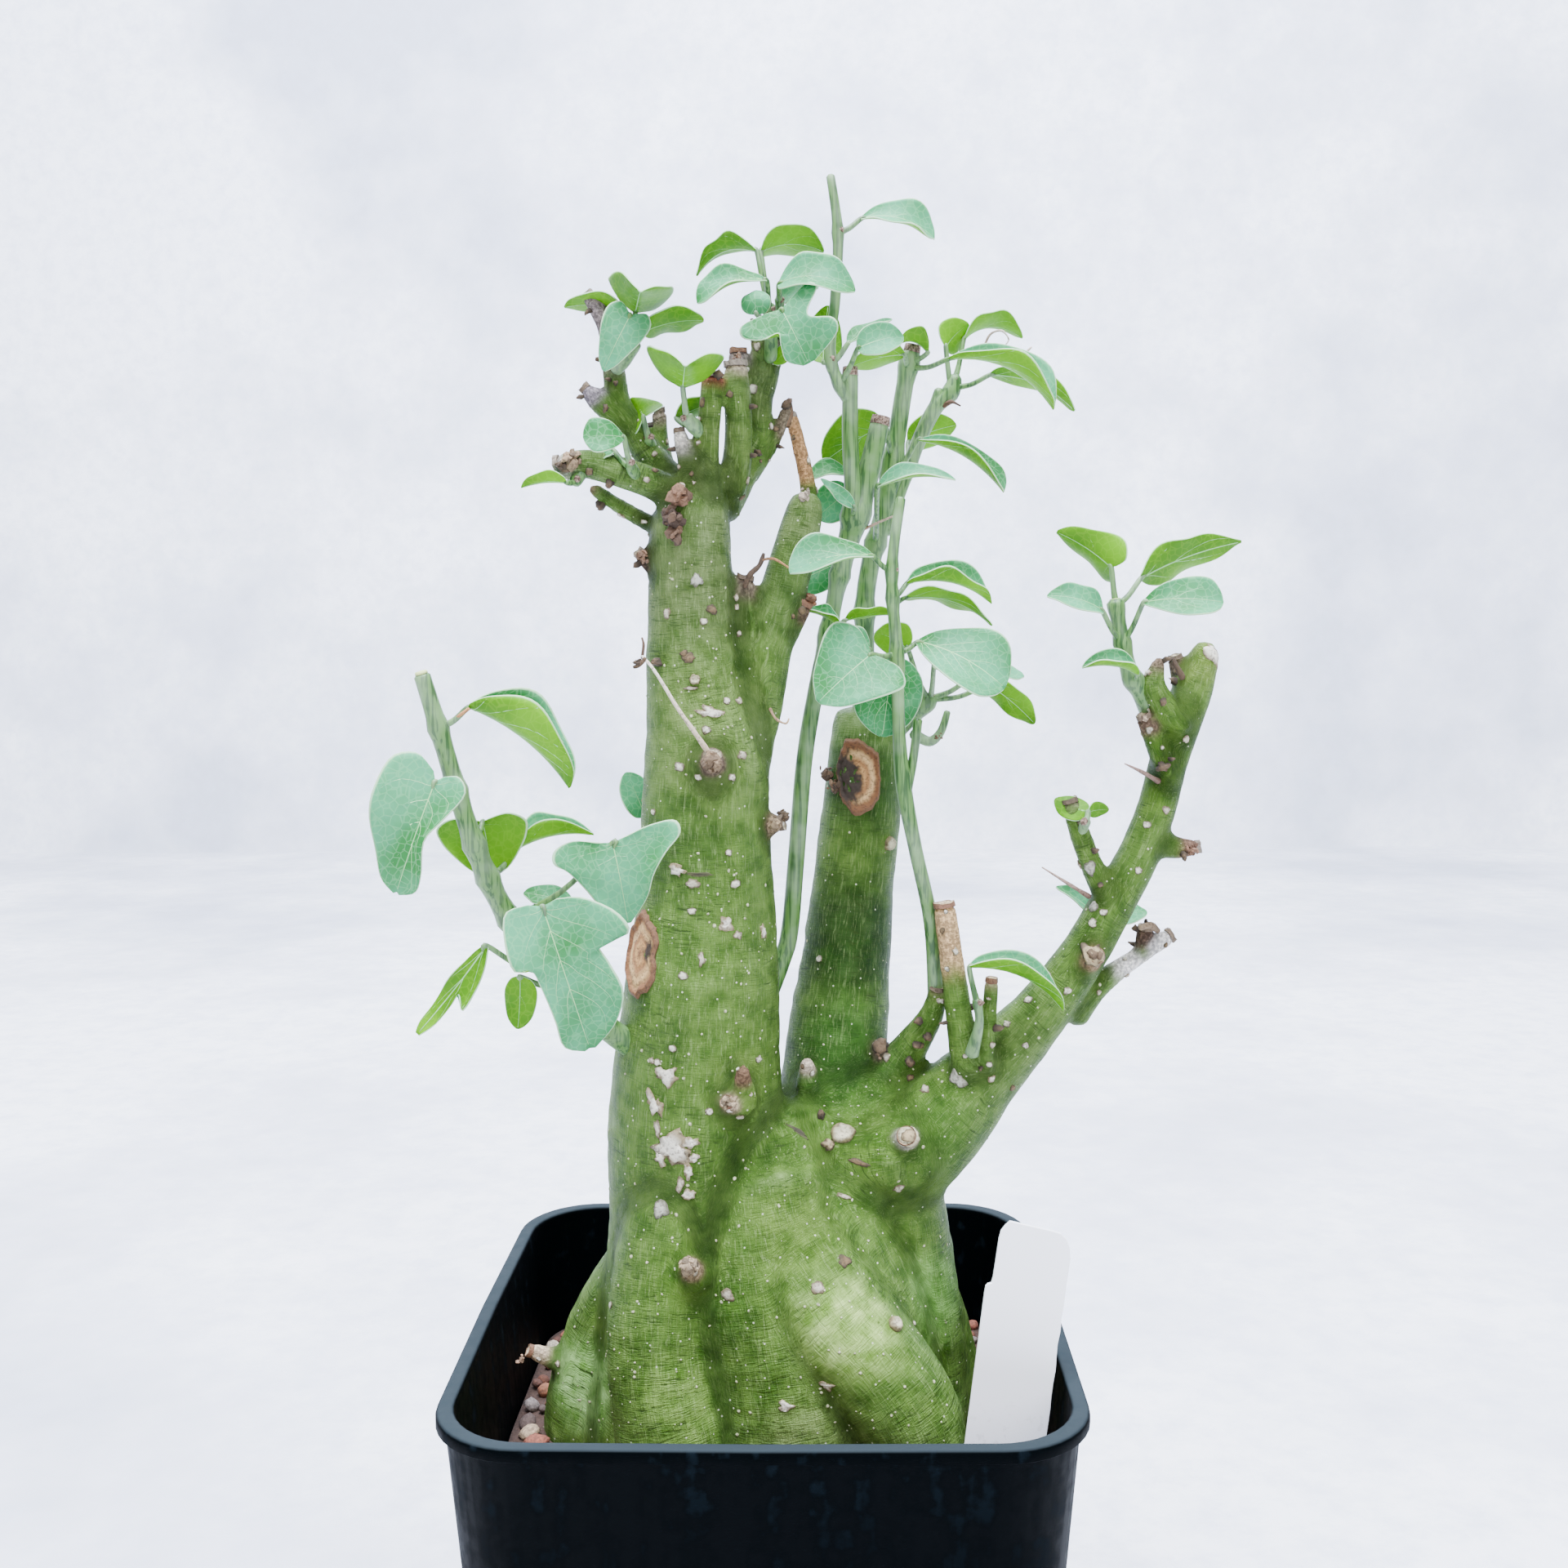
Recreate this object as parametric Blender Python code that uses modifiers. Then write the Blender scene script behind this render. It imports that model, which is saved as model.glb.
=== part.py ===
"""A potted adenia: a swollen green trunk, cut back hard, with young leafy shoots, in a square pot.

Units are metres, +Z is up, and the origin is the middle of the pot's underside. The camera stood in
front of the pot, on its -Y side. Places on the plant are written as they are read off the photograph:
a pixel across, a pixel down, and how far behind the pot's axis the point lies, in millimetres.
"""

import math

import bmesh
import bpy
from mathutils import Matrix, Vector, noise

MM = 0.001

# The pot, in metres
LIP_HALF = 0.0650
LIP_HEIGHT = 0.0028
LIP_OVERHANG = 0.0014
LIP_WIDTH = 0.0035
LIP_CORNER = 0.0188
LIP_BEAD = 0.0007
CORNER_SHRINK = 0.6
CORNER_STEPS = 4
SIDE_BOW = 0.0005
POT_HEIGHT = 0.120
POT_TAPER = 0.078
WALL = 0.0018
FLOOR = 0.0025
FLOOR_FILLET = 0.002
FOOT_ROUND = 0.0015
DRAIN_RADIUS = 0.0045
DRAIN_RING = 0.036
DRAIN_COUNT = 8
DRAIN_SIDES = 10

# The soil and the label
SOIL_DEPTH_BELOW_RIM = 0.029
SOIL_RELIEF = 0.0011
SOIL_DIP = 0.0010
GRAVEL_PITCH = 0.0068
GRAVEL_GRAIN = 0.0076
FACING_UP = 0.9
LABEL_WIDTH = 0.0165
LABEL_OUTLINE = [(-0.5, 0.0), (-0.5, 0.82), (-0.42, 0.83), (-0.40, 0.96), (-0.30, 1.0), (0.34, 0.985),
                 (0.46, 0.96), (0.5, 0.92), (0.5, 0.0), (0.12, -0.10), (-0.12, -0.10)]
LABEL_THICKNESS = 0.0008
LABEL_HEIGHT = 0.078
LABEL_FOOT = Vector((0.0453, -0.0400, 0.0750))
LABEL_LEAN = math.radians(7.5)
LABEL_TIP_BACK = math.radians(-4.0)
GAP = 0.0003

# Where the photograph was taken from: the eye, the way it looked, and its focal length in pixels
EYE = Vector((0.01068, -0.35224, POT_HEIGHT + 0.15442))
EYE_HEADING = math.radians(1.0213)
EYE_PITCH = math.radians(-5.699)
EYE_ROLL = math.radians(-0.3965)
FOCAL_PIXELS = 1965.2
PICTURE_MIDDLE = 960.0

# How fine the wood is made
WOOD_VOXEL = 0.0011
MASS_SMOOTHING = 30
BRANCH_SMOOTHING = 3
SMOOTHING_FACTOR = 0.5
MASS_SIDES = 24
BRANCH_SIDES = 16
WOOD_FACES = 3900

# The blades
BLADE_THICKNESS = 0.0007
PETIOLE_RADIUS = 0.00065
PETIOLE_OVERLAP = 0.0012
PETIOLE_SAG = 0.08
PETIOLE_SIDES = 4
TWIG_SIDES = 6
PLAIN_BLADE_ROWS = 5
LOBED_BLADE_ROWS = 8

# The masses of the wood: across, down, millimetres behind the axis, radius in millimetres
MASSES = [
    # The main stem, from the root up to the crown
    [(850, 1900, -4, 21), (850, 1790, -4, 23), (852, 1640, -5, 21), (853, 1500, -6, 19.8),
     (850, 1400, -6, 19.5), (853, 1330, -6, 19.0), (861, 1200, -6, 17.1), (866, 1100, -6, 15.0),
     (864, 1000, -6, 14.0), (866, 920, -6, 13.3), (853, 840, -6, 11.0), (848, 780, -6, 9.9),
     (846, 700, -6, 9.1), (846, 650, -6, 8.6), (852, 600, -6, 7.2)],
    # The right side of the base, and the front that the ridges stand out of
    [(1050, 1380, 2, 15), (1018, 1480, 0, 17), (1000, 1600, 0, 20), (1005, 1780, 0, 23),
     (1005, 1900, 0, 21)],
    [(925, 1430, -9, 16), (945, 1560, -13, 19), (970, 1680, -15, 20.5), (985, 1800, -14, 23),
     (985, 1900, -12, 19)],
    [(895, 1400, -4, 14), (950, 1438, -6, 13.5), (995, 1500, -8, 15), (1030, 1570, -9, 16),
     (1060, 1650, -9, 15), (1085, 1760, -8, 14)],
    [(950, 1415, -5, 12), (1030, 1408, -3, 12), (1100, 1402, -3, 12.5)],
    [(1085, 1465, 1, 13), (1096, 1560, 2, 14), (1112, 1660, 0, 13), (1122, 1780, 0, 12)],
    # Lobes of the base: left, front left, front ridge, right, back left, back right
    [(812, 1440, 0, 9), (804, 1530, 0, 10), (752, 1630, 1, 11), (728, 1730, 2, 11.6),
     (715, 1850, 2, 9)],
    [(835, 1440, -14, 11), (815, 1560, -19, 11.5), (812, 1680, -24, 12), (832, 1790, -26, 12.5),
     (840, 1880, -22, 9)],
    [(925, 1440, -11, 12), (958, 1520, -16, 13), (1008, 1600, -23, 12.5), (1062, 1665, -26, 12),
     (1112, 1740, -28, 11.8), (1140, 1860, -26, 9)],
    [(1078, 1440, 6, 10), (1100, 1540, 8, 11), (1132, 1640, 10, 11.4), (1148, 1750, 10, 11.6),
     (1155, 1850, 10, 9)],
    [(860, 1400, 8, 12), (820, 1560, 18, 12), (800, 1690, 24, 13), (790, 1820, 27, 11)],
    [(1010, 1430, 10, 12), (1040, 1560, 19, 12), (1070, 1680, 25, 13), (1085, 1820, 28, 11)],
    # The second stem, behind, and the woody branch off the main stem
    [(1014, 1440, 4, 14), (1019, 1340, 8, 12.6), (1031, 1210, 13, 10.9), (1045, 1080, 17, 9.7),
     (1056, 970, 19, 9.0), (1063, 890, 21, 8.4), (1064, 868, 21, 7.8)],
    [(890, 960, -5, 9), (918, 870, -4, 7.2), (940, 790, -3, 5.8), (962, 715, -2, 5.3),
     (978, 655, -1, 4.8), (986, 620, 0, 4.1),
     (989, 602, 0, 3.0)],
    # The right arm
    [(1040, 1470, 2, 14), (1100, 1415, 0, 13), (1160, 1362, -2, 11), (1210, 1308, -3, 8.4),
     (1272, 1242, -3, 6.5), (1322, 1175, -3, 5.5), (1360, 1110, -3, 5.2), (1393, 1050, -3, 4.8),
     (1416, 990, -3, 4.5), (1430, 935, -3, 4.4), (1447, 880, -3, 4.7), (1460, 846, -3, 4.5),
     (1473, 806, -3, 3.6), (1480, 784, -3, 2.0)],
]

# The smaller wood that stands on them, in the same measures
BRANCHES = [
    # Stubs on the right arm
    [(1358, 1105, -4, 3.0), (1338, 1062, -5, 2.5), (1322, 1020, -6, 2.2), (1311, 984, -6, 1.9)],
    [(1412, 1030, -3, 3.4), (1440, 1038, -3, 2.5), (1463, 1037, -3, 1.5)],
    [(1432, 955, -5, 2.6), (1416, 915, -7, 2.1), (1402, 880, -8, 1.7)],
    [(1445, 890, -6, 3.2), (1420, 856, -8, 2.8), (1412, 838, -8, 2.5), (1420, 808, -8, 0.9)],
    [(1458, 860, -2, 2.4), (1447, 832, -1, 2.1), (1440, 808, -1, 1.6)],
    [(1312, 1240, 0, 4.2), (1342, 1208, 1, 3.0), (1386, 1176, 2, 1.9), (1430, 1147, 3, 1.8)],
    [(1398, 1168, 2, 1.6), (1402, 1140, 2, 1.8)],
    [(1330, 1180, -6, 3.0), (1339, 1172, -9, 2.1)],
    # Stubs in the fork of the right arm, and the foot of the front vine
    [(1196, 1340, -6, 5), (1180, 1280, -9, 3.4), (1168, 1195, -10, 2.7), (1157, 1113, -10, 2.4)],
    [(1216, 1320, -8, 2.4), (1209, 1292, -11, 1.6), (1214, 1203, -12, 1.4)],
    [(1070, 1350, 4, 7), (1108, 1292, 2, 4.4), (1140, 1244, -3, 2.8), (1148, 1212, -5, 1.9)],
    # Crown: the two left branches, with a stub on each
    [(850, 640, -7, 5), (829, 609, -9, 3.7), (794, 590, -10, 3.4), (756, 577, -11, 3.3),
     (718, 568, -12, 3.1), (690, 572, -12, 2.9)],
    [(836, 668, -3, 3), (808, 648, -4, 1.9), (775, 630, -5, 1.6), (746, 612, -6, 1.4),
     (726, 598, -7, 1.2)],
    [(852, 612, -3, 4.2), (821, 588, -3, 3.8), (795, 558, -3, 3.4), (773, 522, -3, 3.0),
     (757, 492, -3, 2.7), (752, 455, -3, 2.4), (745, 405, -3, 2.1), (732, 378, -3, 1.9),
     (722, 364, -3, 1.5)],
    [(764, 518, -4, 2.4), (745, 503, -5, 2.3), (728, 487, -6, 2.1), (718, 477, -6, 1.3)],
    [(812, 700, -7, 3), (785, 679, -9, 1.4)],
    # Crown: the upright stubs
    [(822, 592, 0, 2.4), (811, 550, 1, 1.6), (807, 505, 1, 1.4)],
    [(850, 615, -9, 2.4), (840, 572, -10, 1.5), (832, 530, -10, 1.3)],
    [(864, 600, -9, 3.6), (866, 560, -10, 2.5), (869, 505, -10, 2.35), (872, 464, -10, 2.2)],
    [(893, 600, -5, 3.8), (903, 560, -5, 3.2), (904, 500, -6, 3.0), (901, 452, -6, 2.6)],
    [(900, 590, 1, 2.6), (905, 500, 2, 2.2), (904, 434, 2, 2.0)],
    [(880, 620, -2, 5), (905, 582, 1, 3.9), (924, 540, 3, 3.3), (929, 490, 3, 3.1), (940, 455, 4, 2.6),
     (930, 425, 4, 1.8), (927, 398, 4, 1.5)],
    [(938, 462, 4, 2.1), (952, 430, 5, 1.9), (962, 405, 5, 1.5)],
    [(916, 585, 3, 2.0), (944, 548, 4, 1.2), (965, 500, 4, 1.1)],
    # Stubs by the branch of the main stem
    [(985, 650, 3, 3.2), (990, 600, 6, 1.8), (970, 512, 8, 1.3)],
    [(915, 800, -4, 4), (908, 745, -5, 2.6), (912, 712, -5, 2.0)],
    [(960, 780, -3, 3), (985, 742, -4, 1.7)],
    # Knobs and short dead stubs on the main stem and between the stems
    [(872, 950, -17, 3.0), (872, 930, -20.5, 2.2)],
    [(930, 1012, -8, 3.4), (953, 1008, -9, 1.8)],
    [(912, 1350, -22, 3.0), (909, 1310, -27, 1.2)],
    [(908, 1356, -22, 2.6), (892, 1350, -26, 1.5)],
    [(990, 1330, -2, 3.0), (988, 1300, -5, 1.2)],
    [(1082, 1310, 4, 3), (1076, 1282, 1, 1.3)],
    [(1110, 1396, -12, 3.2), (1110, 1392, -15, 2.2)],
    [(850, 1560, -28, 3), (847, 1553, -31, 2.4)],
    [(700, 1670, -2, 3.2), (652, 1655, -4, 1.5)],
    [(1095, 1625, -12, 3.2), (1096, 1617, -17, 1.8)],
]

# Margins of the blades, from the petiole to the tip: how far along, as a part of the length, and how
# far across, as a part of half the width. A name with two margins has its left side first.
EVEN = {
    "oval": [(-0.01, 0.12), (0.06, 0.62), (0.25, 0.96), (0.50, 1.0), (0.76, 0.80), (0.93, 0.42),
             (1.0, 0.08)],
    "heart": [(-0.05, 0.16), (-0.13, 0.62), (0.02, 0.98), (0.28, 0.94), (0.56, 0.72), (0.84, 0.42),
              (1.0, 0.08)],
    "wedge": [(0.0, 0.10), (0.12, 0.42), (0.34, 0.76), (0.60, 1.0), (0.83, 0.90), (0.96, 0.46),
              (1.0, 0.08)],
    "lance": [(0.0, 0.14), (0.10, 0.66), (0.30, 1.0), (0.52, 0.90), (0.74, 0.62), (0.92, 0.28),
              (1.0, 0.06)],
}
LOPSIDED = {
    "pale": (
        [(-0.06, 0.12), (-0.10, 0.40), (0.02, 0.62), (0.28, 0.40), (0.50, 0.20), (0.78, 0.34),
         (0.95, 0.34),
         (1.02, 0.06)],
        [(-0.08, 0.10), (-0.18, 0.50), (-0.08, 0.92), (0.20, 1.0), (0.45, 0.90), (0.70, 0.62),
         (0.92, 0.36),
         (1.02, 0.06)]),
    "arrow": (
        [(-0.05, 0.22), (-0.13, 0.58), (-0.14, 0.96), (0.02, 1.0), (0.20, 0.74), (0.44, 0.50),
         (0.72, 0.34),
         (1.0, 0.05)],
        [(-0.04, 0.22), (-0.13, 0.58), (-0.08, 0.88), (0.06, 0.94), (0.20, 0.76), (0.44, 0.56),
         (0.72, 0.36),
         (1.0, 0.05)]),
    "mitten": (
        [(-0.02, 0.22), (0.02, 0.56), (0.16, 0.92), (0.31, 1.0), (0.335, 0.58), (0.47, 0.62),
         (0.68, 0.68),
         (0.88, 0.44), (1.01, 0.08)],
        [(-0.04, 0.18), (-0.04, 0.50), (0.12, 0.63), (0.31, 0.64), (0.355, 0.42), (0.47, 0.37),
         (0.72, 0.33),
         (0.92, 0.33), (1.01, 0.08)]),
    "notched": (
        [(0.0, 0.10), (0.12, 0.30), (0.28, 0.40), (0.44, 0.44), (0.60, 0.40), (0.76, 0.34),
         (0.90, 0.28),
         (1.0, 0.10)],
        [(0.0, 0.12), (0.14, 0.50), (0.33, 0.80), (0.57, 1.0), (0.49, 0.36), (0.64, 0.34), (0.84, 0.34),
         (1.0, 0.12)]),
    "clover": (
        [(-0.05, 0.14), (-0.20, 0.70), (-0.05, 0.86), (0.20, 0.50), (0.36, 0.46), (0.55, 0.86),
         (0.80, 0.80),
         (1.0, 0.16)],
        [(-0.05, 0.30), (-0.04, 0.90), (0.16, 1.0), (0.34, 0.66), (0.36, 0.30), (0.56, 0.36),
         (0.82, 0.40),
         (1.0, 0.12)]),
}

# The leafy stems. A stem is a list of twigs: across, down, mm behind the axis, radius in mm.
# A leaf is: the foot of its petiole on the wood, the base of its blade and its tip, each as across and
# down; how far behind the axis these three lie; the blade's width in mm; which way its upper side
# faces, as a turn round the midrib (0 to the camera, 90 to its own left, 180 away); how far its halves
# fold up; how far the midrib arches; and its margin.
SHOOTS = {
    "shoot_left": (
        [[(790, 1290, -12, 3.0), (748, 1262, -17, 2.7), (700, 1215, -26, 2.5), (652, 1165, -33, 2.3),
          (612, 1105, -37, 2.1), (585, 1045, -40, 2.0), (563, 980, -42, 1.85), (541, 905, -44, 1.75),
          (517, 828, -46, 1.6)]],
        [((549, 887), (574, 866), (697, 965), (-44, -45, -42), 17, 78, 58, 2.0, "oval"),
         ((557, 965), (533, 957), (486, 1092), (-43, -49, -50), 20.5, -8, 10, 1.5, "pale"),
         ((583, 1035), (591, 1006), (602, 1074), (-39, -35, -34), 19, 165, -12, 1.0, "heart"),
         ((598, 1070), (632, 1040), (727, 1022), (-37, -31, -28), 11, 72, 55, 1.5, "lance"),
         ((622, 1122), (750, 1032), (769, 1130), (-35, -40, -39), 27, 6, 14, 1.2, "arrow"),
         ((640, 1145), (664, 1110), (722, 1283), (-34, -49, -46), 28.5, 0, 10, 2.0, "mitten"),
         ((650, 1160), (700, 1106), (641, 1094), (-32, -34, -36), 5.5, -35, 10, 0.5, "oval"),
         ((676, 1190), (596, 1158), (511, 1266), (-30, -41, -42), 9.5, 160, -12, 1.0, "notched"),
         ((690, 1204), (637, 1196), (634, 1260), (-27, -35, -35), 7.0, 160, 10, 0.5, "oval")]),
    "shoot_front": (
        [[(1146, 1222, -4, 1.8), (1140, 1130, -7, 1.6), (1121, 1040, -9, 1.5), (1107, 966, -10, 1.7),
          (1101, 900, -10, 1.4), (1098, 800, -10, 1.3), (1092, 700, -10, 1.2), (1103, 611, -10, 1.05)],
         [(1108, 975, -10, 1.3), (1118, 930, -9, 1.0), (1124, 882, -9, 1.0)]],
        [((1090, 697), (1069, 681), (967, 702), (-10, -11, -15), 12.0, -52, 26, 2.0, "wedge"),
         ((1098, 735), (1111, 714), (1214, 739), (-10, -8, -6), 10.0, 72, 50, 2.5, "oval"),
         ((1097, 803), (1067, 801), (1002, 860), (-10, -14, -20), 20.5, -12, 8, 1.0, "heart"),
         ((1102, 801), (1124, 786), (1230, 843), (-10, -9, -14), 17.5, 36, 16, 2.5, "wedge"),
         ((1102, 812), (1092, 803), (1080, 902), (-9, -5, -7), 15.5, 10, -10, 1.0, "oval")]),
    "shoot_back": (
        [[(957, 1176, 7, 2.1), (967, 1140, 8, 2.0), (975, 1050, 8, 1.9), (985, 930, 8, 1.85),
          (1000, 840, 8, 1.8), (1015, 770, 8, 1.8), (1028, 705, 8, 2.0), (1044, 645, 8, 2.6),
          (1062, 585, 8, 2.5), (1077, 520, 8, 2.1)],
         [(1042, 655, 8, 2.4), (1044, 600, 6, 1.9), (1041, 540, 6, 1.8), (1041, 459, 6, 1.7)],
         [(1041, 490, 6, 1.7), (1028, 470, 5, 1.3), (1017, 440, 4, 1.1), (1019, 400, 3, 1.1),
          (1023, 362, 3, 1.15), (1026, 285, 3, 1.1), (1017, 216, 3, 0.95)]],
        [((1026, 284), (1054, 268), (1144, 293), (3, 4, 6), 11.5, 60, 24, 2.5, "wedge"),
         ((1017, 440), (1008, 444), (1014, 374), (4, 4, 8), 8.5, 172, 14, 1.5, "oval"),
         ((1018, 446), (1038, 421), (1092, 391), (4, 3, 7), 5.5, 60, 18, 0.5, "lance"),
         ((1029, 470), (1050, 427), (1106, 412), (4, 0, 2), 8.0, 28, 20, 1.0, "oval"),
         ((1044, 625), (1040, 582), (982, 594), (10, 13, 12), 8.0, -60, 20, 2.0, "lance"),
         ((1044, 630), (1042, 600), (1000, 634), (11, 16, 18), 9.5, -18, 8, 0.5, "oval"),
         ((1047, 638), (1046, 621), (1005, 586), (3, 2, 0), 3.2, -20, 10, 0.5, "lance"),
         ((1028, 705), (1026, 690), (968, 718), (12, 15, 16), 9.0, -20, -12, 0.5, "oval"),
         ((1016, 765), (1028, 768), (980, 748), (5, 3, 0), 6.0, -70, 40, 1.0, "lance"),
         ((1016, 772), (1034, 760), (1101, 752), (5, -1, -2), 5.0, 118, 30, 0.5, "lance"),
         ((1012, 785), (1064, 795), (1014, 776), (4, -4, -5), 8.0, -55, 22, 0.5, "oval")]),
    "shoot_middle": (
        [[(1060, 905, 21, 3.0), (1056, 870, 21, 2.4), (1059, 800, 22, 2.2), (1059, 741, 22, 2.2),
          (1066, 690, 22, 2.2), (1087, 604, 22, 2.1), (1106, 483, 22, 2.0), (1116, 432, 22, 1.9)],
         [(1085, 650, 23, 2.0), (1100, 605, 24, 1.7), (1125, 540, 25, 1.7), (1145, 500, 25, 1.8),
          (1163, 482, 25, 1.7), (1170, 462, 25, 1.2)],
         [(1145, 500, 25, 1.7), (1150, 478, 25, 1.1)]],
        [((1120, 445), (1136, 432), (1097, 424), (22, 17, 16), 8.0, -112, 40, 2.0, "oval"),
         ((1112, 452), (1108, 434), (1036, 452), (21, 16, 14), 9.5, -128, 12, 1.0, "lance"),
         ((1121, 452), (1160, 440), (1290, 502), (21, 15, 12), 14.0, 78, 46, 4.0, "wedge"),
         ((1163, 478), (1158, 425), (1186, 396), (25, 24, 26), 8.5, 150, 14, 1.0, "oval"),
         ((1168, 468), (1180, 416), (1252, 414), (25, 27, 30), 10.5, 112, 24, 3.0, "oval"),
         ((1170, 476), (1212, 459), (1316, 503), (25, 22, 20), 7.0, 130, 16, 3.0, "oval"),
         ((1104, 575), (1112, 541), (1171, 520), (24, 29, 30), 9.0, 150, 10, 1.0, "oval"),
         ((1101, 583), (1124, 539), (1229, 603), (21, 17, 14), 9.0, 70, 42, 2.5, "wedge"),
         ((1062, 660), (1074, 597), (1170, 588), (17, 4, 2), 7.5, 62, 30, 2.0, "lance"),
         ((1092, 555), (1084, 520), (1008, 566), (20, 16, 15), 13.5, -150, 10, 1.0, "oval"),
         ((1064, 748), (1106, 733), (1215, 766), (19, 8, 6), 7.5, 118, 14, 3.0, "lance")]),
    "shoot_right": (
        [[(1412, 880, -4, 2.4), (1398, 850, -7, 2.0), (1383, 822, -8, 1.8), (1373, 780, -8, 1.6),
          (1366, 738, -8, 1.5)]],
        [((1362, 740), (1361, 695), (1294, 651), (-8, -8, -4), 12.0, -142, 24, 1.0, "heart"),
         ((1372, 742), (1397, 708), (1520, 663), (-8, -6, -2), 10.5, 140, 10, 1.5, "lance"),
         ((1367, 788), (1350, 748), (1282, 730), (-9, -12, -15), 7.2, -42, 22, 1.5, "oval"),
         ((1370, 788), (1400, 738), (1498, 738), (-9, -13, -17), 10.5, 34, 18, 1.5, "wedge"),
         ((1386, 832), (1393, 826), (1325, 818), (-9, -12, -14), 7.5, -66, 44, 1.5, "oval")]),
    "spray_top": (
        [[(944, 440, 2, 1.6), (944, 405, 0, 1.3), (942, 375, -1, 1.1)],
         [(958, 412, 4, 1.3), (957, 390, 2, 0.9), (954, 366, 0, 0.8)]],
        [((942, 378), (927, 308), (853, 338), (-1, 0, 2), 9.0, -120, 26, 3.0, "lance"),
         ((943, 378), (932, 308), (1009, 308), (-1, 2, 4), 11.0, 128, 14, 2.0, "oval"),
         ((940, 384), (939, 344), (854, 372), (-2, -5, -8), 9.0, -58, 26, 2.5, "wedge"),
         ((955, 372), (954, 348), (1047, 357), (-1, -5, -8), 11.5, 48, 22, 3.0, "oval"),
         ((939, 388), (926, 384), (926, 356), (-2, -10, -8), 6.5, 10, -20, 1.5, "oval"),
         ((957, 385), (952, 372), (1002, 351), (3, 5, 8), 6.0, 60, 10, 1.0, "oval"),
         ((945, 392), (957, 379), (990, 445), (-2, -12, -13), 20.0, 4, 8, 1.5, "clover"),
         ((958, 408), (966, 424), (948, 446), (2, 0, 1), 3.5, 170, 10, 0.5, "oval")]),
    "spray_left": (
        [[(754, 452, -5, 1.5), (766, 440, -7, 1.4), (777, 420, -9, 1.2)]],
        [((776, 424), (770, 386), (691, 376), (-9, -5, -2), 7.5, -122, 12, 1.5, "oval"),
         ((777, 421), (778, 382), (784, 357), (-9, -8, -22), 17.0, 178, 37, 1.0, "oval"),
         ((779, 421), (788, 406), (862, 392), (-9, -9, -6), 8.5, 128, 8, 1.0, "oval"),
         ((774, 424), (772, 386), (739, 454), (-9, -13, -14), 10.0, -8, 10, 1.0, "heart")]),
    "spray_inner": (
        [[(862, 535, -10, 1.4), (850, 522, -12, 1.3), (841, 512, -13, 1.1)]],
        [((840, 513), (836, 474), (839, 448), (-13, -15, -28), 20.0, 178, 38, 1.0, "oval"),
         ((846, 517), (828, 512), (888, 494), (-11, -5, -4), 6.5, 132, 8, 1.0, "oval")]),
    "leaf_inner": (
        [[(806, 560, -1, 1.3), (800, 548, -4, 1.0), (794, 538, -6, 0.8)]],
        [((794, 540), (788, 511), (772, 488), (-6, -7, -2), 9.5, -165, 20, 1.0, "heart")]),
    "leaf_west": (
        [[(780, 585, -12, 1.2), (772, 570, -16, 0.9)]],
        [((772, 572), (764, 536), (714, 536), (-16, -18, -21), 8.0, -28, 8, 1.0, "wedge"),
         ((773, 572), (752, 552), (734, 562), (-15, -13, -12), 3.6, -60, 10, 0.3, "oval")]),
    "leaf_low": (
        [[(712, 580, -13, 1.3), (704, 590, -15, 1.0)]],
        [((705, 589), (694, 591), (638, 597), (-15, -17, -18), 5.2, -118, 30, 0.8, "oval")]),
    "spray_stump": (
        [[(1085, 905, 20, 2.6), (1112, 880, 19, 2.2), (1132, 864, 18, 1.9), (1140, 854, 18, 1.4)],
         [(1118, 898, 18, 1.3), (1138, 908, 17, 1.2), (1152, 896, 16, 1.0), (1160, 872, 16, 0.8)]],
        [((1140, 856), (1144, 812), (1208, 846), (18, 8, 3), 6.5, 46, 14, 1.0, "oval"),
         ((1141, 857), (1190, 828), (1254, 829), (18, 16, 13), 6.5, 56, 10, 1.0, "oval"),
         ((1142, 859), (1210, 838), (1267, 886), (18, 19, 20), 7.0, 150, 10, 1.0, "oval"),
         ((1136, 858), (1112, 795), (1072, 774), (17, 10, 8), 9.0, -150, 12, 1.0, "oval")]),
    "leaf_stub": (
        [[(1324, 1018, -7, 1.2), (1330, 1006, -10, 0.8)]],
        [((1330, 1007), (1332, 994), (1291, 979), (-10, -9, -6), 5.8, 155, 10, 0.8, "oval"),
         ((1331, 1006), (1333, 994), (1358, 991), (-10, -9, -8), 3.6, 155, 10, 0.5, "oval")]),
    "leaf_behind_arm": (
        [[(1352, 1130, 1, 1.6), (1346, 1124, 6, 1.0)]],
        [((1346, 1124), (1340, 1120), (1293, 1086), (6, 9, 9), 5.0, -55, 20, 0.6, "oval"),
         ((1348, 1124), (1362, 1128), (1404, 1116), (6, 10, 12), 6.0, 40, 10, 0.6, "oval")]),
    "leaf_crotch": (
        [[(1190, 1290, -12, 1.6), (1199, 1252, -15, 1.0), (1196, 1225, -16, 0.8)]],
        [((1196, 1228), (1187, 1184), (1302, 1237), (-16, -16, -14), 10.0, 74, 48, 3.0, "oval")]),
    "leaf_behind_trunk": (
        [[(820, 1010, 2, 1.6), (795, 1005, 8, 1.0)]],
        [((796, 1005), (790, 1000), (766, 946), (8, 9, 10), 8.0, -20, 10, 0.6, "oval")]),
}

BARK = (0.21, 0.33, 0.10)
LEAF_GREEN = (0.26, 0.47, 0.25)
POT_BLACK = (0.010, 0.014, 0.017)
LABEL_WHITE = (0.82, 0.83, 0.85)
GRAVEL = (0.30, 0.17, 0.10)


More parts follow.
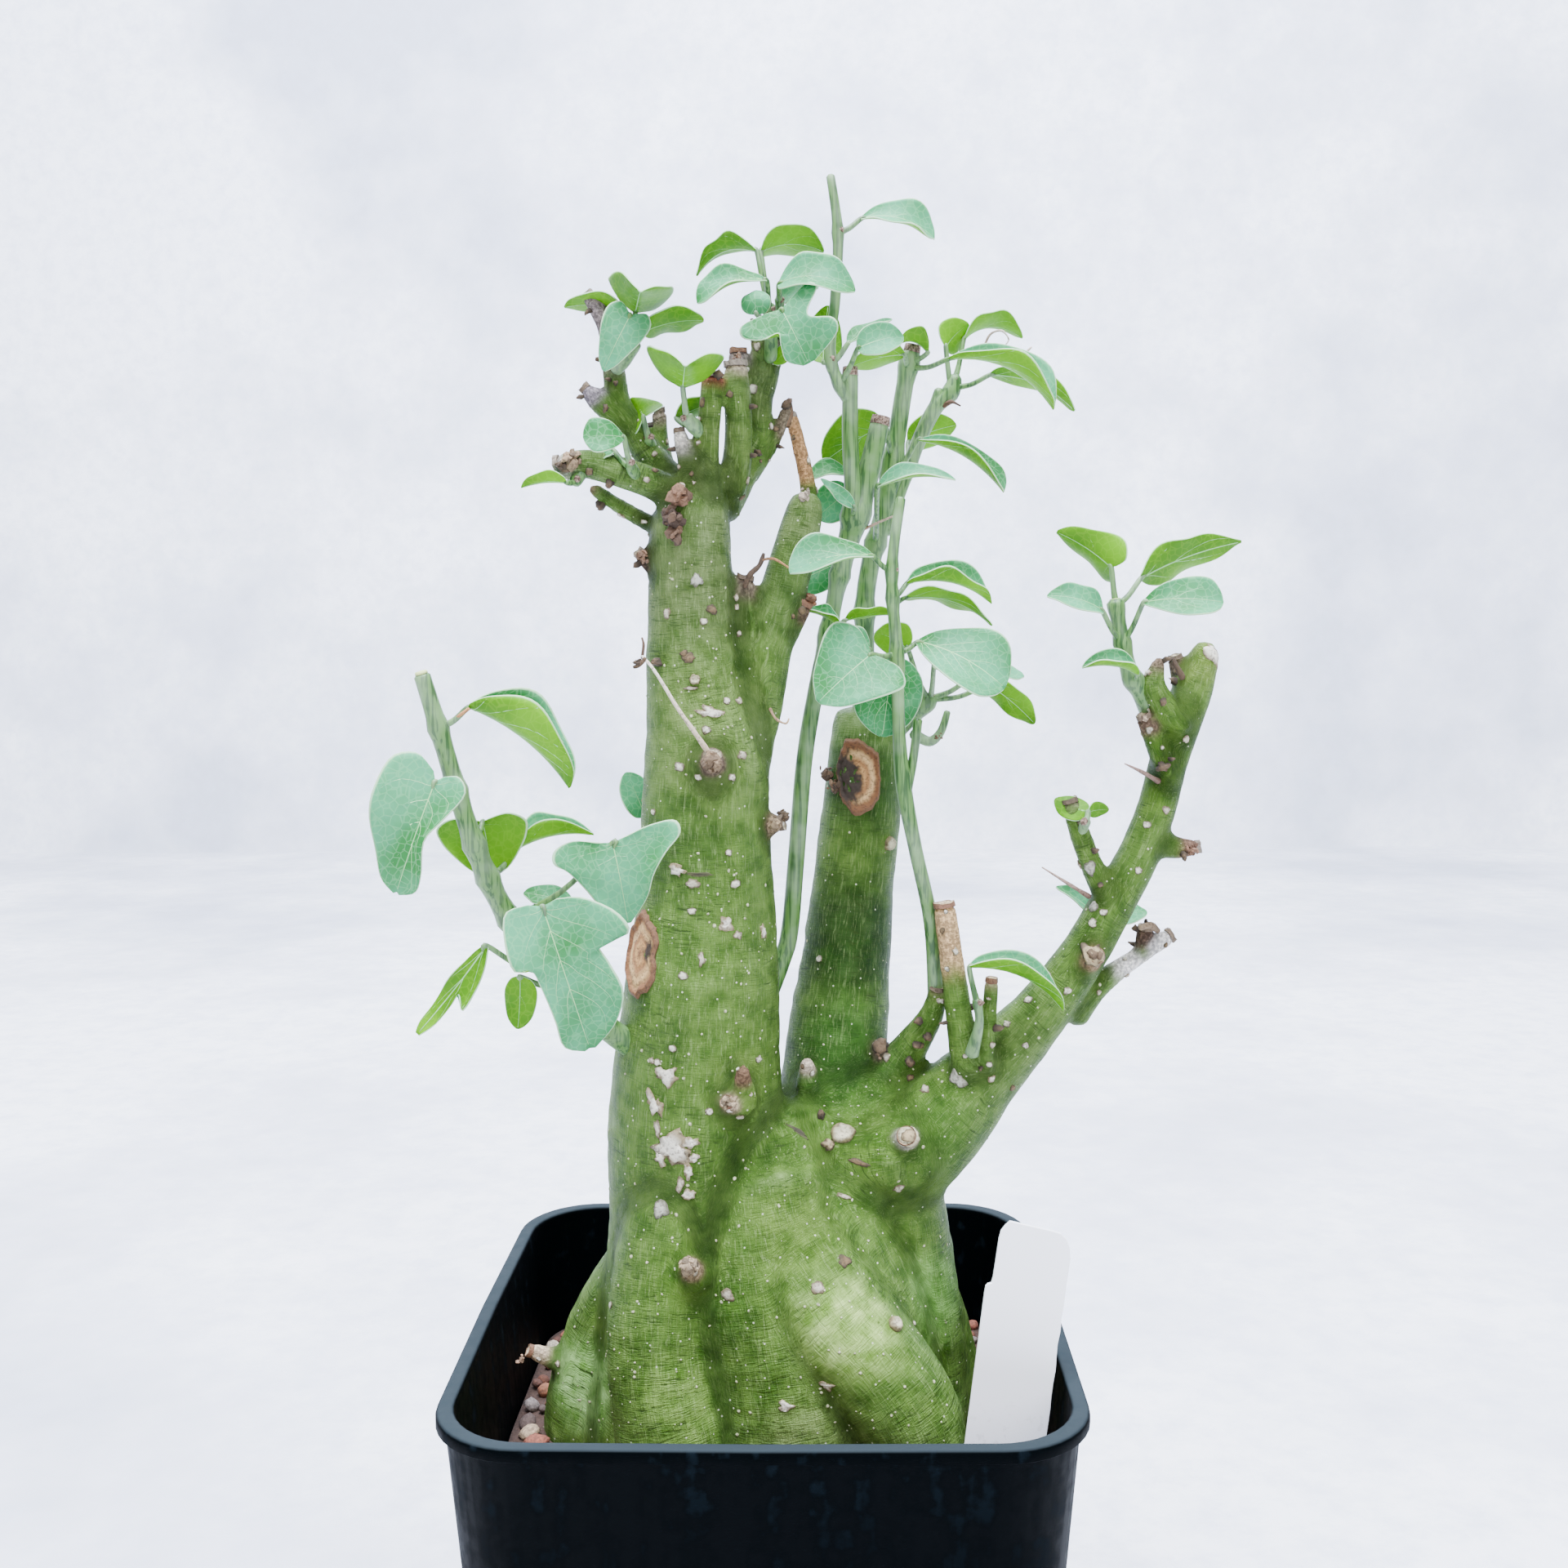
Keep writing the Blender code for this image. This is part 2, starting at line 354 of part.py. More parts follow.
def seen(across, down, behind):
    """The point at a pixel of the photograph, on the upright plane so many mm behind the axis."""
    ray = Vector((across - PICTURE_MIDDLE, PICTURE_MIDDLE - down, -FOCAL_PIXELS))
    turn = (Matrix.Rotation(EYE_HEADING, 3, "Z") @ Matrix.Rotation(math.pi / 2 + EYE_PITCH, 3, "X")
            @ Matrix.Rotation(EYE_ROLL, 3, "Z"))
    ray = turn @ ray
    return EYE + ray * ((behind * MM - EYE.y) / ray.y)


def material(name, colour, roughness):
    """A plain finish of one colour."""
    finish = bpy.data.materials.new(name)
    finish.use_nodes = True
    shader = finish.node_tree.nodes["Principled BSDF"]
    shader.inputs["Base Color"].default_value = (*colour, 1)
    shader.inputs["Roughness"].default_value = roughness
    shader.inputs["Metallic"].default_value = 0.0
    return finish


def new_object(name, mesh, collection):
    thing = bpy.data.objects.new(name, mesh)
    collection.objects.link(thing)
    return thing


def remove(thing):
    mesh = thing.data
    bpy.data.objects.remove(thing, do_unlink=True)
    if isinstance(mesh, bpy.types.Mesh) and not mesh.users:
        bpy.data.meshes.remove(mesh)


def evaluated_mesh(thing):
    """The thing's mesh with its modifiers applied."""
    graph = bpy.context.evaluated_depsgraph_get()
    graph.update()
    return bpy.data.meshes.new_from_object(thing.evaluated_get(graph))


def apply_modifiers(thing):
    old = thing.data
    fresh = evaluated_mesh(thing)
    thing.modifiers.clear()
    thing.data = fresh
    bpy.data.meshes.remove(old)


def weld(mesh, distance=1e-6):
    body = bmesh.new()
    body.from_mesh(mesh)
    bmesh.ops.remove_doubles(body, verts=body.verts, dist=distance)
    body.to_mesh(mesh)
    body.free()


def tube(points, name, collection, sides=8, resolution=4):
    """A tapered tube through (place, radius) points, with filled ends, as a closed mesh."""
    curve = bpy.data.curves.new(name, "CURVE")
    curve.dimensions = "3D"
    curve.bevel_depth = MM
    curve.bevel_resolution = (sides - 4) // 2
    curve.resolution_u = resolution
    curve.use_fill_caps = True
    spline = curve.splines.new("BEZIER")
    spline.bezier_points.add(len(points) - 1)
    for knot, (place, radius) in zip(spline.bezier_points, points):
        knot.co = place
        knot.radius = radius
        knot.handle_left_type = "AUTO"
        knot.handle_right_type = "AUTO"
    guide = new_object(name, curve, collection)
    mesh = evaluated_mesh(guide)
    bpy.data.objects.remove(guide, do_unlink=True)
    bpy.data.curves.remove(curve)
    weld(mesh)
    return new_object(name, mesh, collection)


def limb(points, name, collection, sides=8, resolution=4):
    """A tube whose points are read off the photograph."""
    places = [(seen(across, down, behind), radius) for across, down, behind, radius in points]
    return tube(places, name, collection, sides, resolution)


def joined(pieces):
    """One object that holds the meshes of several, which may overlap."""
    body = bmesh.new()
    for piece in pieces:
        body.from_mesh(piece.data)
    first = pieces[0]
    body.to_mesh(first.data)
    body.free()
    for piece in pieces[1:]:
        remove(piece)
    return first


def melt(thing, smoothing):
    """Overlapping tubes become one body, and the creases between them fill out."""
    skin = thing.modifiers.new("melt", "REMESH")
    skin.mode = "VOXEL"
    skin.voxel_size = WOOD_VOXEL
    ease = thing.modifiers.new("ease", "SMOOTH")
    ease.factor = SMOOTHING_FACTOR
    ease.iterations = smoothing
    apply_modifiers(thing)


def make_trunk(collection, finish):
    """The base and stems are melted together first, for soft folds, and then the small wood."""
    masses = joined([limb(points, "mass", collection, MASS_SIDES, 6) for points in MASSES])
    melt(masses, MASS_SMOOTHING)
    branches = [limb(points, "branch", collection, BRANCH_SIDES, 5) for points in BRANCHES]
    trunk = joined([masses] + branches)
    trunk.name = "trunk"
    melt(trunk, BRANCH_SMOOTHING)
    thin = trunk.modifiers.new("thin", "DECIMATE")
    thin.ratio = WOOD_FACES / (2 * len(trunk.data.polygons))
    apply_modifiers(trunk)
    keep_largest(trunk.data)
    trunk.data.materials.clear()
    trunk.data.materials.append(finish)
    trunk.data.shade_smooth()
    return trunk


def keep_largest(mesh):
    """Drops the loose scraps that a cut leaves beside the main body."""
    body = bmesh.new()
    body.from_mesh(mesh)
    islands = []
    left = set(body.verts)
    while left:
        front = [left.pop()]
        island = set(front)
        while front:
            for edge in front.pop().link_edges:
                for vertex in edge.verts:
                    if vertex not in island:
                        island.add(vertex)
                        front.append(vertex)
        left -= island
        islands.append(island)
    islands.sort(key=len)
    scraps = [vertex for island in islands[:-1] for vertex in island]
    bmesh.ops.delete(body, geom=scraps, context="VERTS")
    body.to_mesh(mesh)
    body.free()


def swollen_copy(thing, name, collection, growth=GAP):
    """A copy that stands proud of the thing all over, to cut its neighbours clear of it."""
    cutter = new_object(name, thing.data.copy(), collection)
    swell = cutter.modifiers.new("swell", "DISPLACE")
    swell.strength = growth
    swell.mid_level = 0.0
    apply_modifiers(cutter)
    cutter.hide_render = True
    cutter.display_type = "WIRE"
    return cutter


def cut(thing, cutter, solver="EXACT"):
    knife = thing.modifiers.new("cut", "BOOLEAN")
    knife.operation = "DIFFERENCE"
    knife.solver = solver
    knife.object = cutter


def square_ring(body, half, corner, height):
    """A ring of vertices round a square with round corners and slightly bowed sides."""
    points = []
    straight = half - corner
    for quarter in range(4):
        for step in range(CORNER_STEPS + 1):
            angle = math.pi / 2 * (quarter + step / CORNER_STEPS)
            middle = math.pi / 4 + math.pi / 2 * quarter
            centre = Vector((math.copysign(straight, math.cos(middle)),
                             math.copysign(straight, math.sin(middle)), 0))
            points.append(centre + corner * Vector((math.cos(angle), math.sin(angle), 0)))
        side = Vector((math.cos(math.pi / 2 * (quarter + 1)), math.sin(math.pi / 2 * (quarter + 1)), 0))
        points.append(side * (half + SIDE_BOW))
    return [body.verts.new((point.x, point.y, height)) for point in points]


def loft(body, rings):
    """Skins a list of rings of unlike size and roundness, from first to last, and closes both ends."""
    for low, high in zip(rings, rings[1:]):
        for corner in range(len(low)):
            body.faces.new((low[corner - 1], low[corner], high[corner], high[corner - 1]))
    body.faces.new(list(reversed(rings[0])))
    body.faces.new(rings[-1])
    bmesh.ops.recalc_face_normals(body, faces=body.faces)


def wall_half(height):
    """Half the width over the outer wall at a height."""
    return LIP_HALF - LIP_OVERHANG - POT_TAPER * (POT_HEIGHT - height)


def corner_radius(half):
    return LIP_CORNER - (LIP_HALF - half) * CORNER_SHRINK


def make_pot(collection, cutters, finish):
    """The wall and its rolled lip are one loft: up the outside, over the lip and down the inside."""
    under_lip = POT_HEIGHT - LIP_HEIGHT
    profile = [
        (wall_half(0) - FOOT_ROUND, 0),
        (wall_half(FOOT_ROUND), FOOT_ROUND),
        (wall_half(under_lip), under_lip),
        (LIP_HALF, under_lip),
        (LIP_HALF, POT_HEIGHT - LIP_BEAD),
        (LIP_HALF - LIP_BEAD, POT_HEIGHT),
        (LIP_HALF - LIP_WIDTH + LIP_BEAD, POT_HEIGHT),
        (LIP_HALF - LIP_WIDTH, POT_HEIGHT - LIP_BEAD),
        (wall_half(FLOOR + FLOOR_FILLET) - WALL, FLOOR + FLOOR_FILLET),
        (wall_half(FLOOR) - WALL - FLOOR_FILLET, FLOOR),
    ]
    body = bmesh.new()
    loft(body, [square_ring(body, half, corner_radius(half), height) for half, height in profile])
    mesh = bpy.data.meshes.new("pot")
    body.to_mesh(mesh)
    body.free()
    pot = new_object("pot", mesh, collection)
    for hole in range(DRAIN_COUNT):
        angle = math.tau * (hole + 0.5) / DRAIN_COUNT
        middle = Vector((DRAIN_RING * math.cos(angle), DRAIN_RING * math.sin(angle), FLOOR / 2))
        drill = bmesh.new()
        bmesh.ops.create_cone(drill, cap_ends=True, segments=DRAIN_SIDES, radius1=DRAIN_RADIUS,
                              radius2=DRAIN_RADIUS, depth=4 * FLOOR, matrix=Matrix.Translation(middle))
        drill_mesh = bpy.data.meshes.new("drain")
        drill.to_mesh(drill_mesh)
        drill.free()
        cutter = new_object("drain_cutter", drill_mesh, cutters)
        cutter.hide_render = True
        cutter.display_type = "WIRE"
        cut(pot, cutter)
    pot.data.materials.append(finish)
    return pot


def make_label(collection, finish):
    """A thin white tag with cut corners, which leans a little and stands in the soil."""
    body = bmesh.new()
    corners = [body.verts.new((across * LABEL_WIDTH, 0, up * LABEL_HEIGHT))
               for across, up in LABEL_OUTLINE]
    front = body.faces.new(corners)
    pulled = bmesh.ops.extrude_face_region(body, geom=[front])
    moved = [part for part in pulled["geom"] if isinstance(part, bmesh.types.BMVert)]
    bmesh.ops.translate(body, verts=moved, vec=(0, LABEL_THICKNESS, 0))
    bmesh.ops.recalc_face_normals(body, faces=body.faces)
    body.transform(Matrix.Translation(LABEL_FOOT) @ Matrix.Rotation(LABEL_LEAN, 4, "Y")
                   @ Matrix.Rotation(LABEL_TIP_BACK, 4, "X"))
    mesh = bpy.data.meshes.new("label")
    body.to_mesh(mesh)
    body.free()
    label = new_object("label", mesh, collection)
    label.data.materials.append(finish)
    return label


def make_soil(collection, trunk, label, finish):
    """The potting mix fills the pot, with gravel as relief on top and holes for what stands in it."""
    top = POT_HEIGHT - SOIL_DEPTH_BELOW_RIM
    bottom = FLOOR + GAP
    low_half = wall_half(bottom) - WALL - FLOOR_FILLET - GAP
    high_half = wall_half(top) - WALL - GAP - SIDE_BOW
    body = bmesh.new()
    loft(body, [square_ring(body, low_half, corner_radius(low_half), bottom),
                square_ring(body, high_half, corner_radius(high_half), top)])
    flat = [face for face in body.faces if face.normal.z > FACING_UP]
    bmesh.ops.delete(body, geom=flat, context="FACES_ONLY")
    rows = round(2 * high_half / GRAVEL_PITCH)
    grid = bmesh.ops.create_grid(body, x_segments=rows, y_segments=rows, size=high_half)["verts"]
    inside = high_half - GRAVEL_PITCH / 2
    outer = [vertex for vertex in grid if outside_square(vertex.co, inside, corner_radius(inside))]
    bmesh.ops.delete(body, geom=outer, context="VERTS")
    kept = [vertex for vertex in body.verts if abs(vertex.co.z) < 1e-6]
    for vertex in kept:
        bump = noise.noise(Vector((vertex.co.x, vertex.co.y, 0)) / GRAVEL_GRAIN)
        vertex.co.z = top - SOIL_DIP + SOIL_RELIEF * bump
    rim_edges = [edge for edge in body.edges if edge.is_boundary]
    bmesh.ops.bridge_loops(body, edges=rim_edges)
    bmesh.ops.triangulate(body, faces=body.faces)
    bmesh.ops.recalc_face_normals(body, faces=body.faces)
    mesh = bpy.data.meshes.new("soil")
    body.to_mesh(mesh)
    body.free()
    soil = new_object("soil", mesh, collection)
    cut(soil, trunk)
    cut(soil, label)
    apply_modifiers(soil)
    keep_largest(soil.data)
    soil.data.materials.clear()
    soil.data.materials.append(finish)
    return soil


def outside_square(point, half, corner):
    """Whether a point lies outside a square with round corners."""
    past = Vector((max(0, abs(point.x) - half + corner), max(0, abs(point.y) - half + corner)))
    return past.length > corner


def margin_at(margin, share):
    """A point of a blade's margin, at a share of the way from the petiole to the tip."""
    place = share * (len(margin) - 1)
    first = min(int(place), len(margin) - 2)
    rest = place - first
    return tuple(a + (b - a) * rest for a, b in zip(margin[first], margin[first + 1]))


def make_blade(leaf, collection):
    """A leaf blade: a grid drawn out to its margin, folded along the midrib, arched and thickened."""
    _, base, tip, depths, width, facing, fold, arch, kind = leaf
    margins = (EVEN[kind], EVEN[kind]) if kind in EVEN else LOPSIDED[kind]
    start = seen(*base, depths[1])
    midrib = seen(*tip, depths[2]) - start
    length = midrib.length
    ahead = midrib.normalized()
    camera_side = EYE - start
    camera_side = (camera_side - ahead * camera_side.dot(ahead)).normalized()
    upper = Matrix.Rotation(math.radians(-facing), 3, ahead) @ camera_side
    left = upper.cross(ahead)
    half = width * MM / 2
    rows = LOBED_BLADE_ROWS if kind in LOPSIDED else PLAIN_BLADE_ROWS
    body = bmesh.new()
    bmesh.ops.create_grid(body, x_segments=2, y_segments=rows, size=1)
    for vertex in body.verts:
        side = abs(vertex.co.x)
        share = (vertex.co.y + 1) / 2
        along, across = margin_at(margins[0] if vertex.co.x < 0 else margins[1], share)
        along = share + side * (along - share)
        reach = side * across * half
        lift = reach * math.sin(math.radians(fold)) + arch * MM * (1 - (2 * along - 1) ** 2)
        reach *= math.cos(math.radians(fold))
        sideways = left * math.copysign(reach, -vertex.co.x)
        vertex.co = start + ahead * (along * length) + sideways + upper * lift
    bmesh.ops.triangulate(body, faces=body.faces)
    mesh = bpy.data.meshes.new("blade")
    body.to_mesh(mesh)
    body.free()
    blade = new_object("blade", mesh, collection)
    thicken = blade.modifiers.new("thicken", "SOLIDIFY")
    thicken.thickness = BLADE_THICKNESS
    thicken.offset = 0
    apply_modifiers(blade)
    return blade


def make_petiole(leaf, collection):
    """A thin stalk from the wood into the base of the blade, with a slight bend."""
    foot, base, tip, depths = leaf[:4]
    low = seen(*foot, depths[0])
    high = seen(*base, depths[1])
    into = high + (seen(*tip, depths[2]) - high).normalized() * PETIOLE_OVERLAP
    bend = (low + high) / 2 + Vector((0, 0, -PETIOLE_SAG)) * (high - low).length
    thin = PETIOLE_RADIUS / MM
    points = [(low, thin), (bend, thin), (into, thin)]
    return tube(points, "petiole", collection, PETIOLE_SIDES, 2)


def united(first, others, solver):
    """One body from several that overlap."""
    group = bpy.data.collections.new("grown together")
    for other in others:
        group.objects.link(other)
    join = first.modifiers.new("grow", "BOOLEAN")
    join.operation = "UNION"
    join.solver = solver
    join.operand_type = "COLLECTION"
    join.collection = group
    apply_modifiers(first)
    for other in others:
        remove(other)
    bpy.data.collections.remove(group)
    return first


def make_shoot(name, collection, trunk_cutter, finish):
    """A leafy stem: twigs, petioles and blades grow together, and its foot is cut clear of the wood."""
    twigs, leaves = SHOOTS[name]
    pieces = [limb(points, "twig", collection, TWIG_SIDES, 2) for points in twigs]
    for leaf in leaves:
        pieces.append(make_petiole(leaf, collection))
        pieces.append(make_blade(leaf, collection))
    shoot = united(pieces[0], pieces[1:], "MANIFOLD")
    shoot.name = name
    cut(shoot, trunk_cutter)
    apply_modifiers(shoot)
    keep_largest(shoot.data)
    shoot.data.materials.clear()
    shoot.data.materials.append(finish)
    return shoot


def clear_scene():
    for thing in list(bpy.data.objects):
        bpy.data.objects.remove(thing, do_unlink=True)


def main():
    clear_scene()
    plant = bpy.data.collections.new("potted adenia")
    cutters = bpy.data.collections.new("cutters")
    bpy.context.scene.collection.children.link(plant)
    bpy.context.scene.collection.children.link(cutters)
    trunk = make_trunk(plant, material("green bark", BARK, 0.6))
    trunk_cutter = swollen_copy(trunk, "trunk_cutter", cutters)
    label = make_label(plant, material("white plastic", LABEL_WHITE, 0.35))
    label_cutter = swollen_copy(label, "label_cutter", cutters)
    make_pot(plant, cutters, material("black plastic", POT_BLACK, 0.4))
    make_soil(plant, trunk_cutter, label_cutter, material("gravel", GRAVEL, 0.9))
    leaf_green = material("leaf green", LEAF_GREEN, 0.5)
    for name in SHOOTS:
        make_shoot(name, plant, trunk_cutter, leaf_green)


main()
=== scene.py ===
# %% [markdown]
# # A potted adenia
# This script dresses a fixed model of a potted adenia: a swollen green trunk, cut back hard, with young
# leafy shoots, in a square black nursery pot. The model gives the sizes and the places. Here every piece
# gets its fine surface, its colour and its finish. Lengths are in metres, +Z is up and the camera stands
# on the -Y side. The loader puts every node of the model at the origin, so each new piece is made where
# it belongs.

# %% Load the model
import math
import random

import bmesh
import bpy
import numpy as np
from mathutils import Matrix, Vector, noise
from mathutils.bvhtree import BVHTree


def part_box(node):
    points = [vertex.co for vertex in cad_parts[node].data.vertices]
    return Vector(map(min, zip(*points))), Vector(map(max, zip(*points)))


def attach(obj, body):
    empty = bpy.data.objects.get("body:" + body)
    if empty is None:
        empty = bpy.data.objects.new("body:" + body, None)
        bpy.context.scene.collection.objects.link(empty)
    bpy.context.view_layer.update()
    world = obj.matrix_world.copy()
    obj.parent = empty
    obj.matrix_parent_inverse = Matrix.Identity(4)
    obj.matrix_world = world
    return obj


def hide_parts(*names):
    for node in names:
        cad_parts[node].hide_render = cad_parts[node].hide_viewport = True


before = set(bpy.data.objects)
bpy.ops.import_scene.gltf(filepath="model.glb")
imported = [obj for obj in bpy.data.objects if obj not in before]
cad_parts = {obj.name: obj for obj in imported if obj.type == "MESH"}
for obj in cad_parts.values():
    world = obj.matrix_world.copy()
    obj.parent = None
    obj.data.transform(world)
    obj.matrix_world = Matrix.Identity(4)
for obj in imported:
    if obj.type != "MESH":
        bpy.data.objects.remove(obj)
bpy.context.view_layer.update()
MM = 0.001
POT_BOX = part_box("pot")
POT_HEIGHT = POT_BOX[1][2]
print("nodes:", len(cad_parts), "pot height in mm:", round(POT_HEIGHT / MM))

# %% [markdown]
# ## The camera
# The four corners of the pot's rim give the place of the lens: 352 mm in front of the pot's axis and 154
# mm above the rim, looking slightly down. The picture is square and 1920 pixels wide, and a point of the
# plant is given as it is seen there: a pixel across, a pixel down, and how far behind the pot's axis it
# lies, in millimetres. The function below turns those three numbers into a place.

# %% Camera
EYE = Vector((0.01068, -0.35224, POT_HEIGHT + 0.15442))
EYE_HEADING = math.radians(1.0213)
EYE_PITCH = math.radians(-5.699)
EYE_ROLL = math.radians(-0.3965)
FOCAL_PIXELS = 1965.2
PICTURE_PIXELS = 1920
SENSOR_MM = 36
EYE_TURN = (Matrix.Rotation(EYE_HEADING, 4, "Z") @ Matrix.Rotation(math.pi / 2 + EYE_PITCH, 4, "X")
            @ Matrix.Rotation(EYE_ROLL, 4, "Z"))


def sight(across, down):
    """The direction in which the lens sees a pixel."""
    middle = PICTURE_PIXELS / 2
    return EYE_TURN.to_3x3() @ Vector((across - middle, middle - down, -FOCAL_PIXELS))


def seen(across, down, behind):
    """The place at a pixel, on the upright plane so many millimetres behind the pot's axis."""
    ray = sight(across, down)
    return EYE + ray * ((behind * MM - EYE.y) / ray.y)


lens = bpy.data.cameras.new("lens")
lens.sensor_width = SENSOR_MM
lens.lens = SENSOR_MM * FOCAL_PIXELS / PICTURE_PIXELS
camera = bpy.data.objects.new("camera", lens)
camera.matrix_world = Matrix.Translation(EYE) @ EYE_TURN
bpy.context.scene.collection.objects.link(camera)
bpy.context.scene.camera = camera
print("focal length in mm:", round(lens.lens, 1))

# %% [markdown]
# ## Floor, wall and light
# The plant stands on a plain pale floor that curves up into a plain pale wall, as in a photographer's
# cove. A row of corners is extruded sideways and its bend is rounded by a bevel. Daylight is soft and
# comes mostly from above and a little from the left. A broad lamp hangs above, a second one fills from
# the front, a third one lights the wall, and the world adds a little light from all round.

# %% Cove and lamps
COVE_WIDTH = 8.0
COVE_FRONT = -3.0
COVE_BACK = 1.6
COVE_TOP = 5.0
COVE_ROUND = 0.8
COVE_STEPS = 24


def paint(code):
    """An sRGB hex colour as the linear red, green, blue and alpha that Blender works in."""
    shares = [int(code[i:i + 2], 16) / 255 for i in (1, 3, 5)]
    linear = [s / 12.92 if s <= 0.04045 else ((s + 0.055) / 1.055) ** 2.4 for s in shares]
    return (*linear, 1.0)


def rgb(code):
    """The same colour without its alpha, as a vector that can be mixed."""
    return Vector(paint(code)[:3])


def fill(tree, node, inputs):
    """Gives a node its inputs, which are values or the outputs of other nodes."""
    for name, value in inputs.items():
        if isinstance(value, bpy.types.NodeSocket):
            tree.links.new(value, node.inputs[name])
        else:
            node.inputs[name].default_value = value


def add(tree, kind, inputs=None, out=None, **settings):
    """Adds a node and gives one of its outputs. The settings are its properties."""
    node = tree.nodes.new("ShaderNode" + kind)
    for name, value in settings.items():
        setattr(node, name, value)
    fill(tree, node, inputs or {})
    return node.outputs[out] if out else next(socket for socket in node.outputs if socket.enabled)


def new_piece(name, body):
    """A finished bmesh becomes an object at the origin."""
    mesh = bpy.data.meshes.new(name)
    body.to_mesh(mesh)
    body.free()
    piece = bpy.data.objects.new(name, mesh)
    bpy.context.scene.collection.objects.link(piece)
    return piece


def dress(piece, finish, node=None):
    """Gives a piece its finish in a slot, hides the solid that it stands for, and hangs the piece on the
    root.
    """
    if node:
        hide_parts(node)
    piece.data.materials.append(finish)
    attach(piece, "root")


def new_finish(name):
    """A material with its node tree and its shader."""
    finish = bpy.data.materials.new(name)
    finish.use_nodes = True
    return finish, finish.node_tree, finish.node_tree.nodes["Principled BSDF"]


def plain_material(name, code, roughness):
    """A material of one colour."""
    finish, tree, shader = new_finish(name)
    fill(tree, shader, {"Base Color": paint(code), "Roughness": roughness})
    return finish


def make_backdrop():
    """Pale grey-white paint with faint cloudy patches and a fine grain, as on a plastered wall."""
    finish, tree, shader = new_finish("matt backdrop paint")
    place = add(tree, "TexCoord", out="Object")
    clouds = add(tree, "TexNoise", {"Vector": place, "Scale": 2.2, "Detail": 6, "Roughness": 0.62})
    share = add(tree, "MapRange", {"Value": clouds, "From Min": 0.44, "From Max": 0.63})
    cloudy = add(tree, "Mix", {0: share, 6: paint("#fbfdff"), 7: paint("#c3c8d3")}, data_type="RGBA")
    plaster = add(tree, "TexNoise", {"Vector": place, "Scale": 55, "Detail": 6, "Roughness": 0.7})
    grain = add(tree, "MapRange", {"Value": plaster, "From Min": 0.42, "From Max": 0.68, "To Max": 0.55})
    colour = add(tree, "Mix", {0: grain, 6: cloudy, 7: paint("#cdd3e0")}, data_type="RGBA")
    fill(tree, shader, {"Base Color": colour, "Roughness": 0.9})
    return finish


def make_cove():
    """The floor and wall in one sheet."""
    body = bmesh.new()
    corners = [(COVE_FRONT, 0), (COVE_BACK, 0), (COVE_BACK, COVE_TOP)]
    row = [body.verts.new((-COVE_WIDTH / 2, y, z)) for y, z in corners]
    edges = [body.edges.new(pair) for pair in zip(row, row[1:])]
    pulled = bmesh.ops.extrude_edge_only(body, edges=edges)["geom"]
    moved = [part for part in pulled if isinstance(part, bmesh.types.BMVert)]
    bmesh.ops.translate(body, verts=moved, vec=(COVE_WIDTH, 0, 0))
    fold = [e for e in body.edges if all(v.co.y == COVE_BACK and v.co.z == 0 for v in e.verts)]
    bmesh.ops.bevel(body, geom=fold, offset=COVE_ROUND, segments=COVE_STEPS, profile=0.5,
                    affect="EDGES", material=-1)
    bmesh.ops.recalc_face_normals(body, faces=body.faces)
    cove = new_piece("cove", body)
    cove.data.shade_smooth()
    cove.data.materials.append(make_backdrop())


def make_lamp(name, place, aim, size, watts, code):
    """A square soft box that looks at a point."""
    lamp = bpy.data.lights.new(name, "AREA")
    lamp.size = size
    lamp.energy = watts
    lamp.color = paint(code)[:3]
    holder = bpy.data.objects.new(name, lamp)
    back = Vector(place) - Vector(aim)
    holder.matrix_world = Matrix.Translation(place) @ back.to_track_quat("Z", "Y").to_matrix().to_4x4()
    bpy.context.scene.collection.objects.link(holder)


make_cove()
PLANT_MIDDLE = (0.01, 0, 0.24)
make_lamp("sky light", (-0.35, 0.15, 1.5), PLANT_MIDDLE, 1.1, 24, "#fdfdff")
make_lamp("front fill", (0.5, -1.5, 0.9), PLANT_MIDDLE, 0.9, 22, "#fbfbff")
make_lamp("wall light", (0.0, -0.3, 2.6), (0, 1.5, 1.0), 1.8, 400, "#e0e8ff")
sky = bpy.data.worlds.new("soft daylight")
sky.use_nodes = True
fill(sky.node_tree, sky.node_tree.nodes["Background"], {"Color": paint("#f2f5ff"), "Strength": 0.5})
bpy.context.scene.world = sky
print("lamps:", len(bpy.data.lights))

# %% [markdown]
# ## Stems as tubes
# Every stem, stub and stalk is a tapered tube through a few places read off the picture, each with a
# radius. A curve object with a bevel could draw it, but a bmesh tube keeps its rings, so that the finish
# can tell how far along a stem it is. A smooth curve is drawn through the points first. Then one round
# cap is extruded along that curve, ring by ring, and each new cap is turned square to the curve and
# sized.

# %% Tubes
# How far a round end reaches past the last ring and how wide it is there, as shares of the radius
END_REACH = 0.45
END_WIDTH = 0.55


def smooth_path(points, steps):
    """More (place, radius) points between the given ones, on one smooth curve."""
    path = []
    for i in range(len(points) - 1):
        before = points[max(i - 1, 0)]
        start, end = points[i], points[i + 1]
        after = points[min(i + 2, len(points) - 1)]
        for step in range(steps):
            t = step / steps
            place = smooth_between(before[0], start[0], end[0], after[0], t)
            radius = max(smooth_between(before[1], start[1], end[1], after[1], t),
                         0.6 * min(start[1], end[1]))
            path.append((place, radius))
    path.append(points[-1])
    return path


def smooth_between(before, start, end, after, t):
    """A point between start and end on the smooth curve through all four."""
    return start + ((end - before) * t + (2 * before - 5 * start + 4 * end - after) * t * t
                    + (3 * start - before - 3 * end + after) * t ** 3) * 0.5


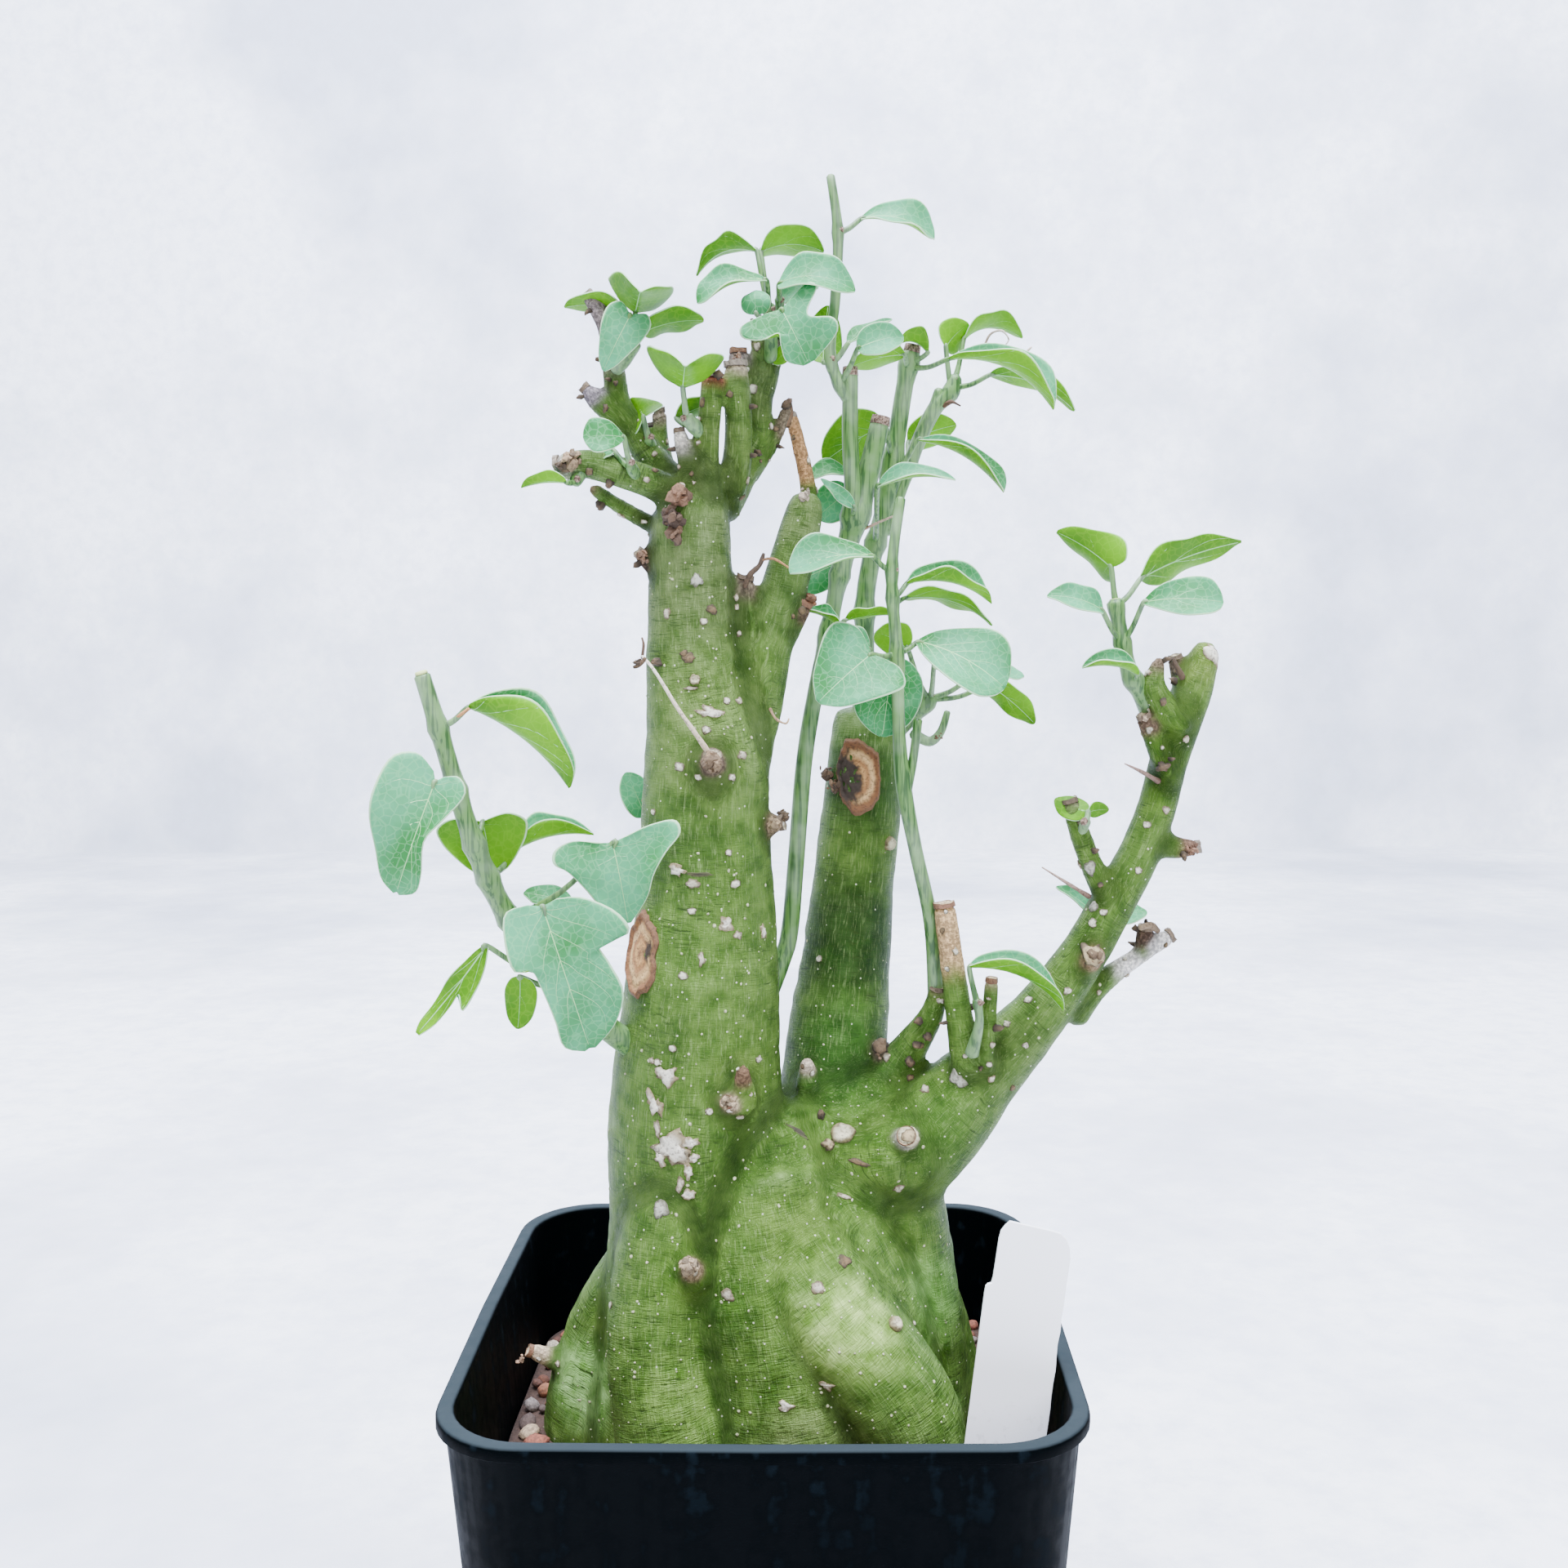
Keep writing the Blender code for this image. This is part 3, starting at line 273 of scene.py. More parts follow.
def path_frames(path):
    """The direction, side and front at each point of a path, carried along it without twist."""
    frames = []
    side = None
    for i in range(len(path)):
        ahead = (path[min(i + 1, len(path) - 1)][0] - path[max(i - 1, 0)][0]).normalized()
        if side is None:
            side = ahead.orthogonal().normalized()
            if abs(ahead.x) < 0.9:
                side = (Vector((1, 0, 0)) - ahead * ahead.x).normalized()
        side = (side - ahead * side.dot(ahead)).normalized()
        frames.append((ahead, side, ahead.cross(side)))
    return frames


def sweep(body, path, sides, round_ends=True):
    """Adds a closed tube along a path of (place, radius) to a bmesh."""
    frames = path_frames(path)
    ends = [path[0], path[-1]]
    if round_ends:
        for end, way in ((0, -1), (-1, 1)):
            place, radius = path[end]
            ends[end] = (place + frames[end][0] * radius * END_REACH * way, radius * END_WIDTH)
        path = [ends[0]] + path + [ends[1]]
        frames = [frames[0]] + frames + [frames[-1]]
    made = bmesh.ops.create_circle(body, cap_ends=True, segments=sides, radius=1)["verts"]
    cap = made[0].link_faces[0]
    rings = []
    for i, ((place, radius), (_, side, front)) in enumerate(zip(path, frames)):
        if i:
            cap = bmesh.ops.extrude_discrete_faces(body, faces=[cap])["faces"][0]
        corners = list(cap.verts)
        for step, vertex in enumerate(corners):
            angle = math.tau * step / sides
            vertex.co = place + (side * math.cos(angle) + front * math.sin(angle)) * radius
        rings.append(corners)
    body.faces.new(list(reversed(rings[0])))
    return rings


def limb_path(points, steps=4):
    """A path through points that are read off the picture: across, down, mm behind, radius in mm."""
    places = [(seen(across, down, behind), radius * MM) for across, down, behind, radius in points]
    return smooth_path(places, steps)

# %% [markdown]
# ## The wood
# On the real plant the swollen base, the stems and the stubs are one growth: bark runs over every fork
# without a seam. So the fat masses are drawn as tubes that overlap, melted into one skin by a voxel
# remesh and eased, until the creases between them fill out like the folds of the living base. The points
# are the same as in the solid model. Each is a pixel across, a pixel down, millimetres behind the pot's
# axis, and a radius in millimetres.

# %% The masses of the wood
MASSES = [
    # The main stem, from the root up to the crown
    [(850, 1900, -4, 21), (850, 1790, -4, 23), (852, 1640, -5, 21), (853, 1500, -6, 19.8),
     (850, 1400, -6, 19.5), (853, 1330, -6, 19), (861, 1200, -6, 17.1), (866, 1100, -6, 15),
     (864, 1000, -6, 14), (866, 920, -6, 13.3), (853, 840, -6, 11), (848, 780, -6, 9.9),
     (846, 700, -6, 9.1), (846, 650, -6, 8.6), (852, 600, -6, 7.2)],
    # The right side of the base, and the front that the ridges stand out of
    [(1050, 1380, 2, 15), (1018, 1480, 0, 17), (1000, 1600, 0, 20), (1005, 1780, 0, 23),
     (1005, 1900, 0, 21)],
    [(925, 1430, -9, 16), (945, 1560, -13, 19), (970, 1680, -15, 20.5), (985, 1800, -14, 23),
     (985, 1900, -12, 19)],
    [(895, 1400, -4, 14), (950, 1438, -6, 13.5), (995, 1500, -8, 15), (1030, 1570, -9, 16),
     (1060, 1650, -9, 15), (1085, 1760, -8, 14)],
    [(950, 1415, -5, 12), (1030, 1408, -3, 12), (1100, 1402, -3, 12.5)],
    [(1085, 1465, 1, 13), (1096, 1560, 2, 14), (1112, 1660, 0, 13), (1122, 1780, 0, 12)],
    # Lobes of the base: left, front left, front ridge, right, back left, back right
    [(812, 1440, 0, 9), (804, 1530, 0, 10), (752, 1630, 1, 11), (728, 1730, 2, 11.6), (715, 1850, 2, 9)],
    [(835, 1440, -14, 11), (815, 1560, -19, 11.5), (812, 1680, -24, 12), (832, 1790, -26, 12.5),
     (840, 1880, -22, 9)],
    [(925, 1440, -11, 12), (958, 1520, -16, 13), (1008, 1600, -23, 12.5), (1062, 1665, -26, 12),
     (1112, 1740, -28, 11.8), (1140, 1860, -26, 9)],
    [(1078, 1440, 6, 10), (1100, 1540, 8, 11), (1132, 1640, 10, 11.4), (1148, 1750, 10, 11.6),
     (1155, 1850, 10, 9)],
    [(860, 1400, 8, 12), (820, 1560, 18, 12), (800, 1690, 24, 13), (790, 1820, 27, 11)],
    [(1010, 1430, 10, 12), (1040, 1560, 19, 12), (1070, 1680, 25, 13), (1085, 1820, 28, 11)],
    # The second stem, behind, and the woody branch off the main stem
    [(1014, 1440, 4, 14), (1019, 1340, 8, 12.6), (1031, 1210, 13, 10.9), (1045, 1080, 17, 9.7),
     (1056, 970, 19, 9), (1063, 890, 21, 8.4), (1064, 868, 21, 7.8)],
    [(890, 960, -5, 9), (918, 870, -4, 7.2), (940, 790, -3, 5.8), (962, 715, -2, 5.3),
     (978, 655, -1, 4.8), (986, 620, 0, 4.1), (989, 602, 0, 3)],
    # The right arm
    [(1040, 1470, 2, 14), (1100, 1415, 0, 13), (1160, 1362, -2, 11), (1210, 1308, -3, 8.4),
     (1272, 1242, -3, 6.5), (1322, 1175, -3, 5.5), (1360, 1110, -3, 5.2), (1393, 1050, -3, 4.8),
     (1416, 990, -3, 4.5), (1430, 935, -3, 4.4), (1447, 880, -3, 4.7), (1460, 846, -3, 4.5),
     (1473, 806, -3, 3.6), (1480, 784, -3, 2)],
]

# %% [markdown]
# The smaller wood stands on those masses: cut stubs, dead spurs and knobs, mostly left from old shoots.
# They are melted on afterwards with less easing, so that they keep their edges.

# %% The smaller wood
# How much of the branch is alive, the colour of its dead end, and its points
BRANCHES = [
    # Stubs on the right arm
    (0.92, "#8a7d6b", [(1358, 1105, -4, 3), (1338, 1062, -5, 2.5), (1322, 1020, -6, 2.2),
                       (1311, 984, -6, 1.9)]),
    (0.55, "#7b5f4c", [(1412, 1030, -3, 3.4), (1440, 1038, -3, 2.5), (1463, 1037, -3, 1.5)]),
    (0.7, "#6f5a48", [(1432, 955, -5, 2.6), (1416, 915, -7, 2.1), (1402, 880, -8, 1.7)]),
    (0.78, "#7a6654", [(1445, 890, -6, 3.2), (1420, 856, -8, 2.8), (1412, 838, -8, 2.5),
                       (1420, 808, -8, 0.9)]),
    (0.6, "#7a6654", [(1458, 860, -2, 2.4), (1447, 832, -1, 2.1), (1440, 808, -1, 1.6)]),
    (0.42, "#e8e2d8", [(1312, 1240, 0, 4.2), (1342, 1208, 1, 3), (1386, 1176, 2, 1.9),
                       (1430, 1147, 3, 1.8)]),
    (0.1, "#5d4a3c", [(1398, 1168, 2, 1.6), (1402, 1140, 2, 1.8)]),
    (0.35, "#a88a68", [(1330, 1180, -6, 3), (1339, 1172, -9, 2.1)]),
    # Stubs in the fork of the right arm, and the foot of the front vine
    (0.62, "#cda877", [(1196, 1340, -6, 5), (1180, 1280, -9, 3.4), (1168, 1195, -10, 2.7),
                       (1157, 1113, -10, 2.4)]),
    (0.9, "#c7b190", [(1216, 1320, -8, 2.4), (1209, 1292, -11, 1.6), (1214, 1203, -12, 1.4)]),
    (0.94, "#77684f", [(1070, 1350, 4, 7), (1108, 1292, 2, 4.4), (1140, 1244, -3, 2.8),
                       (1148, 1212, -5, 1.9)]),
    # Crown: the two left branches, with a stub on each
    (0.9, "#c9beb0", [(850, 640, -7, 5), (829, 609, -9, 3.7), (794, 590, -10, 3.4),
                      (756, 577, -11, 3.3), (718, 568, -12, 3.1), (690, 572, -12, 2.9)]),
    (0.9, "#6f5a48", [(836, 668, -3, 3), (808, 648, -4, 1.9), (775, 630, -5, 1.6), (746, 612, -6, 1.4),
                      (726, 598, -7, 1.2)]),
    (0.62, "#8a7d78", [(852, 612, -3, 4.2), (821, 588, -3, 3.8), (795, 558, -3, 3.4), (773, 522, -3, 3),
                       (757, 492, -3, 2.7), (752, 455, -3, 2.4), (745, 405, -3, 2.1),
                       (732, 378, -3, 1.9), (722, 364, -3, 1.5)]),
    (0.6, "#8c8285", [(764, 518, -4, 2.4), (745, 503, -5, 2.3), (728, 487, -6, 2.1),
                      (718, 477, -6, 1.3)]),
    (0.3, "#5f4a3c", [(812, 700, -7, 3), (785, 679, -9, 1.4)]),
    # Crown: the upright stubs
    (0.75, "#8b7a68", [(822, 592, 0, 2.4), (811, 550, 1, 1.6), (807, 505, 1, 1.4)]),
    (0.6, "#d8cfbf", [(850, 615, -9, 2.4), (840, 572, -10, 1.5), (832, 530, -10, 1.3)]),
    (0.86, "#7c4634", [(864, 600, -9, 3.6), (866, 560, -10, 2.5), (869, 505, -10, 2.35),
                       (872, 464, -10, 2.2)]),
    (0.9, "#b9a68c", [(893, 600, -5, 3.8), (903, 560, -5, 3.2), (904, 500, -6, 3), (901, 452, -6, 2.6)]),
    (0.85, "#8f8078", [(900, 590, 1, 2.6), (905, 500, 2, 2.2), (904, 434, 2, 2)]),
    (0.85, "#6f6a4c", [(880, 620, -2, 5), (905, 582, 1, 3.9), (924, 540, 3, 3.3), (929, 490, 3, 3.1),
                       (940, 455, 4, 2.6), (930, 425, 4, 1.8), (927, 398, 4, 1.5)]),
    (0.4, "#8f8375", [(938, 462, 4, 2.1), (952, 430, 5, 1.9), (962, 405, 5, 1.5)]),
    (0.5, "#7d6f5a", [(916, 585, 3, 2), (944, 548, 4, 1.2), (965, 500, 4, 1.1)]),
    # Stubs by the branch of the main stem
    (0.35, "#b58a5c", [(985, 650, 3, 3.2), (990, 600, 6, 1.8), (970, 512, 8, 1.3)]),
    (0.7, "#8a7a64", [(915, 800, -4, 4), (908, 745, -5, 2.6), (912, 712, -5, 2)]),
    (0.5, "#7a6450", [(960, 780, -3, 3), (985, 742, -4, 1.7)]),
    # Knobs and short dead stubs on the main stem and between the stems
    (0.4, "#8a7260", [(872, 950, -17, 3), (872, 930, -20.5, 2.2)]),
    (0.3, "#9a8468", [(930, 1012, -8, 3.4), (953, 1008, -9, 1.8)]),
    (0.55, "#6f5640", [(912, 1350, -22, 3), (909, 1310, -27, 1.2)]),
    (0.5, "#b9a184", [(908, 1356, -22, 2.6), (892, 1350, -26, 1.5)]),
    (0.6, "#cbb79e", [(990, 1330, -2, 3), (988, 1300, -5, 1.2)]),
    (0.3, "#6b5a4c", [(1082, 1310, 4, 3), (1076, 1282, 1, 1.3)]),
    (0.35, "#cbbfae", [(1110, 1396, -12, 3.2), (1110, 1392, -15, 2.2)]),
    (0.45, "#8f7a5c", [(852, 1566, -27, 3), (846, 1552, -30, 1.8)]),
    (0.55, "#c9b294", [(700, 1670, -2, 3.2), (652, 1655, -4, 1.5)]),
    (0.5, "#b7a58c", [(1095, 1625, -12, 3.2), (1096, 1617, -17, 1.8)]),
]

# %% Melt the wood into one skin
MASS_VOXEL = 1.1 * MM
MASS_EASING = 14
SKIN_VOXEL = 0.98 * MM
SKIN_EASING = 2
# The melt eats a little off thin branches, so they go in thicker
MELT_LOSS = 0.5 * MM
NO_LOSS = 3.0 * MM


def melted(piece, voxel, easing):
    """Remeshes a piece to one skin, eases it, and gives it that mesh."""
    skin = piece.modifiers.new("melt", "REMESH")
    skin.mode = "VOXEL"
    skin.voxel_size = voxel
    ease = piece.modifiers.new("ease", "SMOOTH")
    ease.factor = 0.5
    ease.iterations = easing
    return settle(piece)


def settle(piece):
    """Applies a piece's modifiers."""
    graph = bpy.context.evaluated_depsgraph_get()
    fresh = bpy.data.meshes.new_from_object(piece.evaluated_get(graph))
    old = piece.data
    piece.modifiers.clear()
    piece.data = fresh
    bpy.data.meshes.remove(old)
    return piece


mass_paths = [limb_path(points, 6) for points in MASSES]
branch_paths = [limb_path(points, 5) for _, _, points in BRANCHES]
body = bmesh.new()
for path in mass_paths:
    sweep(body, path, 24, round_ends=False)
wood = melted(new_piece("wood", body), MASS_VOXEL, MASS_EASING)
body = bmesh.new()
body.from_mesh(wood.data)
for path in branch_paths:
    sweep(body, [(place, radius + MELT_LOSS * max(0, 1 - radius / NO_LOSS)) for place, radius in path], 14)
body.to_mesh(wood.data)
body.free()
melted(wood, SKIN_VOXEL, SKIN_EASING)
print("wood faces:", len(wood.data.polygons))

# %% [markdown]
# ## Which way the bark runs
# The bark's fibres follow each limb, also where it bends or leans, so a pattern on plain coordinates
# would cut across the arm on the right. Every vertex therefore gets coordinates of its own, as an
# attribute: across its limb, in front of it, and along it. The nearest limb is found by the distance to
# its skin. Where limbs meet, the coordinates are evened out from neighbour to neighbour, so that the
# grain swirls through the fork.

# %% Grain coordinates
LIMB_CHUNK = 4000
GRAIN_EVENING = 14


def path_samples(paths):
    """Every point of every path with its radius, its three directions and its distance along the limb."""
    rows = []
    for number, path in enumerate(paths):
        along = 0.0
        for i, ((place, radius), axes) in enumerate(zip(path, path_frames(path))):
            if i:
                along += (place - path[i - 1][0]).length
            ahead, side, front = axes
            rows.append((*place, radius, *ahead, *side, *front, along, number))
    return np.array(rows)


def vertex_places(mesh):
    """The places of a mesh's vertices, one row for each."""
    places = np.empty(len(mesh.vertices) * 3)
    mesh.vertices.foreach_get("co", places)
    return places.reshape(-1, 3)


def nearest_samples(places, samples):
    """For each place, the number of the sample whose skin is nearest."""
    found = []
    for start in range(0, len(places), LIMB_CHUNK):
        gap = places[start:start + LIMB_CHUNK, None, :] - samples[None, :, :3]
        found.append(np.argmin(np.sqrt((gap ** 2).sum(axis=2)) - samples[None, :, 3], axis=1))
    return np.concatenate(found)


def evened(mesh, values, rounds):
    """Values at the vertices, each mixed with its neighbours' a number of times."""
    ends = np.empty(len(mesh.edges) * 2, dtype=np.int32)
    mesh.edges.foreach_get("vertices", ends)
    low, high = ends.reshape(-1, 2).T
    count = np.bincount(ends, minlength=len(values))[:, None]
    for _ in range(rounds):
        total = np.zeros_like(values)
        for column in range(values.shape[1]):
            total[:, column] += np.bincount(low, values[high, column], len(values))
            total[:, column] += np.bincount(high, values[low, column], len(values))
        values = 0.5 * values + 0.5 * total / count
    return values


def store(mesh, name, values, kind):
    """Keeps one value for each vertex, as a number, a vector or a colour."""
    layer = mesh.attributes.new(name, kind, "POINT")
    field = {"FLOAT": "value", "FLOAT_VECTOR": "vector", "FLOAT_COLOR": "color"}[kind]
    layer.data.foreach_set(field, np.ascontiguousarray(values, dtype=np.float32).ravel())


samples = path_samples(mass_paths + branch_paths)
wood_places = vertex_places(wood.data)
owner = nearest_samples(wood_places, samples)
own = samples[owner]
offset = wood_places - own[:, :3]
along = own[:, 13] + (offset * own[:, 4:7]).sum(axis=1)
across = (offset * own[:, 7:10]).sum(axis=1)
in_front = (offset * own[:, 10:13]).sum(axis=1)
grain = evened(wood.data, np.stack([across, in_front, along], axis=1), GRAIN_EVENING)
store(wood.data, "grain", grain, "FLOAT_VECTOR")
print("limb samples:", len(samples), "wood vertices:", len(wood_places))

# %% [markdown]
# ## The relief of the bark
# Young bark of this plant is smooth from afar. Close to, it has shallow rings round the stem, where it
# stretched as it fattened, and soft dents. They are real relief, so they are moved into the mesh: noise
# that is stretched round the limb makes the rings, and a broader noise makes the dents. The thin stubs
# stay nearly smooth.

# %% Rings and dents
RING_HEIGHT = 0.2 * MM
RING_WIDTH = 9 * MM
RING_PITCH = 3.2 * MM
DENT_DEPTH = 0.55 * MM
DENT_SIZE = 17 * MM
FOLD_DEPTH = 0.16 * MM
FOLD_SIZE = 4.5 * MM
THIN_LIMB = 3.5 * MM
THICK_LIMB = 9.0 * MM


def bark_relief(place, grain_point, thickness):
    """How far the bark stands out at a place, in metres."""
    dents = noise.noise(place / DENT_SIZE) * DENT_DEPTH
    across, in_front, along = grain_point
    rings = noise.noise(Vector((across / RING_WIDTH, in_front / RING_WIDTH, along / RING_PITCH)))
    folds = noise.noise(place / FOLD_SIZE) * FOLD_DEPTH
    share = min(max((thickness - THIN_LIMB) / (THICK_LIMB - THIN_LIMB), 0.12), 1.0)
    return (dents + rings * RING_HEIGHT + folds) * share


def push_out(mesh, heights):
    """Moves each vertex along its normal."""
    normals = np.array([vertex.normal for vertex in mesh.vertices])
    places = vertex_places(mesh) + normals * np.asarray(heights)[:, None]
    mesh.vertices.foreach_set("co", places.ravel())
    mesh.update()


heights = [bark_relief(Vector(place), Vector(g), thickness)
           for place, g, thickness in zip(wood_places, grain, own[:, 3])]
push_out(wood.data, heights)
wood.data.shade_smooth()
wood_tree = BVHTree.FromPolygons([v.co for v in wood.data.vertices],
                                 [tuple(p.vertices) for p in wood.data.polygons])
print("relief in mm:", round(min(heights) / MM, 2), "to", round(max(heights) / MM, 2))

# %% [markdown]
# ## The colours of the wood
# The plant is green all over, but not evenly: deeper green on the stem behind, greyer and browner
# towards the cut tips. Some of the zones are painted light: a painted highlight on the front of the base,
# where it bulges into the light, and on the left lobe, and painted shade on the stem behind. The folds
# get painted shade and the ridges a painted highlight. Each zone is a soft ball of colour round a place
# in the picture, and each dead tip is the last part of its branch. The mix is kept at the vertices as a
# tint, with a second value for how dead and dry the bark is.

# %% Zones of colour
BARK_GREEN = "#5d7c31"
ZONES = [
    # across, down, mm behind, radius in mm, colour, strength
    (850, 700, -12, 26, "#667744", 0.9),
    (865, 900, -18, 24, "#758c49", 0.8),
    (820, 1030, -20, 16, "#476622", 0.8),
    (900, 1180, -22, 20, "#658239", 0.6),
    (800, 1250, -20, 16, "#506d28", 0.7),
    (925, 1330, -26, 12, "#7d9946", 0.8),
    (905, 1420, -26, 11, "#496e1a", 0.6),
    (980, 1500, -26, 14, "#688436", 0.8),
    # Painted highlight on the front of the base
    (1040, 1630, -36, 15, "#b2cf73", 0.9),
    (840, 1560, -30, 10, "#61852d", 0.6),
    (895, 1600, -28, 9, "#446a1b", 0.8),
    (830, 1720, -36, 13, "#85a54f", 0.7),
    (960, 1720, -34, 13, "#618333", 0.6),
    (990, 1780, -38, 15, "#93a964", 0.7),
    # Painted light on the left lobe, which the pot's wall shades
    (735, 1690, -6, 14, "#c4f79a", 0.9),
    (1110, 1580, -4, 16, "#93c668", 0.9),
    (1140, 1740, -6, 14, "#7baa52", 0.7),
    # Stem behind, this row and the next: its own deeper green with painted shade
    (1045, 1150, 8, 20, "#20430a", 0.95),
    (1030, 1290, 0, 18, "#345d19", 0.95),
    (1075, 1180, 18, 9, "#677648", 0.7),
    # Stem behind, higher up: its own deeper green with painted shade
    (1060, 960, 14, 16, "#2b4d11", 0.9),
    (1150, 1390, -14, 14, "#507628", 0.7),
    (1080, 1420, -16, 10, "#658732", 0.8),
    (1240, 1300, -10, 14, "#5d7737", 0.7),
    (1350, 1120, -6, 16, "#5b7a2f", 0.7),
    (1430, 930, -6, 16, "#4f7019", 0.8),
    (1470, 800, -4, 10, "#788c3e", 0.8),
    (955, 740, -6, 12, "#5c7636", 0.8),
    (985, 640, -3, 10, "#6c7d4a", 0.8),
    (740, 575, -12, 14, "#617b3d", 0.7),
    (870, 560, -8, 16, "#61743a", 0.7),
    (745, 420, -6, 10, "#666945", 0.8),
    (930, 470, -2, 12, "#596839", 0.8),
]
DEAD_FADE = 0.12
FOLD_ROUNDS = 45
# Painted shade in the folds and a painted highlight on the ridges, with their strengths
FOLD_PAINTED_SHADE = "#3f5f1c"
FOLD_PAINTED_SHADE_STRENGTH = 0.75
RIDGE_PAINTED_HIGHLIGHT = "#b3c98a"
RIDGE_PAINTED_HIGHLIGHT_STRENGTH = 0.35


def mixed(base, colour, share):
    """Colours at the vertices, mixed with one colour by a share for each vertex."""
    return base + (np.array(paint(colour)) - base) * share[:, None]


def soft_step(low, high, value):
    """0 up to one value and 1 from the other on, with a soft rise between them."""
    t = np.clip((value - low) / (high - low), 0, 1)
    return t * t * (3 - 2 * t)


first_branch = len(mass_paths)
branch_length = [sum((b[0] - a[0]).length for a, b in zip(path, path[1:])) for path in branch_paths]
roughen = np.array([noise.noise(Vector(place) / (2.0 * MM)) for place in wood_places])
tint = np.tile(np.array(paint(BARK_GREEN)), (len(wood_places), 1))
for zone_across, zone_down, behind, radius, colour, strength in ZONES:
    middle = np.array(seen(zone_across, zone_down, behind))
    near = 1 - soft_step(0.35, 1.0, np.sqrt(((wood_places - middle) ** 2).sum(axis=1)) / (radius * MM))
    tint = mixed(tint, colour, near * strength)
skin_places = vertex_places(wood.data)
skin_normals = np.array([vertex.normal for vertex in wood.data.vertices])
bulge = ((skin_places - evened(wood.data, skin_places, FOLD_ROUNDS)) * skin_normals).sum(axis=1) / MM
thick = soft_step(5 * MM, 9 * MM, own[:, 3])
# Painted shade in the folds and a painted highlight on the ridges of the thick wood, where the skin dips
# below or stands above its eased neighbours
tint = mixed(tint, FOLD_PAINTED_SHADE, soft_step(0.05, -0.9, bulge) * FOLD_PAINTED_SHADE_STRENGTH * thick)
tint = mixed(tint, RIDGE_PAINTED_HIGHLIGHT, soft_step(0.25, 1.1, bulge) * RIDGE_PAINTED_HIGHLIGHT_STRENGTH * thick)
print("folds and ridges in mm:", np.round(np.percentile(bulge, [1, 10, 50, 90, 99]), 2))
dead = np.zeros(len(wood_places))
for number, (alive, colour, _) in enumerate(BRANCHES):
    on_branch = own[:, 14] == first_branch + number
    share = along / branch_length[number] + roughen * 0.06
    gone = soft_step(alive, alive + DEAD_FADE, share) * on_branch
    tint = mixed(tint, colour, gone)
    dead = np.maximum(dead, gone)
softer = evened(wood.data, np.column_stack([tint, dead]), 2)
store(wood.data, "tint", softer[:, :4], "FLOAT_COLOR")
store(wood.data, "dead", softer[:, 4], "FLOAT")
print("colour zones:", len(ZONES), "dead ends:", len(BRANCHES))

# %% [markdown]
# ## Living bark
# The bark of this plant is a thin green skin over water-filled wood, as on a succulent. It has a low
# sheen, fine pale fibres along the limb, thin darker cracks round it, and a scatter of tiny breathing
# pores. The tint from the vertices is the base colour, and it carries the painted highlights and the
# painted shade of the zones, the folds and the ridges. Noise on the grain coordinates, stretched along
# the limb, makes the fibres, and noise squeezed the other way makes the cracks. Both also drive a small
# bump. Dead ends are dry and rough.

# %% Bark material
FIBRE_WIDTH = 0.42 * MM
FIBRE_LENGTH = 4.4 * MM
CRACK_LENGTH = 4.2 * MM
CRACK_HEIGHT = 0.45 * MM
MOTTLE_SIZE = 4.0 * MM
PORE_SPACING = 2.4 * MM
SPECK_SIZE = 0.7 * MM


def living_green(tree, place, tint_with_painted_light, fibres, rings):
    """Green skin: mossy patches, pale fibres and dark furrows along it, cracks round it, and pores."""
    patches = add(tree, "TexNoise", {"Vector": place, "Scale": 1 / MOTTLE_SIZE, "Detail": 5})
    broad = add(tree, "TexNoise", {"Vector": place, "Scale": 1 / (4 * MOTTLE_SIZE), "Detail": 2})
    deeper = add(tree, "MapRange", {"Value": patches, "From Min": 0.32, "From Max": 0.68})
    mossy = add(tree, "Mix", {0: deeper, 6: paint("#ffffff"), 7: paint("#9db37c")}, data_type="RGBA")
    # The tint, with its painted highlights and painted shade, under the mossy patches
    coloured = add(tree, "Mix", {0: 1.0, 6: tint_with_painted_light, 7: mossy}, data_type="RGBA", blend_type="MULTIPLY")
    pale_share = add(tree, "MapRange", {"Value": fibres, "From Min": 0.52, "From Max": 0.72,
        "To Max": 0.24})
    streaked = add(tree, "Mix", {0: pale_share, 6: coloured, 7: paint("#b5cb86")}, data_type="RGBA")
    dark_share = add(tree, "MapRange", {"Value": fibres, "From Min": 0.45, "From Max": 0.28,
        "To Max": 0.45})
    furrowed = add(tree, "Mix", {0: dark_share, 6: streaked, 7: paint("#34551d")}, data_type="RGBA")
    ring_share = add(tree, "MapRange", {"Value": rings, "From Min": 0.46, "From Max": 0.33, "To Max": 0.9})
    where_rings = add(tree, "MapRange", {"Value": broad, "From Min": 0.42, "From Max": 0.58})
    ring_mask = add(tree, "Math", {0: ring_share, 1: where_rings}, operation="MULTIPLY")
    cracked = add(tree, "Mix", {0: ring_mask, 6: furrowed, 7: paint("#2c4014")}, data_type="RGBA")
    pores = add(tree, "TexVoronoi", {"Vector": place, "Scale": 1 / PORE_SPACING})
    pore_share = add(tree, "MapRange", {"Value": pores, "From Min": 0.1, "From Max": 0.07})
    return add(tree, "Mix", {0: pore_share, 6: cracked, 7: paint("#c9d2ad")}, data_type="RGBA")


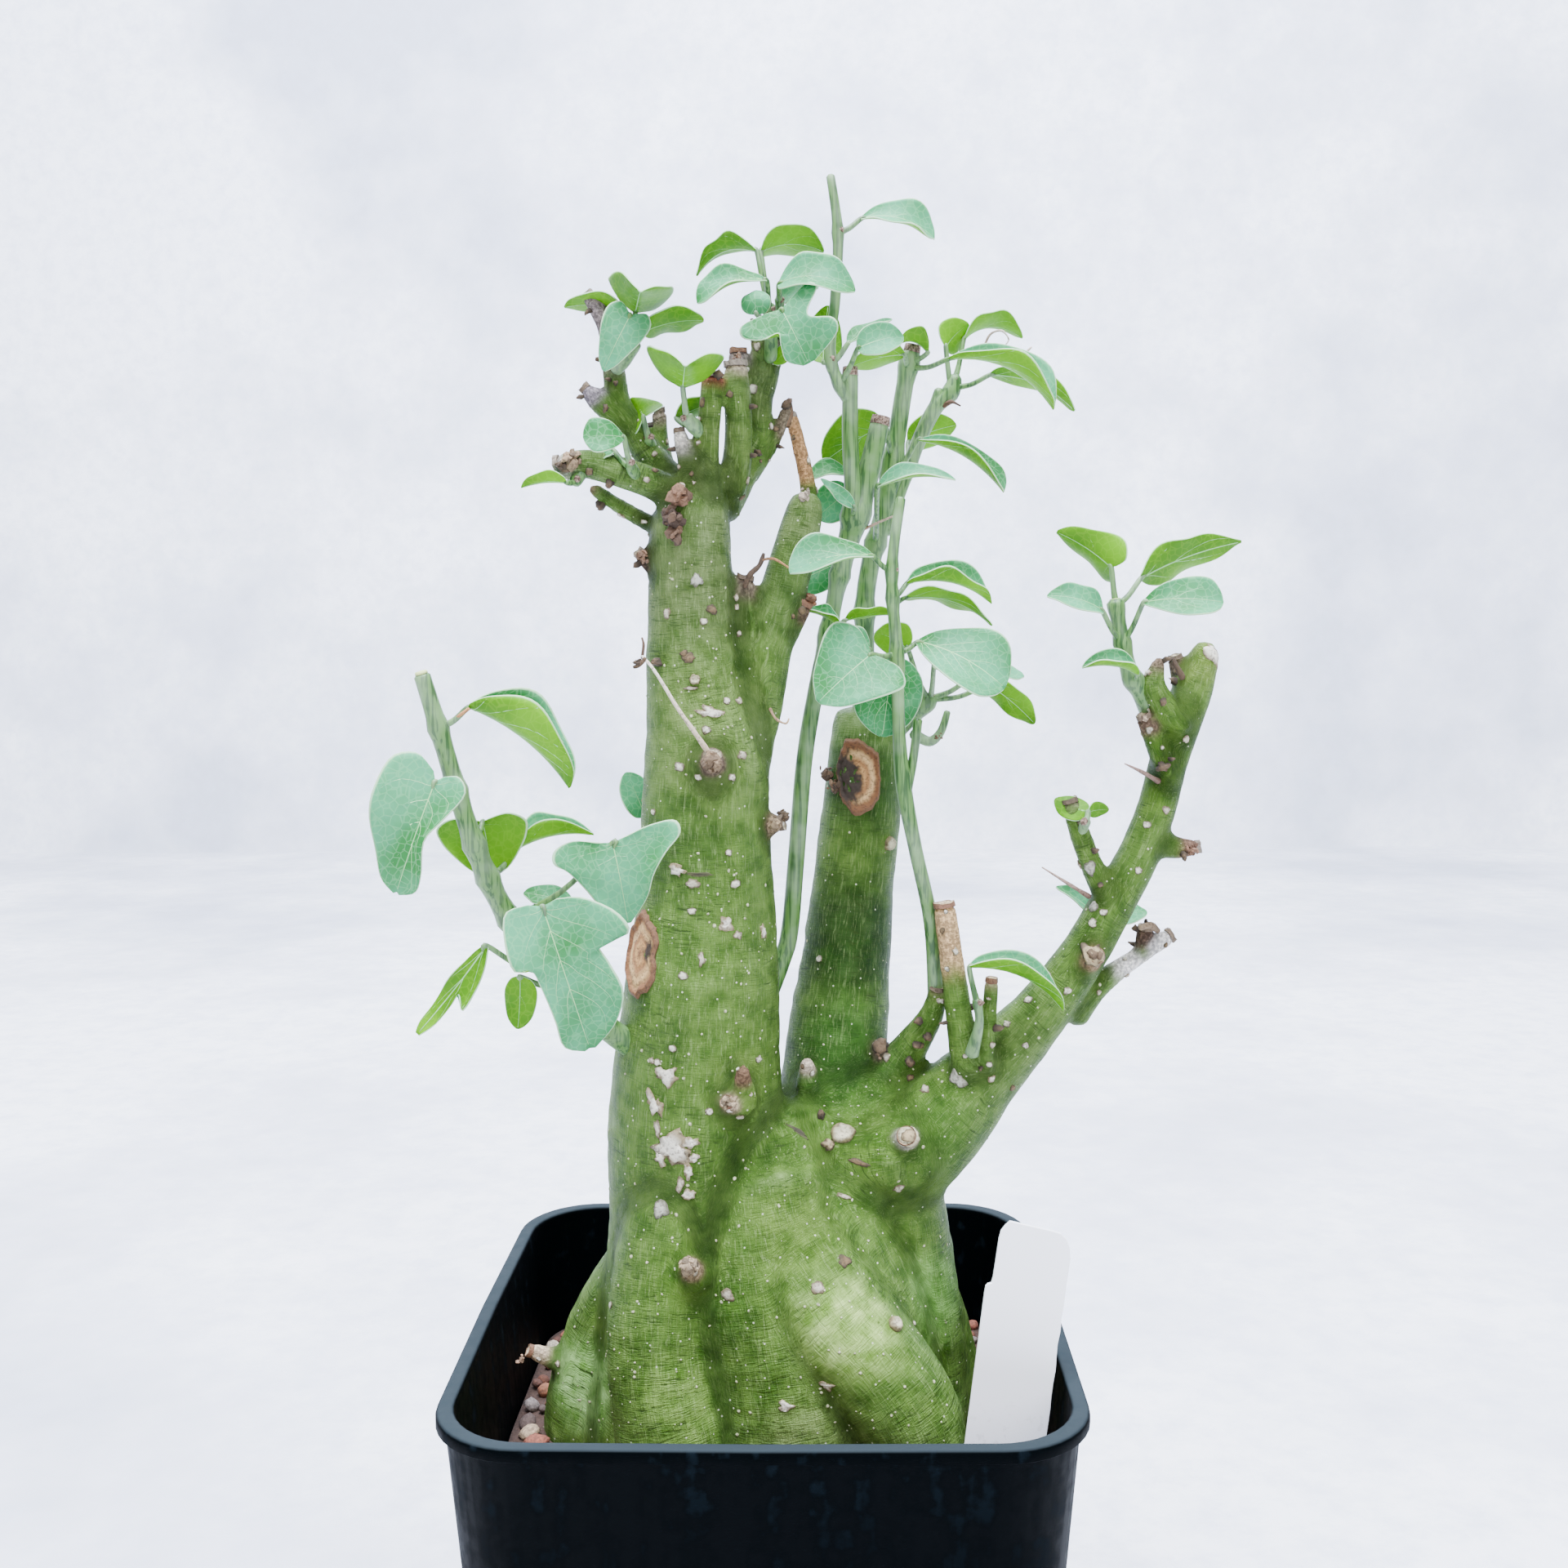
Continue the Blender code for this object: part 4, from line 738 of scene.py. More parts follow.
def make_bark():
    """Living bark that turns dry and rough where the wood is dead."""
    finish, tree, shader = new_finish("living green bark")
    run = add(tree, "Attribute", out="Vector", attribute_name="grain")
    # The vertex tint carries the wood's painted highlights and painted shade
    tint_with_painted_light = add(tree, "Attribute", attribute_name="tint")
    dead_of = add(tree, "Attribute", out="Fac", attribute_name="dead")
    place = add(tree, "TexCoord", out="Object")
    lengthways = add(tree, "Mapping", {"Vector": run, "Scale": (1 / FIBRE_WIDTH, 1 / FIBRE_WIDTH,
        1 / FIBRE_LENGTH)})
    fibres = add(tree, "TexNoise", {"Vector": lengthways, "Scale": 1, "Detail": 4, "Roughness": 0.6,
        "Distortion": 1.1})
    crossways = add(tree, "Mapping", {"Vector": run, "Scale": (1 / CRACK_LENGTH, 1 / CRACK_LENGTH,
        1 / CRACK_HEIGHT)})
    rings = add(tree, "TexNoise", {"Vector": crossways, "Scale": 1, "Detail": 3, "Roughness": 0.55,
        "Distortion": 1.3})
    specks = add(tree, "TexNoise", {"Vector": place, "Scale": 1 / SPECK_SIZE, "Detail": 2})
    living = living_green(tree, place, tint_with_painted_light, fibres, rings)
    grime = add(tree, "MapRange", {"Value": specks, "From Min": 0.42, "From Max": 0.66, "To Min": 0.55,
        "To Max": 1.25})
    dry = add(tree, "Mix", {0: 1.0, 6: tint_with_painted_light, 7: grime}, data_type="RGBA", blend_type="MULTIPLY")
    colour = add(tree, "Mix", {0: dead_of, 6: living, 7: dry}, data_type="RGBA")
    sheen = add(tree, "MapRange", {"Value": dead_of, "To Min": 0.48, "To Max": 0.9})
    ridges = add(tree, "Math", {0: fibres, 1: rings}, operation="ADD")
    rough = add(tree, "Math", {0: specks, 1: dead_of, 2: ridges}, operation="MULTIPLY_ADD")
    bump = add(tree, "Bump", {"Height": rough, "Distance": 0.5 * MM, "Strength": 1.0})
    fill(tree, shader, {"Base Color": colour, "Roughness": sheen, "Specular IOR Level": 0.12,
                        "Normal": bump})
    return finish


bark = make_bark()
dress(wood, bark, "trunk")
wood.name = "trunk_bark"
print("bark nodes:", len(bark.node_tree.nodes))

# %% [markdown]
# ## Scars on the bark
# A plant that is pruned for years keeps a mark for each lost shoot: corky scabs, crumbly knobs, dry buds
# and pale breathing pores. Each is a small closed lump that is draped over the bark. A flattened
# icosphere is laid on the skin, its edge is made ragged with noise, and every vertex is put at its own
# height above the nearest bark. The larger ones stand where the plant has them, and the pores are strewn
# from a seeded draw.

# %% Drape the scars
# What each kind is like: the colour inside, the colour at its edge, its height in mm and how ragged it is
KINDS = {
    "scab": ("#b3aa92", "#5f5339", 0.3, 0.6),
    "crust": ("#d6cfbb", "#7c6d4e", 0.4, 0.95),
    "dot": ("#cbc6ae", "#4f482e", 0.35, 0.35),
    "brown": ("#6b5638", "#3f3520", 0.4, 0.5),
    "knob": ("#a3906a", "#4c3d26", 1.6, 0.6),
    "bud": ("#5f4b34", "#33291b", 1.8, 0.6),
    "grey": ("#a6a593", "#5f5e49", 0.35, 0.6),
    "crack": ("#2e2a18", "#4a4c28", 0.06, 0.7),
    "ring": ("#bfb795", "#6f6440", 1.2, 0.25),
    "pore": ("#c3c69f", "#7f8655", 0.18, 0.3),
}
# Across, down, width and height in mm, and a turn in degrees where there is one
SCARS = {
    "grey": [(853, 710, 3, 3.2), (808, 1482, 3.2, 3.6), (1334, 1063, 2.8, 3.2), (1340, 1109, 2.5, 2.2),
        (1174, 1323, 3.4, 4.6, 38)],
    "brown": [(873, 747, 2.4, 2.2), (837, 800, 1.7, 1.5), (843, 806, 2.6, 2, 20),
        (1051, 1423, 4.8, 1.2, -20), (1035, 1544, 3.4, 2.6), (1240, 1332, 1.6, 1.5)],
    "scab": [(816, 751, 1.8, 2), (846, 843, 3, 0.8), (905, 858, 1.8, 1.6), (909, 924, 2.4, 2),
        (848, 1082, 3, 2.2, 10), (903, 1145, 2.2, 1.8), (859, 1174, 1.4, 3), (798, 1298, 1.6, 1.5),
        (805, 1382, 1.4, 3.4, 10), (833, 1450, 1.6, 3.4, -12), (906, 1368, 2, 1.8),
        (1101, 1455, 2.4, 2), (1034, 1465, 4, 1, -25), (891, 1586, 2.8, 2.4), (1002, 1577, 2.3, 2),
        (1133, 1333, 2.4, 2.2), (1428, 992, 1.6, 1.6), (1452, 905, 1.8, 1.8)],
    "dot": [(862, 761, 1.8, 1.6), (865, 894, 2, 1.8), (890, 858, 1.7, 1.6), (832, 939, 2.3, 2),
        (855, 952, 1.7, 1.5), (896, 952, 1.7, 1.6), (800, 994, 1.7, 1.6), (892, 1044, 1.7, 1.5),
        (901, 1082, 2.3, 1.8), (847, 1116, 2, 1.6), (836, 1195, 2.3, 1.8), (824, 1284, 1.8, 1.5),
        (1003, 1174, 1.7, 1.5), (805, 1301, 1.8, 1.6), (929, 1297, 2, 1.6), (868, 1361, 1.9, 1.6),
        (748, 1598, 1.8, 1.6), (1394, 1066, 1.8, 1.7), (1338, 1130, 2, 2), (1351, 1117, 1.8, 1.6),
        (1283, 1194, 1.8, 1.6), (1308, 1213, 2, 1.6), (1259, 1224, 2, 1.8), (1233, 1254, 1.8, 1.6),
        (1256, 1280, 1.7, 1.5), (1404, 1010, 1.8, 1.6)],
    "bud": [(806, 811, 2.4, 1.8), (1078, 1282, 3.8, 4.4, 10), (1006, 1367, 1.8, 2.2),
        (1338, 1170, 2.6, 2.6), (1113, 1299, 2, 2.4), (1135, 1268, 1.6, 1.6), (1424, 938, 2.4, 2.2)],
    "ring": [(851, 832, 2.2, 2.2), (1089, 1033, 3.4, 3.4), (1032, 1388, 5.4, 4.6), (1112, 1391, 6, 5.6),
        (1096, 1621, 3.6, 3.2)],
    "crust": [(867, 872, 5.3, 2.1, -8), (830, 1066, 4.6, 3, -15), (888, 1131, 3.2, 2.6, 30),
        (935, 1141, 2, 3.5), (815, 1317, 4.6, 3.6, -12), (802, 1353, 3.8, 5.2, 20),
        (825, 1406, 8.6, 6.2, -18), (808, 1418, 2.2, 3.4, 35), (846, 1400, 3, 2, 20),
        (850, 1418, 2.3, 1.8), (843, 1435, 1.8, 3, 10), (844, 1463, 2.8, 2.4), (841, 1548, 3, 3),
        (1012, 1696, 3, 2, 12), (962, 1722, 3, 2), (1486, 800, 3.2, 6.4, 30), (1479, 786, 2.6, 2.4)],
    "crack": [(857, 1071, 6.2, 0.9, -4), (978, 1386, 5.2, 1.1, -42)],
    "knob": [(1014, 1402, 2.8, 2.4), (1112, 1391, 3, 2.8), (1338, 1171, 6.2, 6)],
}
# Places in the picture where pores are strewn: across from and to, down from and to, how many
PORE_FIELDS = [
    (700, 1180, 1290, 1770, 210), (770, 950, 900, 1290, 50), (795, 900, 660, 900, 30),
    (1120, 1450, 850, 1400, 55), (985, 1095, 1000, 1330, 14), (650, 780, 1600, 1770, 32),
]
PORES_ROUND_THE_BACK = 260
SCAR_DETAIL = 3
PORE_RADIUS = (0.2, 0.58)
fate = random.Random(5)


def bark_hit(across, down):
    """Where the lens sees the bark at a pixel, and which way the bark faces there."""
    place, normal, _, _ = wood_tree.ray_cast(EYE, sight(across, down).normalized())
    return place, normal


def tinted_part():
    """An empty bmesh with a layer for the colour of each vertex."""
    part = bmesh.new()
    return part, part.verts.layers.float_color.new("tint")


def merged(body, part, slot=0, smooth=True):
    """Adds a finished bmesh to another, which is quicker than growing one large bmesh step by step."""
    for face in part.faces:
        face.material_index = slot
        face.smooth = smooth
    mesh = bpy.data.meshes.new("part")
    part.to_mesh(mesh)
    part.free()
    body.from_mesh(mesh)
    bpy.data.meshes.remove(mesh)


def drape(body, place, normal, size, kind, detail=SCAR_DETAIL, turn=0.0):
    """Lays one lump on the bark. Its size is half its width and half its height, in metres."""
    inside, edge, height, ragged = KINDS[kind]
    part, shade = tinted_part()
    if detail:
        made = bmesh.ops.create_icosphere(part, subdivisions=detail, radius=1)["verts"]
    else:
        made = bmesh.ops.create_uvsphere(part, u_segments=7, v_segments=4, radius=1)["verts"]
    up = (Vector((0, 0, 1)) - normal * normal.z).normalized()
    right = up.cross(normal)
    roll = Matrix.Rotation(math.radians(turn), 3, normal)
    up, right = roll @ up, roll @ right
    own = Vector((fate.uniform(-50, 50) for _ in range(3)))
    for vertex in made:
        flat = Vector((vertex.co.x, vertex.co.y, 0))
        rim = 1 + ragged * noise.fractal(flat * 1.3 + own, 1.0, 2.0, 3)
        out = place + (right * flat.x * size[0] + up * flat.y * size[1]) * rim
        skin, skin_normal, _, _ = wood_tree.find_nearest(out)
        rough = 1 + ragged * 0.8 * noise.noise(flat * 2.6 + own * 1.7)
        lift = height * MM * vertex.co.z * (rough if vertex.co.z > 0 else 0.4)
        if kind == "ring":
            lift *= 0.55 + 0.7 * soft_step(0.35, 0.75, flat.length)
        vertex.co = skin + skin_normal * lift
        share = float(soft_step(0.45, 0.95, flat.length + 0.3 * noise.noise(flat * 3 + own)))
        light = 1 + 0.25 * noise.noise(flat * 4 - own)
        colour = rgb(inside).lerp(rgb(edge), share) * light
        vertex[shade] = (*colour, 1.0)
    merged(body, part)


def strew_pores(body):
    """Pale pores: most of them are on the swollen base, and a few are all round."""
    for left, right, top, bottom, count in PORE_FIELDS:
        for _ in range(count):
            place, normal = bark_hit(fate.uniform(left, right), fate.uniform(top, bottom))
            if place is not None:
                add_pore(body, place, normal)
    corners = wood.data.vertices
    for _ in range(PORES_ROUND_THE_BACK):
        corner = corners[fate.randrange(len(corners))]
        if corner.normal.y > -0.2:
            add_pore(body, corner.co.copy(), corner.normal.copy())


def add_pore(body, place, normal):
    """One small pore of a random size and turn."""
    radius = fate.uniform(*PORE_RADIUS) ** 1.3 * MM
    drape(body, place, normal, (radius, radius * fate.uniform(0.7, 1.0)), "pore", 0, fate.uniform(0, 180))


def make_corky(name, bump_depth):
    """Dead cork: the colour is kept at the vertices, with fine dark pits and a rough, dry surface."""
    finish, tree, shader = new_finish(name)
    place = add(tree, "TexCoord", out="Object")
    own = add(tree, "Attribute", attribute_name="tint")
    pits = add(tree, "TexNoise", {"Vector": place, "Scale": 1800, "Detail": 4})
    share = add(tree, "MapRange", {"Value": pits, "From Min": 0.5, "From Max": 0.34, "To Max": 0.6})
    colour = add(tree, "Mix", {0: share, 6: own, 7: paint("#3a2a1c")}, data_type="RGBA")
    bump = add(tree, "Bump", {"Height": pits, "Distance": bump_depth, "Strength": 0.8})
    fill(tree, shader, {"Base Color": colour, "Roughness": 0.85, "Normal": bump})
    return finish


body = bmesh.new()
for kind, spots in SCARS.items():
    for scar_across, scar_down, width, height, *turn in spots:
        place, normal = bark_hit(scar_across, scar_down)
        if place is not None:
            drape(body, place, normal, (width * MM / 2, height * MM / 2), kind, SCAR_DETAIL, sum(turn))
strew_pores(body)
scars = new_piece("bark_scars", body)
dress(scars, make_corky("dry cork", 0.25 * MM))
print("faces of scars and pores:", len(scars.data.polygons))

# %% [markdown]
# ## Dry twigs, wounds and crumbly knobs
# Dead tendrils and thorns are thin tubes. A crumbly knob is what is left of a rotten twig: a handful of
# small angular lumps that sit on each other. The two large pruning wounds show bare wood: an oval patch
# with a raised rim of callus, growth rings in brown and tan, and, in the one on the stem behind, a rotten
# dark heart. They are draped like the scars, on finer spheres, and their colours come from the distance
# to the middle.

# %% Dry twigs and wounds
# Colour at the foot, colour at the tip, and the points: across, down, mm behind, radius in mm
DRY_TWIGS = [
    ("#b9a183", "#e6ddcb", [(868, 922, -21.5, 0.6), (850, 896, -22.5, 0.5), (829, 866, -22.5, 0.42),
                            (812, 838, -21.5, 0.38), (799, 818, -20.5, 0.34), (786, 803, -18.5, 0.34)]),
    ("#6b543c", "#4b3a28", [(790, 806, -19.5, 0.4), (783, 814, -19.5, 0.5), (776, 817, -19.5, 0.4)]),
    ("#4d3c2c", "#6d5240", [(786, 806, -18.5, 0.34), (788, 790, -18.5, 0.3), (786, 781, -18.5, 0.24)]),
    ("#5a4632", "#3f3226", [(912, 718, -7.3, 0.7), (918, 704, -8.3, 0.6), (930, 692, -8.3, 0.55),
                            (935, 678, -8.3, 0.4)]),
    ("#6a4c34", "#c08a55", [(932, 686, -8.3, 0.34), (946, 684, -9.3, 0.28), (958, 690, -9.3, 0.24),
                            (967, 696, -9.3, 0.18)]),
    ("#5a3f30", "#b59a86", [(1334, 1098, -5, 0.6), (1308, 1082, -6, 0.42), (1276, 1062, -7, 0.14)]),
    ("#5a3f30", "#a5897a", [(1419, 957, -7, 0.62), (1398, 945, -8, 0.42), (1377, 935, -9, 0.14)]),
    ("#7d6148", "#c9a57c", [(943, 868, -9.4, 0.32), (950, 880, -11.4, 0.28), (962, 886, -12.4, 0.24),
                            (966, 880, -12.4, 0.18)]),
    ("#8a5b42", "#c9b7a0", [(1054, 650, 8, 0.36), (1075, 640, 7, 0.3), (1097, 631, 6, 0.22)]),
    ("#8c6c54", "#e3dccb", [(1204, 428, 24, 0.34), (1212, 410, 23, 0.28), (1226, 405, 22, 0.24),
                            (1235, 415, 22, 0.2), (1230, 424, 22, 0.16)]),
    ("#8c6c54", "#d9cbb4", [(1250, 441, 24, 0.3), (1256, 432, 24, 0.26), (1263, 425, 24, 0.2)]),
    ("#6d4c36", "#3c2c20", [(1156, 497, 24, 0.6), (1165, 492, 22, 0.45), (1176, 497, 21, 0.2)]),
    ("#7e5a40", "#c98f58", [(548, 886, -44, 0.55), (560, 878, -45, 0.4), (574, 868, -46, 0.3)]),
    ("#5d4934", "#8f7a5e", [(1418, 1140, 2, 0.7), (1408, 1133, 0, 0.9), (1396, 1136, -1, 0.6)]),
    ("#5d4934", "#3d2e20", [(1448, 830, -5.5, 0.8), (1440, 815, -6.5, 0.6), (1436, 806, -6.5, 0.45)]),
    ("#7a5c40", "#4d382a", [(962, 520, 4, 0.6), (968, 505, 4, 0.7), (965, 490, 4, 0.45)]),
]
# Across, down, mm behind, radius in mm, number of crumbs, colour
KNOBS = [
    (872, 934, -22.5, 3.3, 36, "#6f5a42"), (835, 606, -14, 3.6, 30, "#6c4f3a"),
    (824, 634, -14.5, 3.4, 30, "#4f3a2a"), (827, 655, -15, 2.8, 20, "#5e4633"),
    (946, 1010, -11.5, 2.6, 20, "#7e6a4c"), (958, 1000, -8.5, 2.2, 14, "#5c4b36"),
    (787, 682, -11, 2, 14, "#7a5d46"), (892, 1348, -27.2, 2.4, 16, "#86745a"),
    (844, 1551, -31.3, 2.8, 40, "#8d7a5f"), (1460, 1040, -5.4, 2, 14, "#75553f"),
    (1404, 1135, 2.5, 2.4, 18, "#40332a"), (1078, 1290, 0, 2, 12, "#6c5440"),
    (700, 562, -15.5, 3, 24, "#7c664c"), (690, 572, -15.3, 2.2, 12, "#5e4a38"),
    (902, 438, -1.5, 1.8, 10, "#8a6c58"), (965, 494, 3.5, 1.6, 12, "#4c3a2c"),
    (780, 812, -19.5, 1.5, 12, "#4b3c2c"), (1150, 900, 16, 1.8, 14, "#6b5138"),
    (1112, 968, -9.5, 1.8, 12, "#7d5a44"), (1012, 946, 14.5, 2.8, 22, "#4e3a28"),
    (1022, 962, 12.8, 2.6, 20, "#5d4732"), (990, 735, -3.5, 2.8, 20, "#6b472c"),
    (638, 1664, -5, 1.6, 10, "#8a6c54"), (1400, 880, -9, 1.8, 12, "#a58e74"),
    (985, 606, -3, 2, 14, "#a0917c"),
]
# Across, down, mm behind, half width and half height in mm, turn in degrees, and the dark heart's place
# and share
WOUNDS = [
    (1041, 948, 2, 6.0, 8.2, 12, (-0.62, -0.05), 0.66),
    (770, 1168, -17, 6.0, 9.4, 4, (0.5, 0.1), 0.16),
]
RING_COLOURS = ["#6a4226", "#b98a52", "#8a5c34", "#cba36c", "#7a4f2c"]
WOUND_RIM = "#6b4a30"
WOUND_HEART = "#2e2218"
WOUND_DETAIL = 5
WOUND_RINGS = 5.0
# A crumb's size as a share of its knob's, how far it is stretched each way, and its brightness
CRUMB_SIZE = (0.16, 0.42)
CRUMB_STRETCH = (0.5, 1.4)
CRUMB_LIGHT = (0.45, 1.7)


def add_dry_twig(body, foot, tip, points):
    """A thin brittle tube whose colour runs from its foot to its tip."""
    part, shade = tinted_part()
    path = limb_path(points, 5)
    rough = [(place, radius * (1 + 0.3 * noise.noise(place / (1.1 * MM)))) for place, radius in path]
    rings = sweep(part, rough, 7)
    for i, ring in enumerate(rings):
        share = i / (len(rings) - 1)
        colour = rgb(foot).lerp(rgb(tip), share)
        for vertex in ring:
            vertex[shade] = (*colour, 1.0)
    merged(body, part)


def add_knob(body, middle, radius, crumbs, colour):
    """Crumbs of rotten bark in a ball."""
    for _ in range(crumbs):
        part, shade = tinted_part()
        size = radius * fate.uniform(*CRUMB_SIZE)
        way = Vector((fate.gauss(0, 1), fate.gauss(0, 1), fate.gauss(0, 1))).normalized()
        at = middle + way * (radius - size) * fate.uniform(0.3, 0.9)
        stretch = Matrix.Diagonal(Vector((fate.uniform(*CRUMB_STRETCH) for _ in range(3))))
        turn = Matrix.Rotation(fate.uniform(0, math.tau), 3, way)
        light = fate.uniform(*CRUMB_LIGHT)
        for vertex in bmesh.ops.create_icosphere(part, subdivisions=1, radius=size)["verts"]:
            jolt = 1 + 0.5 * noise.noise(vertex.co / size + at * 5000)
            vertex.co = turn @ stretch @ vertex.co * jolt + at
            vertex[shade] = (*(rgb(colour) * light), 1.0)
        merged(body, part, smooth=False)


def wound_colour(flat, heart, heart_share, own):
    """Rim, growth rings and rotten heart, from the place on the wound."""
    from_middle = flat.length
    ring_place = (from_middle + 0.12 * noise.noise(flat * 2 + own)) * WOUND_RINGS
    low = RING_COLOURS[int(ring_place) % len(RING_COLOURS)]
    high = RING_COLOURS[(int(ring_place) + 1) % len(RING_COLOURS)]
    colour = rgb(low).lerp(rgb(high), ring_place % 1)
    from_heart = (flat - Vector((*heart, 0))).length + 0.22 * noise.fractal(flat * 4 + own, 1.0, 2.0, 3)
    sound = float(soft_step(heart_share, heart_share + 0.2, from_heart))
    at_rim = float(soft_step(0.84, 0.96, from_middle))
    return rgb(WOUND_HEART).lerp(colour, sound).lerp(rgb(WOUND_RIM), at_rim)


def add_wound(body, spot, half_width, half_height, turn, heart, heart_share):
    """Bare wood where a limb was sawn off, with a raised rim. Its half sizes are in mm."""
    place, normal, _, _ = wood_tree.find_nearest(spot)
    part, shade = tinted_part()
    up = (Vector((0, 0, 1)) - normal * normal.z).normalized()
    roll = Matrix.Rotation(math.radians(turn), 3, normal)
    up, right = roll @ up, roll @ up.cross(normal)
    own = Vector((fate.uniform(-50, 50) for _ in range(3)))
    for vertex in bmesh.ops.create_icosphere(part, subdivisions=WOUND_DETAIL, radius=1)["verts"]:
        flat = Vector((vertex.co.x, vertex.co.y, 0))
        edge = 1 + 0.2 * noise.fractal(flat.normalized() * 1.9 + own, 1.0, 2.0, 3)
        out = place + (right * flat.x * half_width + up * flat.y * half_height) * edge * MM
        skin, skin_normal, _, _ = wood_tree.find_nearest(out)
        rim = 1 - abs(flat.length - 0.9) / 0.12
        from_heart = (flat - Vector((*heart, 0))).length
        rotten = 1 - float(soft_step(heart_share, heart_share + 0.25, from_heart))
        lift = 0.25 + 0.7 * max(rim, 0) + 0.08 * math.sin(flat.length * WOUND_RINGS * math.tau)
        lift += rotten * (0.5 * noise.fractal(flat * 6 + own, 1.0, 2.0, 3) - 0.1)
        vertex.co = skin + skin_normal * (lift * MM if vertex.co.z > 0 else -0.4 * MM)
        vertex[shade] = (*wound_colour(flat, heart, heart_share, own), 1.0)
    merged(body, part)


body = bmesh.new()
for foot_colour, tip_colour, points in DRY_TWIGS:
    add_dry_twig(body, foot_colour, tip_colour, points)
for knob_across, knob_down, behind, radius, crumbs, colour in KNOBS:
    add_knob(body, seen(knob_across, knob_down, behind), radius * MM, crumbs, colour)
for wound_across, wound_down, behind, *shape in WOUNDS:
    add_wound(body, seen(wound_across, wound_down, behind), *shape)
dry_wood = new_piece("dry_wood", body)
dress(dry_wood, make_corky("weathered dry wood", 0.3 * MM))
print("dry twigs:", len(DRY_TWIGS), "knobs:", len(KNOBS), "wounds:", len(WOUNDS), "faces:",
      len(dry_wood.data.polygons))

# %% [markdown]
# ## Cut ends and nodes
# Every stub ends in a cut, from the year it was pruned: a ragged brown rim of dead bark round paler wood
# with a pith in the middle. It is a short cone whose top face is inset twice and pushed in. Along the
# stubs sit the nodes, where leaves once grew: small dry buds and scales, laid on the bark with the same
# draping as the scars.

# %% Finish the stubs
CUT_SIDES = 18
CUT_DEPTH = 1.1 * MM
CUT_SINK = 0.35 * MM
CUT_RAGGED = 0.34 * MM
THINNEST_CUT = 1.2 * MM
CUT_COLOURS = [("#6d5c48", "#d2c6a6", "#96683c"), ("#7e7262", "#c9b998", "#755436"),
               ("#5b4c3a", "#b9ad90", "#64503a"), ("#75523a", "#cbb893", "#8c5f3a")]
NODE_KINDS = ["bud", "brown", "dot", "scab", "bud", "crust"]
NODE_PITCH = 3.4 * MM
THICKEST_STUB = 5.2 * MM


def add_cut_end(body, path, colours):
    """A cut across the end of a stub, with a raised and ragged rim."""
    place, radius = path[-1]
    ahead = (place - path[-2][0]).normalized()
    part, shade = tinted_part()
    bmesh.ops.create_cone(part, cap_ends=True, segments=CUT_SIDES, radius1=radius, radius2=radius * 0.96,
                          depth=CUT_DEPTH)
    top = max(part.faces, key=lambda face: face.calc_center_median().z)
    for thickness in (0.2, 0.38):
        bmesh.ops.inset_region(part, faces=[top], thickness=radius * thickness, depth=-CUT_SINK)
    turn = ahead.to_track_quat("Z", "Y").to_matrix().to_4x4()
    stand = Matrix.Translation(place + ahead * radius * 0.42) @ turn
    rim, wood_colour, pith = (rgb(code) for code in colours)
    for vertex in part.verts:
        out = math.hypot(vertex.co.x, vertex.co.y) / radius
        colour = rim if out > 0.9 else wood_colour if out > 0.6 else wood_colour.lerp(pith, 0.8)
        rough = noise.noise(vertex.co / (0.9 * MM) + place * 700)
        vertex.co.z += rough * CUT_RAGGED * (1 if out > 0.9 else 0.4)
        vertex[shade] = (*(colour * (1 + 0.5 * rough)), 1.0)
        vertex.co = stand @ (vertex.co * (1 + 0.08 * rough))
    merged(body, part, smooth=False)


def add_nodes(body, path):
    """Dry buds and scales along a stub, now on one side and now on the other."""
    run = 0.0
    for (low, _), (high, radius) in zip(path, path[1:]):
        run += (high - low).length
        if run < NODE_PITCH or radius > THICKEST_STUB:
            continue
        run = fate.uniform(-0.6, 0.3) * NODE_PITCH
        way = Vector((fate.gauss(0, 1), -abs(fate.gauss(0, 1)), fate.gauss(0, 0.4))).normalized()
        place, normal, _, _ = wood_tree.find_nearest(high + way * radius)
        size = fate.uniform(0.45, 0.95) * MM
        drape(body, place, normal, (size, size * fate.uniform(0.8, 1.3)), fate.choice(NODE_KINDS), 2)


body = bmesh.new()
for path in branch_paths:
    if path[-1][1] > THINNEST_CUT:
        add_cut_end(body, path, fate.choice(CUT_COLOURS))
    add_nodes(body, path)
cut_ends = new_piece("cut_ends", body)
dress(cut_ends, make_corky("dead bark and pith", 0.3 * MM))
print("faces of cut ends and nodes:", len(cut_ends.data.polygons))

# %% [markdown]
# ## Leaf outlines
# A leaf of this plant can be oval, heart-shaped or lobed, even on one shoot. An outline is a short list
# of points from the stalk to the tip: how far along the blade, and how far out, as shares of its length
# and half its width. Lopsided leaves have their left margin first. Each leafy stem is a list of twigs,
# and a list of leaves with the place of the stalk's foot, of the blade's base and of its tip. These are
# the solid model's values, and a smooth curve through the same outline gives the fine blade the same
# shape. There are two exceptions: two folded leaves of the crown are heart-shaped here, and the vine
# behind starts lower, in the wood.

